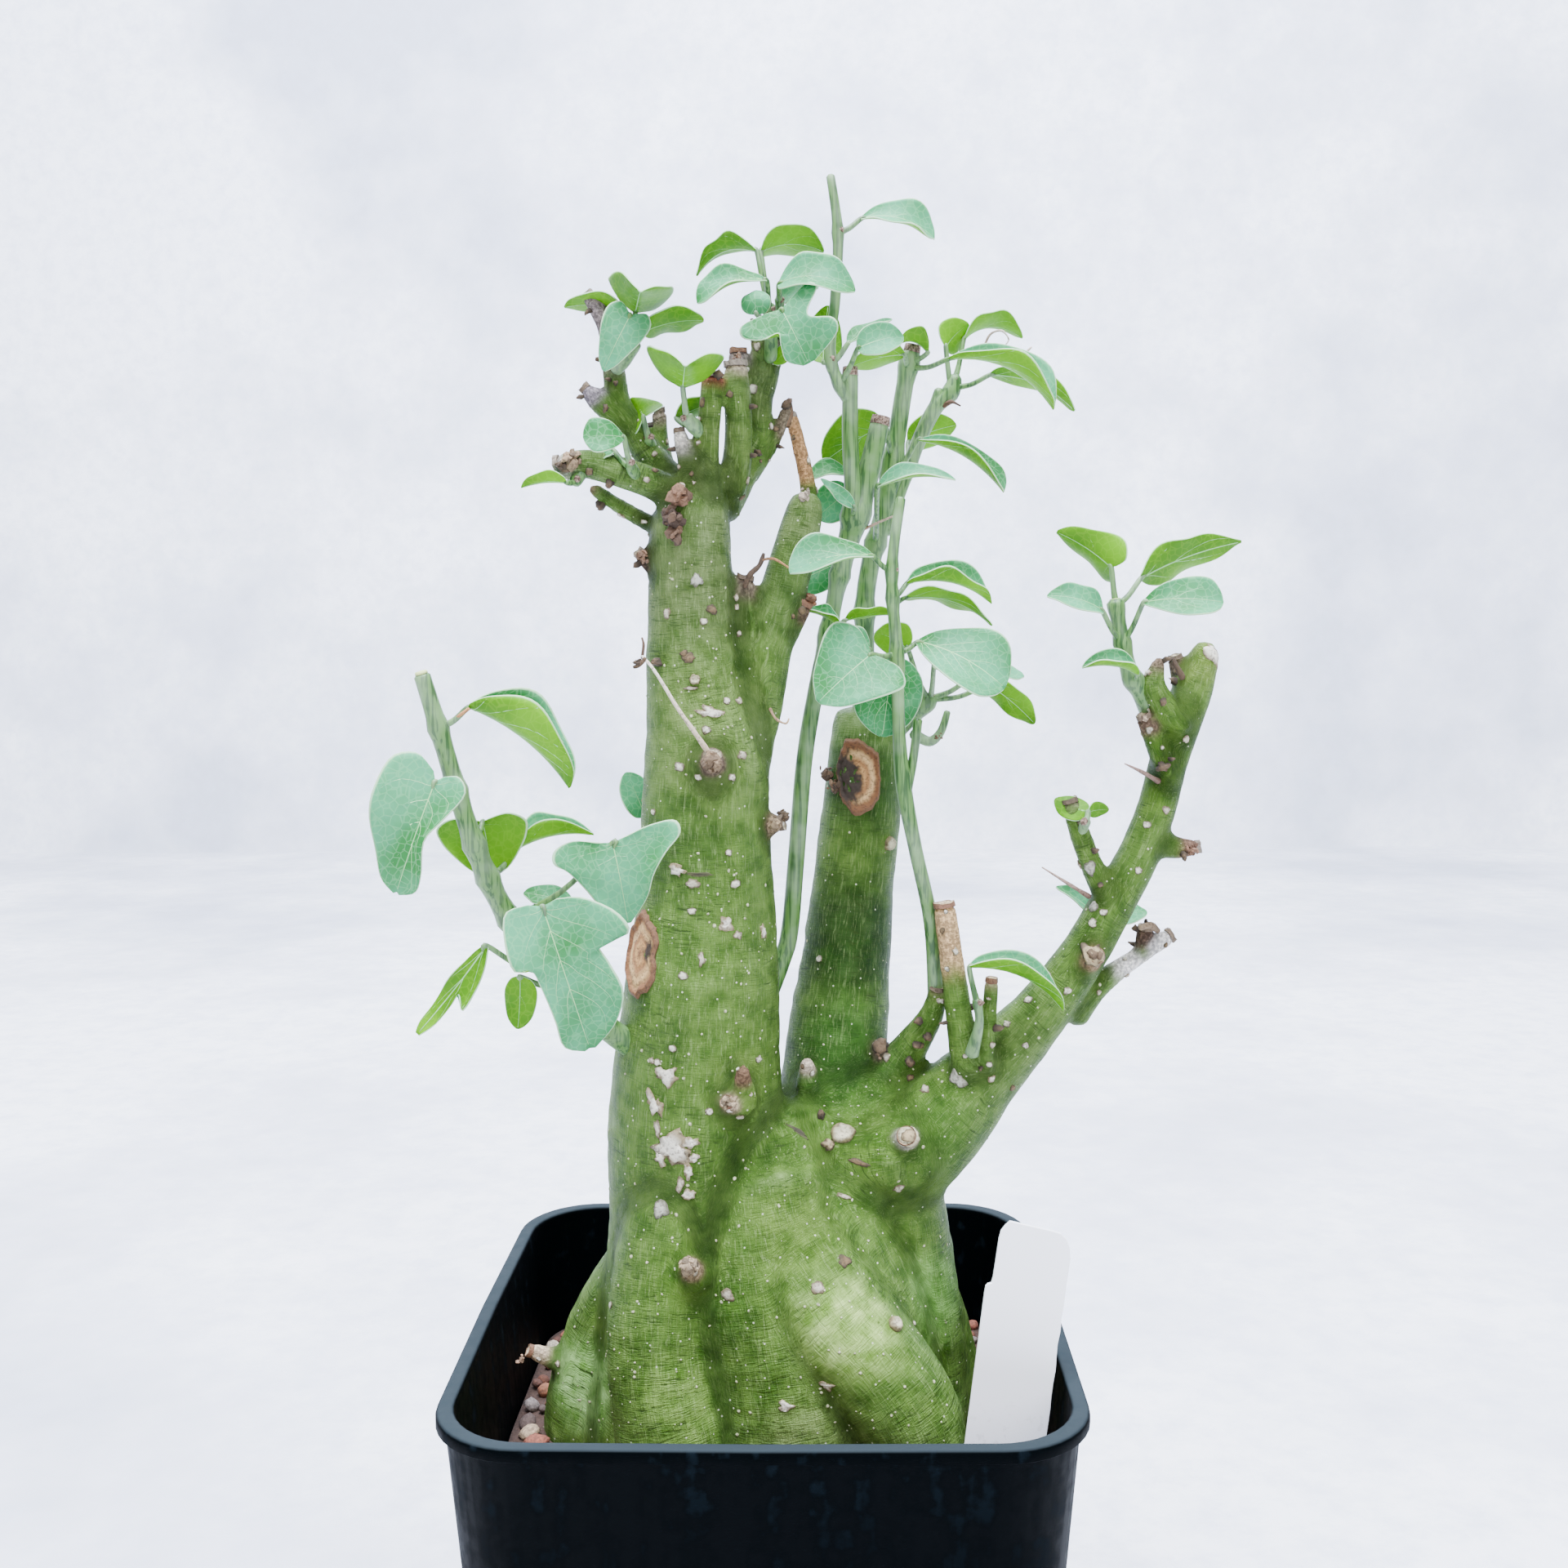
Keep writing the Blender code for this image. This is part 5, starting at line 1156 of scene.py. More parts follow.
# %% Outlines and shoots
# Margins of the blades, from the petiole to the tip: how far along, as a part of the length, and how
# far across, as a part of half the width. A name with two margins has its left side first.
EVEN = {
    "oval": [(-0.01, 0.12), (0.06, 0.62), (0.25, 0.96), (0.5, 1), (0.76, 0.8), (0.93, 0.42), (1, 0.08)],
    "heart": [(-0.05, 0.16), (-0.13, 0.62), (0.02, 0.98), (0.28, 0.94), (0.56, 0.72), (0.84, 0.42),
              (1, 0.08)],
    "wedge": [(0, 0.1), (0.12, 0.42), (0.34, 0.76), (0.6, 1), (0.83, 0.9), (0.96, 0.46), (1, 0.08)],
    "lance": [(0, 0.14), (0.1, 0.66), (0.3, 1), (0.52, 0.9), (0.74, 0.62), (0.92, 0.28), (1, 0.06)],
}
LOPSIDED = {
    "pale": (
        [(-0.06, 0.12), (-0.1, 0.4), (0.02, 0.62), (0.28, 0.4), (0.5, 0.2), (0.78, 0.34), (0.95, 0.34),
         (1.02, 0.06)],
        [(-0.08, 0.1), (-0.18, 0.5), (-0.08, 0.92), (0.2, 1), (0.45, 0.9), (0.7, 0.62), (0.92, 0.36),
         (1.02, 0.06)]),
    "arrow": (
        [(-0.05, 0.22), (-0.13, 0.58), (-0.14, 0.96), (0.02, 1), (0.2, 0.74), (0.44, 0.5), (0.72, 0.34),
         (1, 0.05)],
        [(-0.04, 0.22), (-0.13, 0.58), (-0.08, 0.88), (0.06, 0.94), (0.2, 0.76), (0.44, 0.56),
         (0.72, 0.36), (1, 0.05)]),
    "mitten": (
        [(-0.02, 0.22), (0.02, 0.56), (0.16, 0.92), (0.31, 1), (0.335, 0.58), (0.47, 0.62),
         (0.68, 0.68), (0.88, 0.44), (1.01, 0.08)],
        [(-0.04, 0.18), (-0.04, 0.5), (0.12, 0.63), (0.31, 0.64), (0.355, 0.42), (0.47, 0.37),
         (0.72, 0.33), (0.92, 0.33), (1.01, 0.08)]),
    "notched": (
        [(0, 0.1), (0.12, 0.3), (0.28, 0.4), (0.44, 0.44), (0.6, 0.4), (0.76, 0.34), (0.9, 0.28),
         (1, 0.1)],
        [(0, 0.12), (0.14, 0.5), (0.33, 0.8), (0.57, 1), (0.49, 0.36), (0.64, 0.34), (0.84, 0.34),
         (1, 0.12)]),
    "clover": (
        [(-0.05, 0.14), (-0.2, 0.7), (-0.05, 0.86), (0.2, 0.5), (0.36, 0.46), (0.55, 0.86), (0.8, 0.8),
         (1, 0.16)],
        [(-0.05, 0.3), (-0.04, 0.9), (0.16, 1), (0.34, 0.66), (0.36, 0.3), (0.56, 0.36), (0.82, 0.4),
         (1, 0.12)]),
}

# The leafy stems. A stem is a list of twigs: across, down, mm behind the axis, radius in mm.
# A leaf is: the foot of its petiole on the wood, the base of its blade and its tip, each as across and
# down; how far behind the axis these three lie; the blade's width in mm; which way its upper side
# faces, as a turn round the midrib (0 to the camera, 90 to its own left, 180 away); how far its halves
# fold up; how far the midrib arches; and its margin.
SHOOTS = {
    "shoot_left": (
        [[(790, 1290, -12, 3), (748, 1262, -17, 2.7), (700, 1215, -26, 2.5), (652, 1165, -33, 2.3),
          (612, 1105, -37, 2.1), (585, 1045, -40, 2), (563, 980, -42, 1.85), (541, 905, -44, 1.75),
          (517, 828, -46, 1.6)]],
        [((549, 887), (574, 866), (697, 965), (-44, -45, -42), 17, 78, 58, 2, "oval"),
         ((557, 965), (533, 957), (486, 1092), (-43, -49, -50), 20.5, -8, 10, 1.5, "pale"),
         ((583, 1035), (591, 1006), (602, 1074), (-39, -35, -34), 19, 165, -12, 1, "heart"),
         ((598, 1070), (632, 1040), (727, 1022), (-37, -31, -28), 11, 72, 55, 1.5, "lance"),
         ((622, 1122), (750, 1032), (769, 1130), (-35, -40, -39), 27, 6, 14, 1.2, "arrow"),
         ((640, 1145), (664, 1110), (722, 1283), (-34, -49, -46), 28.5, 0, 10, 2, "mitten"),
         ((650, 1160), (700, 1106), (641, 1094), (-32, -34, -36), 5.5, -35, 10, 0.5, "oval"),
         ((676, 1190), (596, 1158), (511, 1266), (-30, -41, -42), 9.5, 160, -12, 1, "notched"),
         ((690, 1204), (637, 1196), (634, 1260), (-27, -35, -35), 7, 160, 10, 0.5, "oval")]),
    "shoot_front": (
        [[(1146, 1222, -4, 1.8), (1140, 1130, -7, 1.6), (1121, 1040, -9, 1.5), (1107, 966, -10, 1.7),
          (1101, 900, -10, 1.4), (1098, 800, -10, 1.3), (1092, 700, -10, 1.2), (1103, 611, -10, 1.05)],
         [(1108, 975, -10, 1.3), (1118, 930, -9, 1), (1124, 882, -9, 1)]],
        [((1090, 697), (1069, 681), (967, 702), (-10, -11, -15), 12, -52, 26, 2, "wedge"),
         ((1098, 735), (1111, 714), (1214, 739), (-10, -8, -6), 10, 72, 50, 2.5, "oval"),
         ((1097, 803), (1067, 801), (1002, 860), (-10, -14, -20), 20.5, -12, 8, 1, "heart"),
         ((1102, 801), (1124, 786), (1230, 843), (-10, -9, -14), 17.5, 36, 16, 2.5, "wedge"),
         ((1102, 812), (1092, 803), (1080, 902), (-9, -5, -7), 15.5, 10, -10, 1, "oval")]),
    "shoot_back": (
        [[(938, 1222, 5, 2.4), (957, 1176, 7, 2.1), (967, 1140, 8, 2), (975, 1050, 8, 1.9),
          (985, 930, 8, 1.85), (1000, 840, 8, 1.8), (1015, 770, 8, 1.8), (1028, 705, 8, 2),
          (1044, 645, 8, 2.6), (1062, 585, 8, 2.5), (1077, 520, 8, 2.1)],
         [(1042, 655, 8, 2.4), (1044, 600, 6, 1.9), (1041, 540, 6, 1.8), (1041, 459, 6, 1.7)],
         [(1041, 490, 6, 1.7), (1028, 470, 5, 1.3), (1017, 440, 4, 1.1), (1019, 400, 3, 1.1),
          (1023, 362, 3, 1.15), (1026, 285, 3, 1.1), (1017, 216, 3, 0.95)]],
        [((1026, 284), (1054, 268), (1144, 293), (3, 4, 6), 11.5, 60, 24, 2.5, "wedge"),
         ((1017, 440), (1008, 444), (1014, 374), (4, 4, 8), 8.5, 172, 14, 1.5, "oval"),
         ((1018, 446), (1038, 421), (1092, 391), (4, 3, 7), 5.5, 60, 18, 0.5, "lance"),
         ((1029, 470), (1050, 427), (1106, 412), (4, 0, 2), 8, 28, 20, 1, "oval"),
         ((1044, 625), (1040, 582), (982, 594), (10, 13, 12), 8, -60, 20, 2, "lance"),
         ((1044, 630), (1042, 600), (1000, 634), (11, 16, 18), 9.5, -18, 8, 0.5, "oval"),
         ((1047, 638), (1046, 621), (1005, 586), (3, 2, 0), 3.2, -20, 10, 0.5, "lance"),
         ((1028, 705), (1026, 690), (968, 718), (12, 15, 16), 9, -20, -12, 0.5, "oval"),
         ((1016, 765), (1028, 768), (980, 748), (5, 3, 0), 6, -70, 40, 1, "lance"),
         ((1016, 772), (1034, 760), (1101, 752), (5, -1, -2), 5, 118, 30, 0.5, "lance"),
         ((1012, 785), (1064, 795), (1014, 776), (4, -4, -5), 8, -55, 22, 0.5, "oval")]),
    "shoot_middle": (
        [[(1060, 905, 21, 3), (1056, 870, 21, 2.4), (1059, 800, 22, 2.2), (1059, 741, 22, 2.2),
          (1066, 690, 22, 2.2), (1087, 604, 22, 2.1), (1106, 483, 22, 2), (1116, 432, 22, 1.9)],
         [(1085, 650, 23, 2), (1100, 605, 24, 1.7), (1125, 540, 25, 1.7), (1145, 500, 25, 1.8),
          (1163, 482, 25, 1.7), (1170, 462, 25, 1.2)],
         [(1145, 500, 25, 1.7), (1150, 478, 25, 1.1)]],
        [((1120, 445), (1136, 432), (1097, 424), (22, 17, 16), 8, -112, 40, 2, "oval"),
         ((1112, 452), (1108, 434), (1036, 452), (21, 16, 14), 9.5, -128, 12, 1, "lance"),
         ((1121, 452), (1160, 440), (1290, 502), (21, 15, 12), 14, 78, 46, 4, "wedge"),
         ((1163, 478), (1158, 425), (1186, 396), (25, 24, 26), 8.5, 150, 14, 1, "oval"),
         ((1168, 468), (1180, 416), (1252, 414), (25, 27, 30), 10.5, 112, 24, 3, "oval"),
         ((1170, 476), (1212, 459), (1316, 503), (25, 22, 20), 7, 130, 16, 3, "oval"),
         ((1104, 575), (1112, 541), (1171, 520), (24, 29, 30), 9, 150, 10, 1, "oval"),
         ((1101, 583), (1124, 539), (1229, 603), (21, 17, 14), 9, 70, 42, 2.5, "wedge"),
         ((1062, 660), (1074, 597), (1170, 588), (17, 4, 2), 7.5, 62, 30, 2, "lance"),
         ((1092, 555), (1084, 520), (1008, 566), (20, 16, 15), 13.5, -150, 10, 1, "oval"),
         ((1064, 748), (1106, 733), (1215, 766), (19, 8, 6), 7.5, 118, 14, 3, "lance")]),
    "shoot_right": (
        [[(1412, 880, -4, 2.4), (1398, 850, -7, 2), (1383, 822, -8, 1.8), (1373, 780, -8, 1.6),
          (1366, 738, -8, 1.5)]],
        [((1362, 740), (1361, 695), (1294, 651), (-8, -8, -4), 12, -142, 24, 1, "heart"),
         ((1372, 742), (1397, 708), (1520, 663), (-8, -6, -2), 10.5, 140, 10, 1.5, "lance"),
         ((1367, 788), (1350, 748), (1282, 730), (-9, -12, -15), 7.2, -42, 22, 1.5, "oval"),
         ((1370, 788), (1400, 738), (1498, 738), (-9, -13, -17), 10.5, 34, 18, 1.5, "wedge"),
         ((1386, 832), (1393, 826), (1325, 818), (-9, -12, -14), 7.5, -66, 44, 1.5, "oval")]),
    "spray_top": (
        [[(944, 440, 2, 1.6), (944, 405, 0, 1.3), (942, 375, -1, 1.1)],
         [(958, 412, 4, 1.3), (957, 390, 2, 0.9), (954, 366, 0, 0.8)]],
        [((942, 378), (927, 308), (853, 338), (-1, 0, 2), 9, -120, 26, 3, "lance"),
         ((943, 378), (932, 308), (1009, 308), (-1, 2, 4), 11, 128, 14, 2, "oval"),
         ((940, 384), (939, 344), (854, 372), (-2, -5, -8), 9, -58, 26, 2.5, "wedge"),
         ((955, 372), (954, 348), (1047, 357), (-1, -5, -8), 11.5, 48, 22, 3, "oval"),
         ((939, 388), (926, 384), (926, 356), (-2, -10, -8), 6.5, 10, -20, 1.5, "oval"),
         ((957, 385), (952, 372), (1002, 351), (3, 5, 8), 6, 60, 10, 1, "oval"),
         ((945, 392), (957, 379), (990, 445), (-2, -12, -13), 20, 4, 8, 1.5, "clover"),
         ((958, 408), (966, 424), (948, 446), (2, 0, 1), 3.5, 170, 10, 0.5, "oval")]),
    "spray_left": (
        [[(754, 452, -5, 1.5), (766, 440, -7, 1.4), (777, 420, -9, 1.2)]],
        [((776, 424), (770, 386), (691, 376), (-9, -5, -2), 7.5, -122, 12, 1.5, "oval"),
         ((777, 421), (778, 382), (784, 357), (-9, -8, -22), 17, 178, 37, 1, "heart"),
         ((779, 421), (788, 406), (862, 392), (-9, -9, -6), 8.5, 128, 8, 1, "oval"),
         ((774, 424), (772, 386), (739, 454), (-9, -13, -14), 10, -8, 10, 1, "heart")]),
    "spray_inner": (
        [[(862, 535, -10, 1.4), (850, 522, -12, 1.3), (841, 512, -13, 1.1)]],
        [((840, 513), (836, 474), (839, 448), (-13, -15, -28), 20, 178, 38, 1, "heart"),
         ((846, 517), (828, 512), (888, 494), (-11, -5, -4), 6.5, 132, 8, 1, "oval")]),
    "leaf_inner": (
        [[(806, 560, -1, 1.3), (800, 548, -4, 1), (794, 538, -6, 0.8)]],
        [((794, 540), (788, 511), (772, 488), (-6, -7, -2), 9.5, -165, 20, 1, "heart")]),
    "leaf_west": (
        [[(780, 585, -12, 1.2), (772, 570, -16, 0.9)]],
        [((772, 572), (764, 536), (714, 536), (-16, -18, -21), 8, -28, 8, 1, "wedge"),
         ((773, 572), (752, 552), (734, 562), (-15, -13, -12), 3.6, -60, 10, 0.3, "oval")]),
    "leaf_low": (
        [[(712, 580, -13, 1.3), (704, 590, -15, 1)]],
        [((705, 589), (694, 591), (638, 597), (-15, -17, -18), 5.2, -118, 30, 0.8, "oval")]),
    "spray_stump": (
        [[(1085, 905, 20, 2.6), (1112, 880, 19, 2.2), (1132, 864, 18, 1.9), (1140, 854, 18, 1.4)],
         [(1118, 898, 18, 1.3), (1138, 908, 17, 1.2), (1152, 896, 16, 1), (1160, 872, 16, 0.8)]],
        [((1140, 856), (1144, 812), (1208, 846), (18, 8, 3), 6.5, 46, 14, 1, "oval"),
         ((1141, 857), (1190, 828), (1254, 829), (18, 16, 13), 6.5, 56, 10, 1, "oval"),
         ((1142, 859), (1210, 838), (1267, 886), (18, 19, 20), 7, 150, 10, 1, "oval"),
         ((1136, 858), (1112, 795), (1072, 774), (17, 10, 8), 9, -150, 12, 1, "oval")]),
    "leaf_stub": (
        [[(1324, 1018, -7, 1.2), (1330, 1006, -10, 0.8)]],
        [((1330, 1007), (1332, 994), (1291, 979), (-10, -9, -6), 5.8, 155, 10, 0.8, "oval"),
         ((1331, 1006), (1333, 994), (1358, 991), (-10, -9, -8), 3.6, 155, 10, 0.5, "oval")]),
    "leaf_behind_arm": (
        [[(1352, 1130, 1, 1.6), (1346, 1124, 6, 1)]],
        [((1346, 1124), (1340, 1120), (1293, 1086), (6, 9, 9), 5, -55, 20, 0.6, "oval"),
         ((1348, 1124), (1362, 1128), (1404, 1116), (6, 10, 12), 6, 40, 10, 0.6, "oval")]),
    "leaf_crotch": (
        [[(1190, 1290, -12, 1.6), (1199, 1252, -15, 1), (1196, 1225, -16, 0.8)]],
        [((1196, 1228), (1187, 1184), (1302, 1237), (-16, -16, -14), 10, 74, 48, 3, "oval")]),
    "leaf_behind_trunk": (
        [[(820, 1010, 2, 1.6), (795, 1005, 8, 1)]],
        [((796, 1005), (790, 1000), (766, 946), (8, 9, 10), 8, -20, 10, 0.6, "oval")]),
}

# %% [markdown]
# ## Blades
# A blade is a grid that is drawn out to its margins, folded a little along the midrib and arched from
# base to tip. The real margins wave, so each leaf gets a wave of its own from a seeded random draw. The
# grid stays an open sheet here. Solidify gives it a thickness of a third of a millimetre at the end, with
# a slot of its own for the underside and one for the rim, because the real leaf is blue-green above,
# yellow-green below, and edged with a thin pale line.

# %% Draw a blade
BLADE_THICKNESS = 0.28 * MM
BLADE_COLUMNS = 14
BLADE_ROWS = 26
WAVE_HEIGHT = 0.045
# How much of the fold is a curve: 0 is a sharp crease at the midrib and 2 is a round trough
CURL = 1.7
UPPER, UNDER, RIM, STALK, RIB, SCALE, CUT = range(7)
draw = random.Random(11)


def margin_at(margin, share):
    """A point of a margin, at a share of the way from the stalk to the tip, on a smooth curve."""
    place = share * (len(margin) - 1)
    first = min(int(place), len(margin) - 2)
    around = [margin[min(max(first + step, 0), len(margin) - 1)] for step in (-1, 0, 1, 2)]
    return [smooth_between(*(point[axis] for point in around), place - first) for axis in (0, 1)]


class Blade:
    """The shape of one leaf: it turns a share across and a share along into a place."""

    def __init__(self, leaf):
        _, base, tip, depths, width, facing, self.fold, arch, kind = leaf
        self.margins = (EVEN[kind], EVEN[kind]) if kind in EVEN else LOPSIDED[kind]
        self.start = seen(*base, depths[1])
        midrib = seen(*tip, depths[2]) - self.start
        self.length = midrib.length
        self.ahead = midrib.normalized()
        to_lens = EYE - self.start
        to_lens = (to_lens - self.ahead * to_lens.dot(self.ahead)).normalized()
        self.upper = Matrix.Rotation(math.radians(-facing), 3, self.ahead) @ to_lens
        self.left = self.upper.cross(self.ahead)
        self.half = width * MM / 2
        self.arch = arch * MM
        self.waves = [(draw.uniform(1.3, 2.6), draw.uniform(0, math.tau), draw.uniform(0.4, 1.0))
                      for _ in range(2)]

    def flat(self, side, share):
        """How far along and across a point lies, before the blade is folded, in metres."""
        along, across = margin_at(self.margins[0 if side < 0 else 1], share)
        along = share + abs(side) * (along - share)
        return along * self.length, side * max(across, 0.02) * self.half

    def place(self, side, share):
        """The point at a share across, from -1 to 1, and a share along, from 0 to 1."""
        along, across = self.flat(side, share)
        reach = abs(across)
        turns, phase, size = self.waves[0 if side < 0 else 1]
        wave = (math.sin(turns * math.tau * share + phase) * size * WAVE_HEIGHT * self.length
                * abs(side) ** 2 * math.sin(math.pi * min(max(share, 0), 1)))
        bent = along / self.length
        out, up = self.curled(abs(side), reach)
        lift = up + self.arch * (1 - (2 * bent - 1) ** 2) + wave
        return self.start + self.ahead * along + self.left * math.copysign(out, -side) + self.upper * lift

    def curled(self, side, reach):
        """How far out and up a point comes when the halves rise from the midrib in a soft curve."""
        turn = math.radians(self.fold) * CURL
        first = turn * (1 / CURL - 0.5)
        last = first + turn * side
        size = reach / max(side, 0.001) / (2 * math.sin(turn / 2))
        return size * (math.sin(last) - math.sin(first)), size * (math.cos(first) - math.cos(last))


def add_blade(body, blade, coordinates):
    """Adds the blade's sheet to a bmesh, and keeps how far across and along each point lies."""
    made = bmesh.ops.create_grid(body, x_segments=BLADE_COLUMNS, y_segments=BLADE_ROWS, size=1)["verts"]
    for vertex in made:
        side, share = vertex.co.x, (vertex.co.y + 1) / 2
        along, across = blade.flat(side, share)
        vertex[coordinates] = (across, along, abs(side))
        vertex.co = blade.place(side, share)
    for face in {face for vertex in made for face in vertex.link_faces}:
        face.material_index = UPPER
        face.smooth = True


# %% [markdown]
# ## Veins
# Five main veins fan out from the stalk like the fingers of a hand, and smaller ones leave the midrib
# further up. On the real leaf they are pale and stand out on both faces. Each is a thin round rib that
# follows the blade, a little thicker than the blade itself, so that it shows above and below.

# %% Draw the veins
MIDRIB_RADIUS = 0.27 * MM
VEIN_RADIUS = 0.2 * MM
VEIN_TAPER = 0.22
VEIN_STEPS = 9
# Share along the midrib where a vein leaves it, and the share across and along where it ends
SIDE_VEINS = [(0.01, 0.9, 0.16), (0.01, 0.94, 0.44), (0.16, 0.92, 0.7), (0.36, 0.9, 0.84),
              (0.56, 0.86, 0.94)]
NARROW_LEAF = 12.5 * MM


def vein_path(blade, start, side, end, radius):
    """The path of one vein along the blade."""
    path = []
    for step in range(VEIN_STEPS + 1):
        t = step / VEIN_STEPS
        share = start + (end - start) * t
        path.append((blade.place(side * t, share), radius * (1 - VEIN_TAPER * t)))
    return path


def add_veins(body, blade):
    """The midrib and the veins that leave it on both sides, thinner on a small leaf."""
    size = min(1.0, 0.55 + 0.45 * blade.length / (20 * MM))
    paths = [vein_path(blade, 0.0, 0.001, 0.97, MIDRIB_RADIUS * size)]
    rows = SIDE_VEINS if blade.half * 2 > NARROW_LEAF else SIDE_VEINS[1::2]
    for start, side, end in rows:
        for way in (-1, 1):
            paths.append(vein_path(blade, start, side * way, end, VEIN_RADIUS * size))
    for path in paths:
        add_tube(body, path, 4, RIB, round_ends=False)


def add_tube(body, path, sides, slot, round_ends=True):
    """Adds a tube with one material slot."""
    part = bmesh.new()
    sweep(part, path, sides, round_ends)
    merged(body, part, slot)


# %% [markdown]
# ## Stalks, twigs and whole shoots
# A twig is a smooth tube, a little thicker at each joint where a stalk leaves it. A stalk is a thin tube
# with a slight sag that runs into the base of its blade. At each joint sits a tiny dry brown scale, left
# from the bud.

# %% Build the leafy shoots
STALK_RADIUS = 0.62 * MM
TWIG_STEPS = 6
JOINT_SWELLING = 0.3
JOINT_REACH = 1.8 * MM
SCALE_SIZE = 0.75 * MM
# Shoots whose cut tops have dried to a brown cap
CUT_LONG_AGO = {"shoot_back", "shoot_middle"}
# Share of the twig's radius and height of a fresh cut and of a dried cap
FRESH_CUT = (0.8, 0.5 * MM)
DRIED_CAP = (1.06, 1.9 * MM)


def stalk_foot(leaf, paths):
    """Where a stalk starts: the middle of the twig that it grows from."""
    foot = seen(*leaf[0], leaf[3][0])
    return min((place for path in paths for place, _ in path), key=lambda place: (place - foot).length)


def add_stalk(body, low, blade):
    """A leaf stalk from the twig into the base of its blade."""
    high = blade.place(0, 0)
    into = blade.place(0, 0.06)
    bend = (low + high) / 2 + Vector((0, 0, -0.08)) * (high - low).length
    points = [(low, STALK_RADIUS * 1.25), (bend, STALK_RADIUS), (high, STALK_RADIUS * 0.9),
              (into, STALK_RADIUS * 0.5)]
    add_tube(body, smooth_path(points, 5), 8, STALK)


def add_cut_top(body, path, slot):
    """The cut across the top of a shoot: a disc that stands a little proud of the green rim."""
    place, radius = path[-1]
    ahead = (place - path[-2][0]).normalized()
    share, height = DRIED_CAP if slot == SCALE else FRESH_CUT
    part = bmesh.new()
    bmesh.ops.create_cone(part, cap_ends=True, segments=14, radius1=radius * share,
                          radius2=radius * share * 0.9, depth=height)
    turn = ahead.to_track_quat("Z", "Y").to_matrix().to_4x4()
    part.transform(Matrix.Translation(place + ahead * radius * END_REACH) @ turn)
    merged(body, part, slot)


def add_twig(body, path, feet, cut_slot):
    """A twig that is thicker at its joints, with a cut top where it is not thin."""
    if path[-1][1] > THINNEST_CUT:
        add_cut_top(body, path, cut_slot)
    swollen = []
    for place, radius in path:
        near = min(((place - foot).length for foot in feet), default=1.0)
        swollen.append((place, radius * (1 + JOINT_SWELLING * math.exp(-(near / JOINT_REACH) ** 2))))
    add_tube(body, swollen, 12, STALK)


def add_scale(body, foot):
    """A dry scale by the foot of a stalk."""
    part = bmesh.new()
    made = bmesh.ops.create_icosphere(part, subdivisions=2, radius=SCALE_SIZE)["verts"]
    lean = Vector((draw.uniform(-1, 1), -0.8, draw.uniform(-0.2, 1))).normalized()
    for vertex in made:
        rough = 1 + 0.35 * noise.noise(vertex.co / SCALE_SIZE * 1.7 + foot * 900)
        vertex.co = foot + vertex.co * rough + lean * SCALE_SIZE * 1.2
    merged(body, part, SCALE)


def make_shoot(name, finishes):
    """All of a leafy stem in one piece, in the place of its solid."""
    twigs, leaves = SHOOTS[name]
    blades = [Blade(leaf) for leaf in leaves]
    body = bmesh.new()
    coordinates = body.verts.layers.float_vector.new("grain")
    for blade in blades:
        add_blade(body, blade, coordinates)
    piece = new_piece(name + "_grown", body)
    for finish in finishes:
        piece.data.materials.append(finish)
    thick = piece.modifiers.new("thick", "SOLIDIFY")
    thick.thickness = BLADE_THICKNESS
    thick.offset = 0
    thick.material_offset = UNDER
    thick.material_offset_rim = RIM
    settle(piece)
    body = bmesh.new()
    body.from_mesh(piece.data)
    paths = [limb_path(points, TWIG_STEPS) for points in twigs]
    feet = [stalk_foot(leaf, paths) for leaf in leaves]
    for path in paths:
        add_twig(body, path, feet, SCALE if name in CUT_LONG_AGO else CUT)
    for foot, blade in zip(feet, blades):
        add_stalk(body, foot, blade)
        add_veins(body, blade)
    for foot in feet:
        add_scale(body, foot)
    body.to_mesh(piece.data)
    body.free()
    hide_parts(name)
    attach(piece, "root")
    return piece

# %% [markdown]
# ## Leaf finishes
# The upper side has a bluish wax bloom over green, which gives it a soft matt look with a faint sheen.
# The underside has no bloom and lets light through, so it looks fresh yellow-green. On both faces a
# darker green in soft patches is painted shade. Both have a fine net of pale veinlets between the main
# ones: the borders of Voronoi cells, about 1.5 mm across, on the coordinates that each blade carries. A
# little light scatters inside the blade, which brightens what is lit from behind.

# %% Leaf materials
NET_SIZE = 1.5 * MM
SHADE_PATCH_SIZE = 16 * MM
LEAF_SCATTER = 0.9 * MM


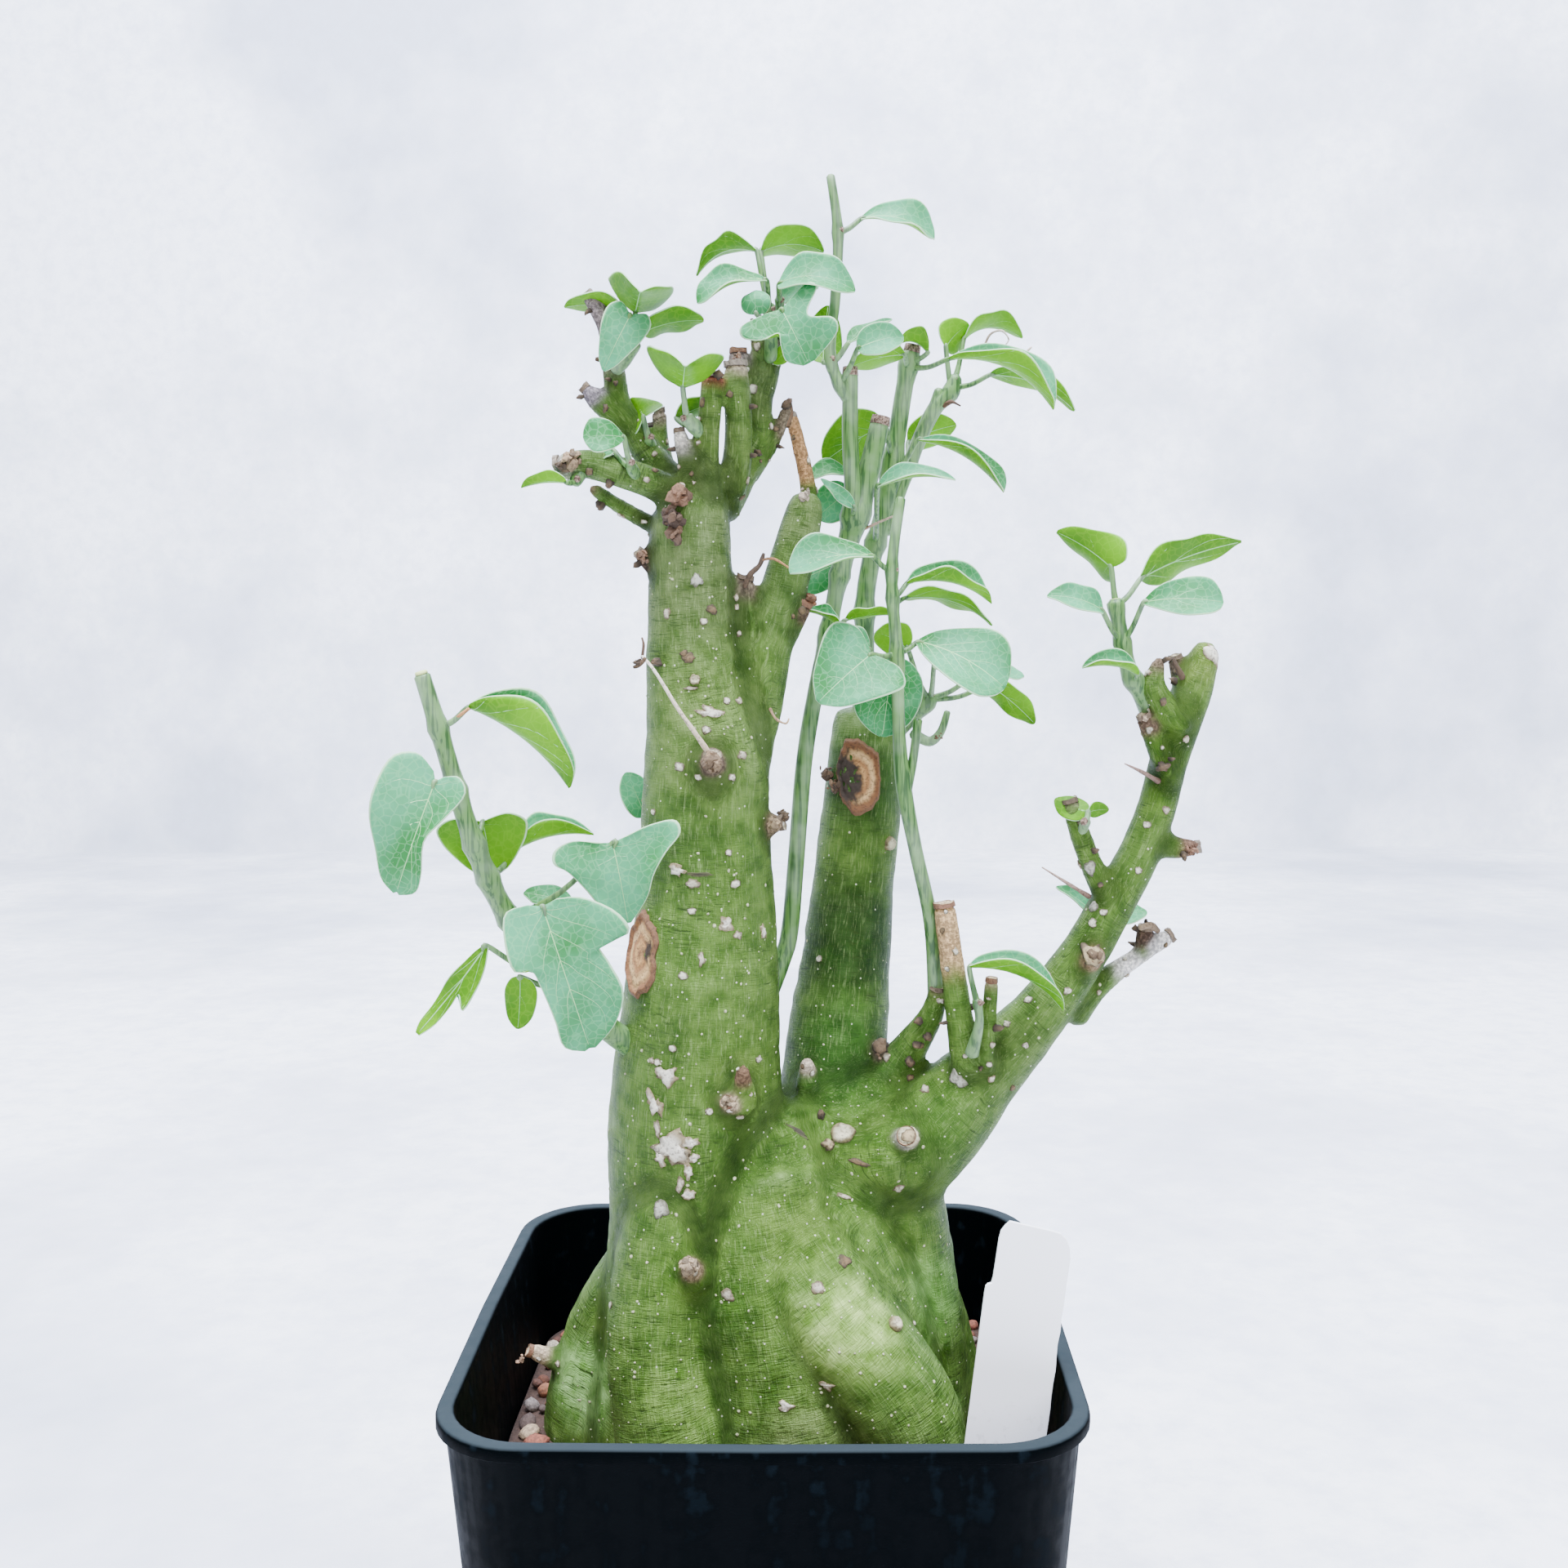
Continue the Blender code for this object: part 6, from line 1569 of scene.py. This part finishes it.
def make_blade_finish(name, base, shaded, net, net_share, roughness):
    """One face of the blade: its green and a painted shaded green in soft patches, with the net of
    veinlets.
    """
    finish, tree, shader = new_finish(name)
    flat = add(tree, "Attribute", out="Vector", attribute_name="grain")
    place = add(tree, "TexCoord", out="Object")
    # Soft patches of painted shade
    patches = add(tree, "TexNoise", {"Vector": place, "Scale": 1 / SHADE_PATCH_SIZE, "Detail": 5})
    share = add(tree, "MapRange", {"Value": patches, "From Min": 0.38, "From Max": 0.62})
    green = add(tree, "Mix", {0: share, 6: paint(base), 7: paint(shaded)}, data_type="RGBA")
    on_blade = add(tree, "VectorMath", {0: flat, 1: (1, 1, 0)}, operation="MULTIPLY")
    cells = add(tree, "TexVoronoi", {"Vector": on_blade, "Scale": 1 / NET_SIZE}, feature="DISTANCE_TO_EDGE")
    line = add(tree, "MapRange", {"Value": cells, "From Min": 0.09, "From Max": 0.02, "To Max": net_share})
    netted = add(tree, "Mix", {0: line, 6: green, 7: paint(net)}, data_type="RGBA")
    outward = add(tree, "SeparateXYZ", {"Vector": flat}, out="Z")
    edge = add(tree, "MapRange", {"Value": outward, "From Min": 0.955, "From Max": 0.985, "To Max": 0.8})
    edged = add(tree, "Mix", {0: edge, 6: netted, 7: paint("#b3d3a8")}, data_type="RGBA")
    bump = add(tree, "Bump", {"Height": line, "Distance": 0.05 * MM, "Strength": 0.5})
    fill(tree, shader, {"Base Color": edged, "Roughness": roughness, "Specular IOR Level": 0.14,
                        "Subsurface Weight": 0.2, "Subsurface Radius": (0.8, 1.0, 0.3),
                        "Subsurface Scale": LEAF_SCATTER, "Normal": bump})
    return finish


def make_stalk_finish(name, base, stripe):
    """Young green stem with darker lines along it."""
    finish, tree, shader = new_finish(name)
    place = add(tree, "TexCoord", out="Object")
    long_way = add(tree, "Mapping", {"Vector": place, "Scale": (1500, 1500, 60)})
    lines = add(tree, "TexNoise", {"Vector": long_way, "Scale": 1, "Detail": 2})
    share = add(tree, "MapRange", {"Value": lines, "From Min": 0.48, "From Max": 0.58})
    striped = add(tree, "Mix", {0: share, 6: paint(base), 7: paint(stripe)}, data_type="RGBA")
    bloom = add(tree, "TexNoise", {"Vector": place, "Scale": 120, "Detail": 3})
    veil = add(tree, "MapRange", {"Value": bloom, "From Min": 0.4, "From Max": 0.7, "To Max": 0.35})
    dusted = add(tree, "Mix", {0: veil, 6: striped, 7: paint("#a9bf9c")}, data_type="RGBA")
    bump = add(tree, "Bump", {"Height": lines, "Distance": 0.1 * MM, "Strength": 0.6})
    fill(tree, shader, {"Base Color": dusted, "Roughness": 0.5, "Normal": bump})
    return finish


def make_scale_finish():
    """Dry brown bud scales, dark at heart and pale where they flake."""
    finish, tree, shader = new_finish("dry bud scale")
    place = add(tree, "TexCoord", out="Object")
    flakes = add(tree, "TexNoise", {"Vector": place, "Scale": 2200, "Detail": 3})
    share = add(tree, "MapRange", {"Value": flakes, "From Min": 0.4, "From Max": 0.65})
    brown = add(tree, "Mix", {0: share, 6: paint("#4a3428"), 7: paint("#a08672")}, data_type="RGBA")
    fill(tree, shader, {"Base Color": brown, "Roughness": 0.85})
    return finish


leaf_finishes = [
    # Each face: its green, a darker green for painted shade, the net's colour, the net's share and the
    # roughness
    make_blade_finish("waxy leaf, upper side", "#4b9b6d", "#287436", "#7fc48a", 0.25, 0.5),
    make_blade_finish("leaf underside", "#5f9a00", "#407606", "#84b42c", 0.2, 0.5),
    plain_material("pale leaf margin", "#a6cf98", 0.55),
    make_stalk_finish("young green stem", "#567f3b", "#284f1a"),
    plain_material("leaf vein", "#8cc67c", 0.5),
    make_scale_finish(),
    plain_material("fresh cut pith", "#c3cf82", 0.7),
]
shoots = [make_shoot(name, leaf_finishes) for name in SHOOTS]
print("leafy pieces:", len(shoots), "faces:", sum(len(shoot.data.polygons) for shoot in shoots))

# %% [markdown]
# ## Pot
# The pot is injection-moulded black plastic: a square tub with round corners and a rolled lip. Its wall
# is a stack of rings, one per height of the profile, skinned from the outside over the lip and down the
# inside. Here the corners have ten steps and the lip and the foot are rounded, with the same profile as
# the solid.

# %% Mould the pot
LIP_HALF = 65.0 * MM
LIP_HEIGHT = 2.8 * MM
LIP_OVERHANG = 1.4 * MM
LIP_WIDTH = 3.5 * MM
LIP_CORNER = 18.8 * MM
CORNER_SHRINK = 0.6
CORNER_STEPS = 10
SIDE_BOW = 0.5 * MM
POT_TAPER = 0.078
WALL = 1.8 * MM
FLOOR = 2.5 * MM
FLOOR_FILLET = 2.0 * MM
FOOT_ROUND = 1.5 * MM
DRAIN_RADIUS = 4.5 * MM
DRAIN_RING = 36 * MM
DRAIN_COUNT = 8


def wall_half(height):
    """Half the width over the outer wall at a height."""
    return LIP_HALF - LIP_OVERHANG - POT_TAPER * (POT_HEIGHT - height)


def rounded(centre_half, centre_height, radius, first, last, steps=4):
    """Points of the profile round an edge, from one angle to another, in degrees."""
    angles = [math.radians(first + (last - first) * step / steps) for step in range(steps + 1)]
    return [(centre_half + radius * math.cos(angle), centre_height + radius * math.sin(angle))
            for angle in angles]


def square_ring(body, half, height):
    """A ring of vertices round a square with round corners and slightly bowed sides."""
    corner = LIP_CORNER - (LIP_HALF - half) * CORNER_SHRINK
    straight = half - corner
    ring = []
    for quarter in range(4):
        middle = math.pi / 4 + math.pi / 2 * quarter
        centre = Vector((math.cos(middle), math.sin(middle), 0)) * straight * math.sqrt(2)
        for step in range(CORNER_STEPS + 1):
            angle = math.pi / 2 * (quarter + step / CORNER_STEPS)
            ring.append(centre + corner * Vector((math.cos(angle), math.sin(angle), 0)))
        side_angle = math.pi / 2 * (quarter + 1)
        side = Vector((math.cos(side_angle), math.sin(side_angle), 0))
        ring.append(side * (half + SIDE_BOW))
    return [body.verts.new((point.x, point.y, height)) for point in ring]


def pot_profile():
    """How far out and how high the wall goes: up the outside, over the lip and down the inside."""
    under_lip = POT_HEIGHT - LIP_HEIGHT
    bead = 0.9 * MM
    outside = [(wall_half(0) - FOOT_ROUND, 0.0)]
    outside += rounded(wall_half(FOOT_ROUND) - FOOT_ROUND, FOOT_ROUND, FOOT_ROUND, -60, 0, 3)
    outside += [(wall_half(POT_HEIGHT / 2), POT_HEIGHT / 2),
                (wall_half(under_lip) - 0.05 * MM, under_lip - 0.4 * MM),
                (wall_half(under_lip) + 0.3 * MM, under_lip)]
    lip = [(LIP_HALF - 0.25 * MM, under_lip), (LIP_HALF, under_lip + 0.25 * MM)]
    lip += rounded(LIP_HALF - bead, POT_HEIGHT - bead, bead, 0, 90)
    lip += rounded(LIP_HALF - LIP_WIDTH + bead, POT_HEIGHT - bead, bead, 90, 180)
    inside = [(wall_half(POT_HEIGHT / 2) - WALL, POT_HEIGHT / 2),
              (wall_half(FLOOR + FLOOR_FILLET) - WALL, FLOOR + FLOOR_FILLET),
              (wall_half(FLOOR) - WALL - FLOOR_FILLET, FLOOR)]
    return outside + lip + inside


def make_pot():
    """The wall, skinned ring by ring, with its floor and its drainage holes."""
    body = bmesh.new()
    rings = [square_ring(body, half, height) for half, height in pot_profile()]
    for low, high in zip(rings, rings[1:]):
        for corner in range(len(low)):
            body.faces.new((low[corner - 1], low[corner], high[corner], high[corner - 1]))
    body.faces.new(list(reversed(rings[0])))
    body.faces.new(rings[-1])
    bmesh.ops.recalc_face_normals(body, faces=body.faces)
    for face in body.faces:
        face.smooth = True
    pot = new_piece("nursery_pot", body)
    for hole in range(DRAIN_COUNT):
        angle = math.tau * (hole + 0.5) / DRAIN_COUNT
        cut_hole(pot, Vector((DRAIN_RING * math.cos(angle), DRAIN_RING * math.sin(angle), FLOOR / 2)))
    return pot


def cut_hole(pot, middle):
    """A round drainage hole through the floor."""
    body = bmesh.new()
    bmesh.ops.create_cone(body, cap_ends=True, segments=24, radius1=DRAIN_RADIUS, radius2=DRAIN_RADIUS,
                          depth=4 * FLOOR, matrix=Matrix.Translation(middle))
    drill = new_piece("drill", body)
    hole = pot.modifiers.new("hole", "BOOLEAN")
    hole.object = drill
    hole.solver = "EXACT"
    settle(pot)
    bpy.data.objects.remove(drill, do_unlink=True)


# %% [markdown]
# ## Pot plastic
# Cheap recycled black polypropylene: nearly black with a cold green tint, a soft sheen and a fine moulded
# grain. Hard water has dried on it, so there are faint grey runs and spots, mostly below the lip and
# inside the wall, made from noise that is stretched downward. A thin grey band along the top of the lip
# is a painted highlight.

# %% Black plastic
RUN_SCALE = (260, 260, 26)
SPOT_SIZE = 4 * MM


def make_pot_plastic():
    """Black plastic with dried water marks, more of them near the lip, and a painted highlight along its
    top.
    """
    finish, tree, shader = new_finish("black polypropylene")
    place = add(tree, "TexCoord", out="Object")
    long_way = add(tree, "VectorMath", {0: place, 1: RUN_SCALE}, operation="MULTIPLY")
    runs = add(tree, "TexNoise", {"Vector": long_way, "Scale": 1, "Detail": 4})
    spots = add(tree, "TexNoise", {"Vector": place, "Scale": 1 / SPOT_SIZE, "Detail": 5})
    stain = add(tree, "Math", {0: runs, 1: spots}, operation="MULTIPLY")
    height = add(tree, "SeparateXYZ", {"Vector": place}, out="Z")
    near_lip = add(tree, "MapRange", {"Value": height, "From Min": POT_HEIGHT - 30 * MM,
        "From Max": POT_HEIGHT, "To Min": 0.25, "To Max": 1.0})
    marked = add(tree, "MapRange", {"Value": stain, "From Min": 0.3, "From Max": 0.39, "To Max": 0.8})
    share = add(tree, "Math", {0: marked, 1: near_lip}, operation="MULTIPLY")
    colour = add(tree, "Mix", {0: share, 6: paint("#000203"), 7: paint("#0b1318")}, data_type="RGBA")
    # A painted highlight along the top of the lip
    lip_highlight = add(tree, "MapRange", {"Value": height, "From Min": POT_HEIGHT - 0.45 * MM,
        "From Max": POT_HEIGHT - 0.05 * MM, "To Max": 0.8})
    colour = add(tree, "Mix", {0: lip_highlight, 6: colour, 7: paint("#30383b")}, data_type="RGBA")
    rough = add(tree, "MapRange", {"Value": stain, "From Min": 0.2, "From Max": 0.4, "To Min": 0.55,
        "To Max": 0.75})
    grain = add(tree, "TexNoise", {"Vector": place, "Scale": 2500, "Detail": 2})
    bump = add(tree, "Bump", {"Height": grain, "Distance": 0.03 * MM, "Strength": 0.4})
    fill(tree, shader, {"Base Color": colour, "Roughness": rough, "Specular IOR Level": 0.02,
                        "Normal": bump})
    return finish


pot = make_pot()
dress(pot, make_pot_plastic(), "pot")
print("pot faces:", len(pot.data.polygons))

# %% [markdown]
# ## Plant label
# A tag die-cut from white plastic sheet, stuck in by the right wall. It is left blank. Its outline is
# drawn in shares of its width and height, with one ragged edge where it was torn from its neighbour. The
# flat shape is extruded to 0.8 mm and its edges are bevelled a little.

# %% Cut the label
LABEL_WIDTH = 16.5 * MM
LABEL_HEIGHT = 78 * MM
LABEL_THICKNESS = 0.8 * MM
LABEL_FOOT = Vector((45.3 * MM, -40.0 * MM, 75.0 * MM))
LABEL_LEAN = math.radians(7.5)
LABEL_TIP_BACK = math.radians(-4.0)
LABEL_LEFT = [(-0.12, -0.1), (-0.5, 0.0), (-0.5, 0.8), (-0.495, 0.822), (-0.47, 0.829), (-0.43, 0.832),
              (-0.418, 0.85), (-0.408, 0.95), (-0.395, 0.972), (-0.35, 0.988), (-0.3, 1.0)]
LABEL_RIGHT = [(0.2, 0.99), (0.34, 0.985), (0.42, 0.972), (0.475, 0.95), (0.5, 0.92)]
RAGGED_STEPS = 26
RAGGED_DEPTH = 0.012


def make_label():
    """The outline, made thick, with its edges bevelled, and put in its leaning place."""
    ragged = random.Random(4)
    edge = [(0.5 - abs(ragged.gauss(0, RAGGED_DEPTH)), 0.9 - 0.9 * step / RAGGED_STEPS)
            for step in range(RAGGED_STEPS)]
    outline = LABEL_LEFT + LABEL_RIGHT + edge + [(0.5, 0.0), (0.12, -0.1)]
    body = bmesh.new()
    corners = [body.verts.new((across * LABEL_WIDTH, 0, up * LABEL_HEIGHT)) for across, up in outline]
    front = body.faces.new(corners)
    pulled = bmesh.ops.extrude_face_region(body, geom=[front])["geom"]
    moved = [item for item in pulled if isinstance(item, bmesh.types.BMVert)]
    bmesh.ops.translate(body, verts=moved, vec=(0, LABEL_THICKNESS, 0))
    bmesh.ops.recalc_face_normals(body, faces=body.faces)
    flat = [face for face in body.faces if len(face.verts) > 4]
    rims = {edge for face in flat for edge in face.edges}
    bmesh.ops.bevel(body, geom=list(rims), offset=0.12 * MM, offset_type="OFFSET", segments=1, profile=0.5,
                    affect="EDGES", clamp_overlap=True, material=-1)
    body.transform(Matrix.Translation(LABEL_FOOT) @ Matrix.Rotation(LABEL_LEAN, 4, "Y")
                   @ Matrix.Rotation(LABEL_TIP_BACK, 4, "X"))
    return new_piece("blank_label", body)


def make_label_plastic():
    """White sheet with a slight sheen and a little soil splashed near its foot."""
    finish, tree, shader = new_finish("white plastic sheet")
    place = add(tree, "TexCoord", out="Object")
    height = add(tree, "SeparateXYZ", {"Vector": place}, out="Z")
    specks = add(tree, "TexNoise", {"Vector": place, "Scale": 700, "Detail": 3})
    low = add(tree, "MapRange", {"Value": height, "From Min": 90 * MM, "From Max": 118 * MM, "To Min": 0.5,
        "To Max": 0.0})
    spotted = add(tree, "MapRange", {"Value": specks, "From Min": 0.56, "From Max": 0.64})
    share = add(tree, "Math", {0: low, 1: spotted}, operation="MULTIPLY")
    colour = add(tree, "Mix", {0: share, 6: paint("#ffffff"), 7: paint("#8b7a6a")}, data_type="RGBA")
    fill(tree, shader, {"Base Color": colour, "Roughness": 0.38})
    return finish


label = make_label()
dress(label, make_label_plastic(), "label")
print("label faces:", len(label.data.polygons))

# %% [markdown]
# ## Soil and gravel
# The potting mix is a dark, crumbly bed that ends just inside the wall. Real growers top it with coarse
# grit: pumice, lava, akadama and baked clay, 3 to 6 mm across. The bed is a fine grid with lumpy noise.
# The pebbles are spheres of a few dozen faces that are each squashed and dented in their own way, strewn
# from a seeded draw on free spots only. They keep clear of the trunk, the label and the wall.

# %% Fill the pot
SOIL_TOP = 91.0 * MM
SOIL_BOTTOM = 2.8 * MM
SOIL_GAP = 0.3 * MM
BED_RINGS = 30
BED_TOP = SOIL_TOP - 1.0 * MM
BED_LUMPS = 6 * MM
BED_RELIEF = 1.1 * MM
PEBBLE_TRIES = 9000
PEBBLE_COLOURS = ["#7a4a35", "#8f5c40", "#a5714f", "#6b4638", "#b98d68", "#c9ad8a", "#8c8078", "#5a4a42",
                  "#9a5a44", "#d6c6ab"]


def outside_square(x, y, half):
    """Whether a point lies outside the pot's rounded square."""
    corner = LIP_CORNER - (LIP_HALF - half) * CORNER_SHRINK
    return math.hypot(max(0, abs(x) - half + corner), max(0, abs(y) - half + corner)) > corner


def bed_height(x, y):
    """How high the lumpy top of the bed is at a place."""
    return BED_TOP + BED_RELIEF * noise.fractal(Vector((x, y, 0)) / BED_LUMPS, 1.0, 2.0, 3)


def make_bed():
    """The soil's body: a lumpy top, and a smooth side that follows the wall down to the floor."""
    body = bmesh.new()
    top_half = wall_half(SOIL_TOP) - WALL - SOIL_GAP - SIDE_BOW
    low_half = wall_half(SOIL_BOTTOM) - WALL - FLOOR_FILLET - SOIL_GAP
    low = square_ring(body, low_half, SOIL_BOTTOM)
    rim = square_ring(body, top_half, BED_TOP)
    for corner in range(len(low)):
        body.faces.new((low[corner - 1], low[corner], rim[corner], rim[corner - 1]))
    body.faces.new(list(reversed(low)))
    loop = rim
    for share in [1 - step / BED_RINGS for step in range(1, BED_RINGS)]:
        ring = [body.verts.new((vertex.co.x * share, vertex.co.y * share, 0)) for vertex in rim]
        for vertex in ring:
            vertex.co.z = bed_height(vertex.co.x, vertex.co.y)
        for corner in range(len(ring)):
            body.faces.new((loop[corner - 1], loop[corner], ring[corner], ring[corner - 1]))
        loop = ring
    body.faces.new(loop)
    for face in body.faces:
        face.smooth = True
    return body


def free_spot(x, y, size, taken, space):
    """Whether a pebble fits on the bed without touching the wood, the label, the wall or another pebble."""
    if outside_square(x, y, space - size):
        return False
    middle = Vector((x, y, bed_height(x, y) + size * 0.4))
    _, _, _, gap = wood_tree.find_nearest(middle)
    if gap is None or gap < size + 0.3 * MM or inside_wood(middle):
        return False
    across = (middle - LABEL_FOOT).dot(Vector((1, 0, 0)))
    if abs(across - 2 * MM) < LABEL_WIDTH / 2 + size and abs(y - LABEL_FOOT.y + 1 * MM) < size + 1.2 * MM:
        return False
    return all(math.hypot(x - other[0], y - other[1]) > (size + other[2]) * 0.86 for other in taken)


def inside_wood(point):
    """Whether a point is in the trunk: a line out of it crosses the bark an odd number of times."""
    start, count = point.copy(), 0
    while count < 9:
        hit, _, _, _ = wood_tree.ray_cast(start, Vector((1, 0, 0)))
        if hit is None:
            return count % 2 == 1
        start = hit + Vector((0.05 * MM, 0, 0))
        count += 1
    return False


def strew(body):
    """Adds the pebbles to the body, and keeps each one's colour in an attribute."""
    shade = body.verts.layers.float_color.new("tint")
    space = wall_half(SOIL_TOP) - WALL - SOIL_GAP - SIDE_BOW
    grit = random.Random(21)
    taken = []
    for vertex in body.verts:
        vertex[shade] = paint("#4a3529")
    for _ in range(PEBBLE_TRIES):
        size = grit.uniform(1.3, 3.0) * MM
        x, y = (grit.uniform(-space, space) for _ in range(2))
        if not free_spot(x, y, size, taken, space):
            continue
        taken.append((x, y, size))
        add_pebble(body, grit, Vector((x, y, bed_height(x, y) + size * 0.35)), size)
    return len(taken)


def add_pebble(body, grit, middle, size):
    """One squashed and dented stone of its own colour."""
    part, shade = tinted_part()
    made = bmesh.ops.create_uvsphere(part, u_segments=8, v_segments=5, radius=size)["verts"]
    squash = Matrix.Diagonal(Vector((grit.uniform(0.75, 1.1), grit.uniform(0.75, 1.1),
                                     grit.uniform(0.5, 0.8))))
    turn = Matrix.Rotation(grit.uniform(0, math.tau), 3, "Z") @ Matrix.Rotation(grit.gauss(0, 0.25), 3, "X")
    own = Vector((grit.uniform(-9, 9) for _ in range(3)))
    colour = rgb(grit.choice(PEBBLE_COLOURS)) * grit.uniform(0.75, 1.15)
    for vertex in made:
        rough = 1 + 0.24 * noise.noise(vertex.co / size * 1.3 + own)
        vertex.co = turn @ squash @ vertex.co * rough + middle
        vertex[shade] = (*colour, 1.0)
    merged(body, part)


def make_grit():
    """Porous stone: each pebble has its own colour, speckled, with a rough dry surface."""
    finish, tree, shader = new_finish("porous gravel")
    place = add(tree, "TexCoord", out="Object")
    own = add(tree, "Attribute", attribute_name="tint")
    pores = add(tree, "TexNoise", {"Vector": place, "Scale": 1400, "Detail": 5})
    share = add(tree, "MapRange", {"Value": pores, "From Min": 0.36, "From Max": 0.62, "To Min": 0.55,
        "To Max": 0.0})
    colour = add(tree, "Mix", {0: share, 6: own, 7: paint("#2e211a")}, data_type="RGBA")
    bump = add(tree, "Bump", {"Height": pores, "Distance": 0.35 * MM, "Strength": 0.9})
    fill(tree, shader, {"Base Color": colour, "Roughness": 0.9, "Normal": bump})
    return finish


def make_soil():
    """The bed and the pebbles in one piece."""
    body = make_bed()
    count = strew(body)
    soil = new_piece("potting_mix", body)
    dress(soil, make_grit(), "soil")
    print("pebbles:", count, "soil faces:", len(soil.data.polygons))
    return soil


soil = make_soil()
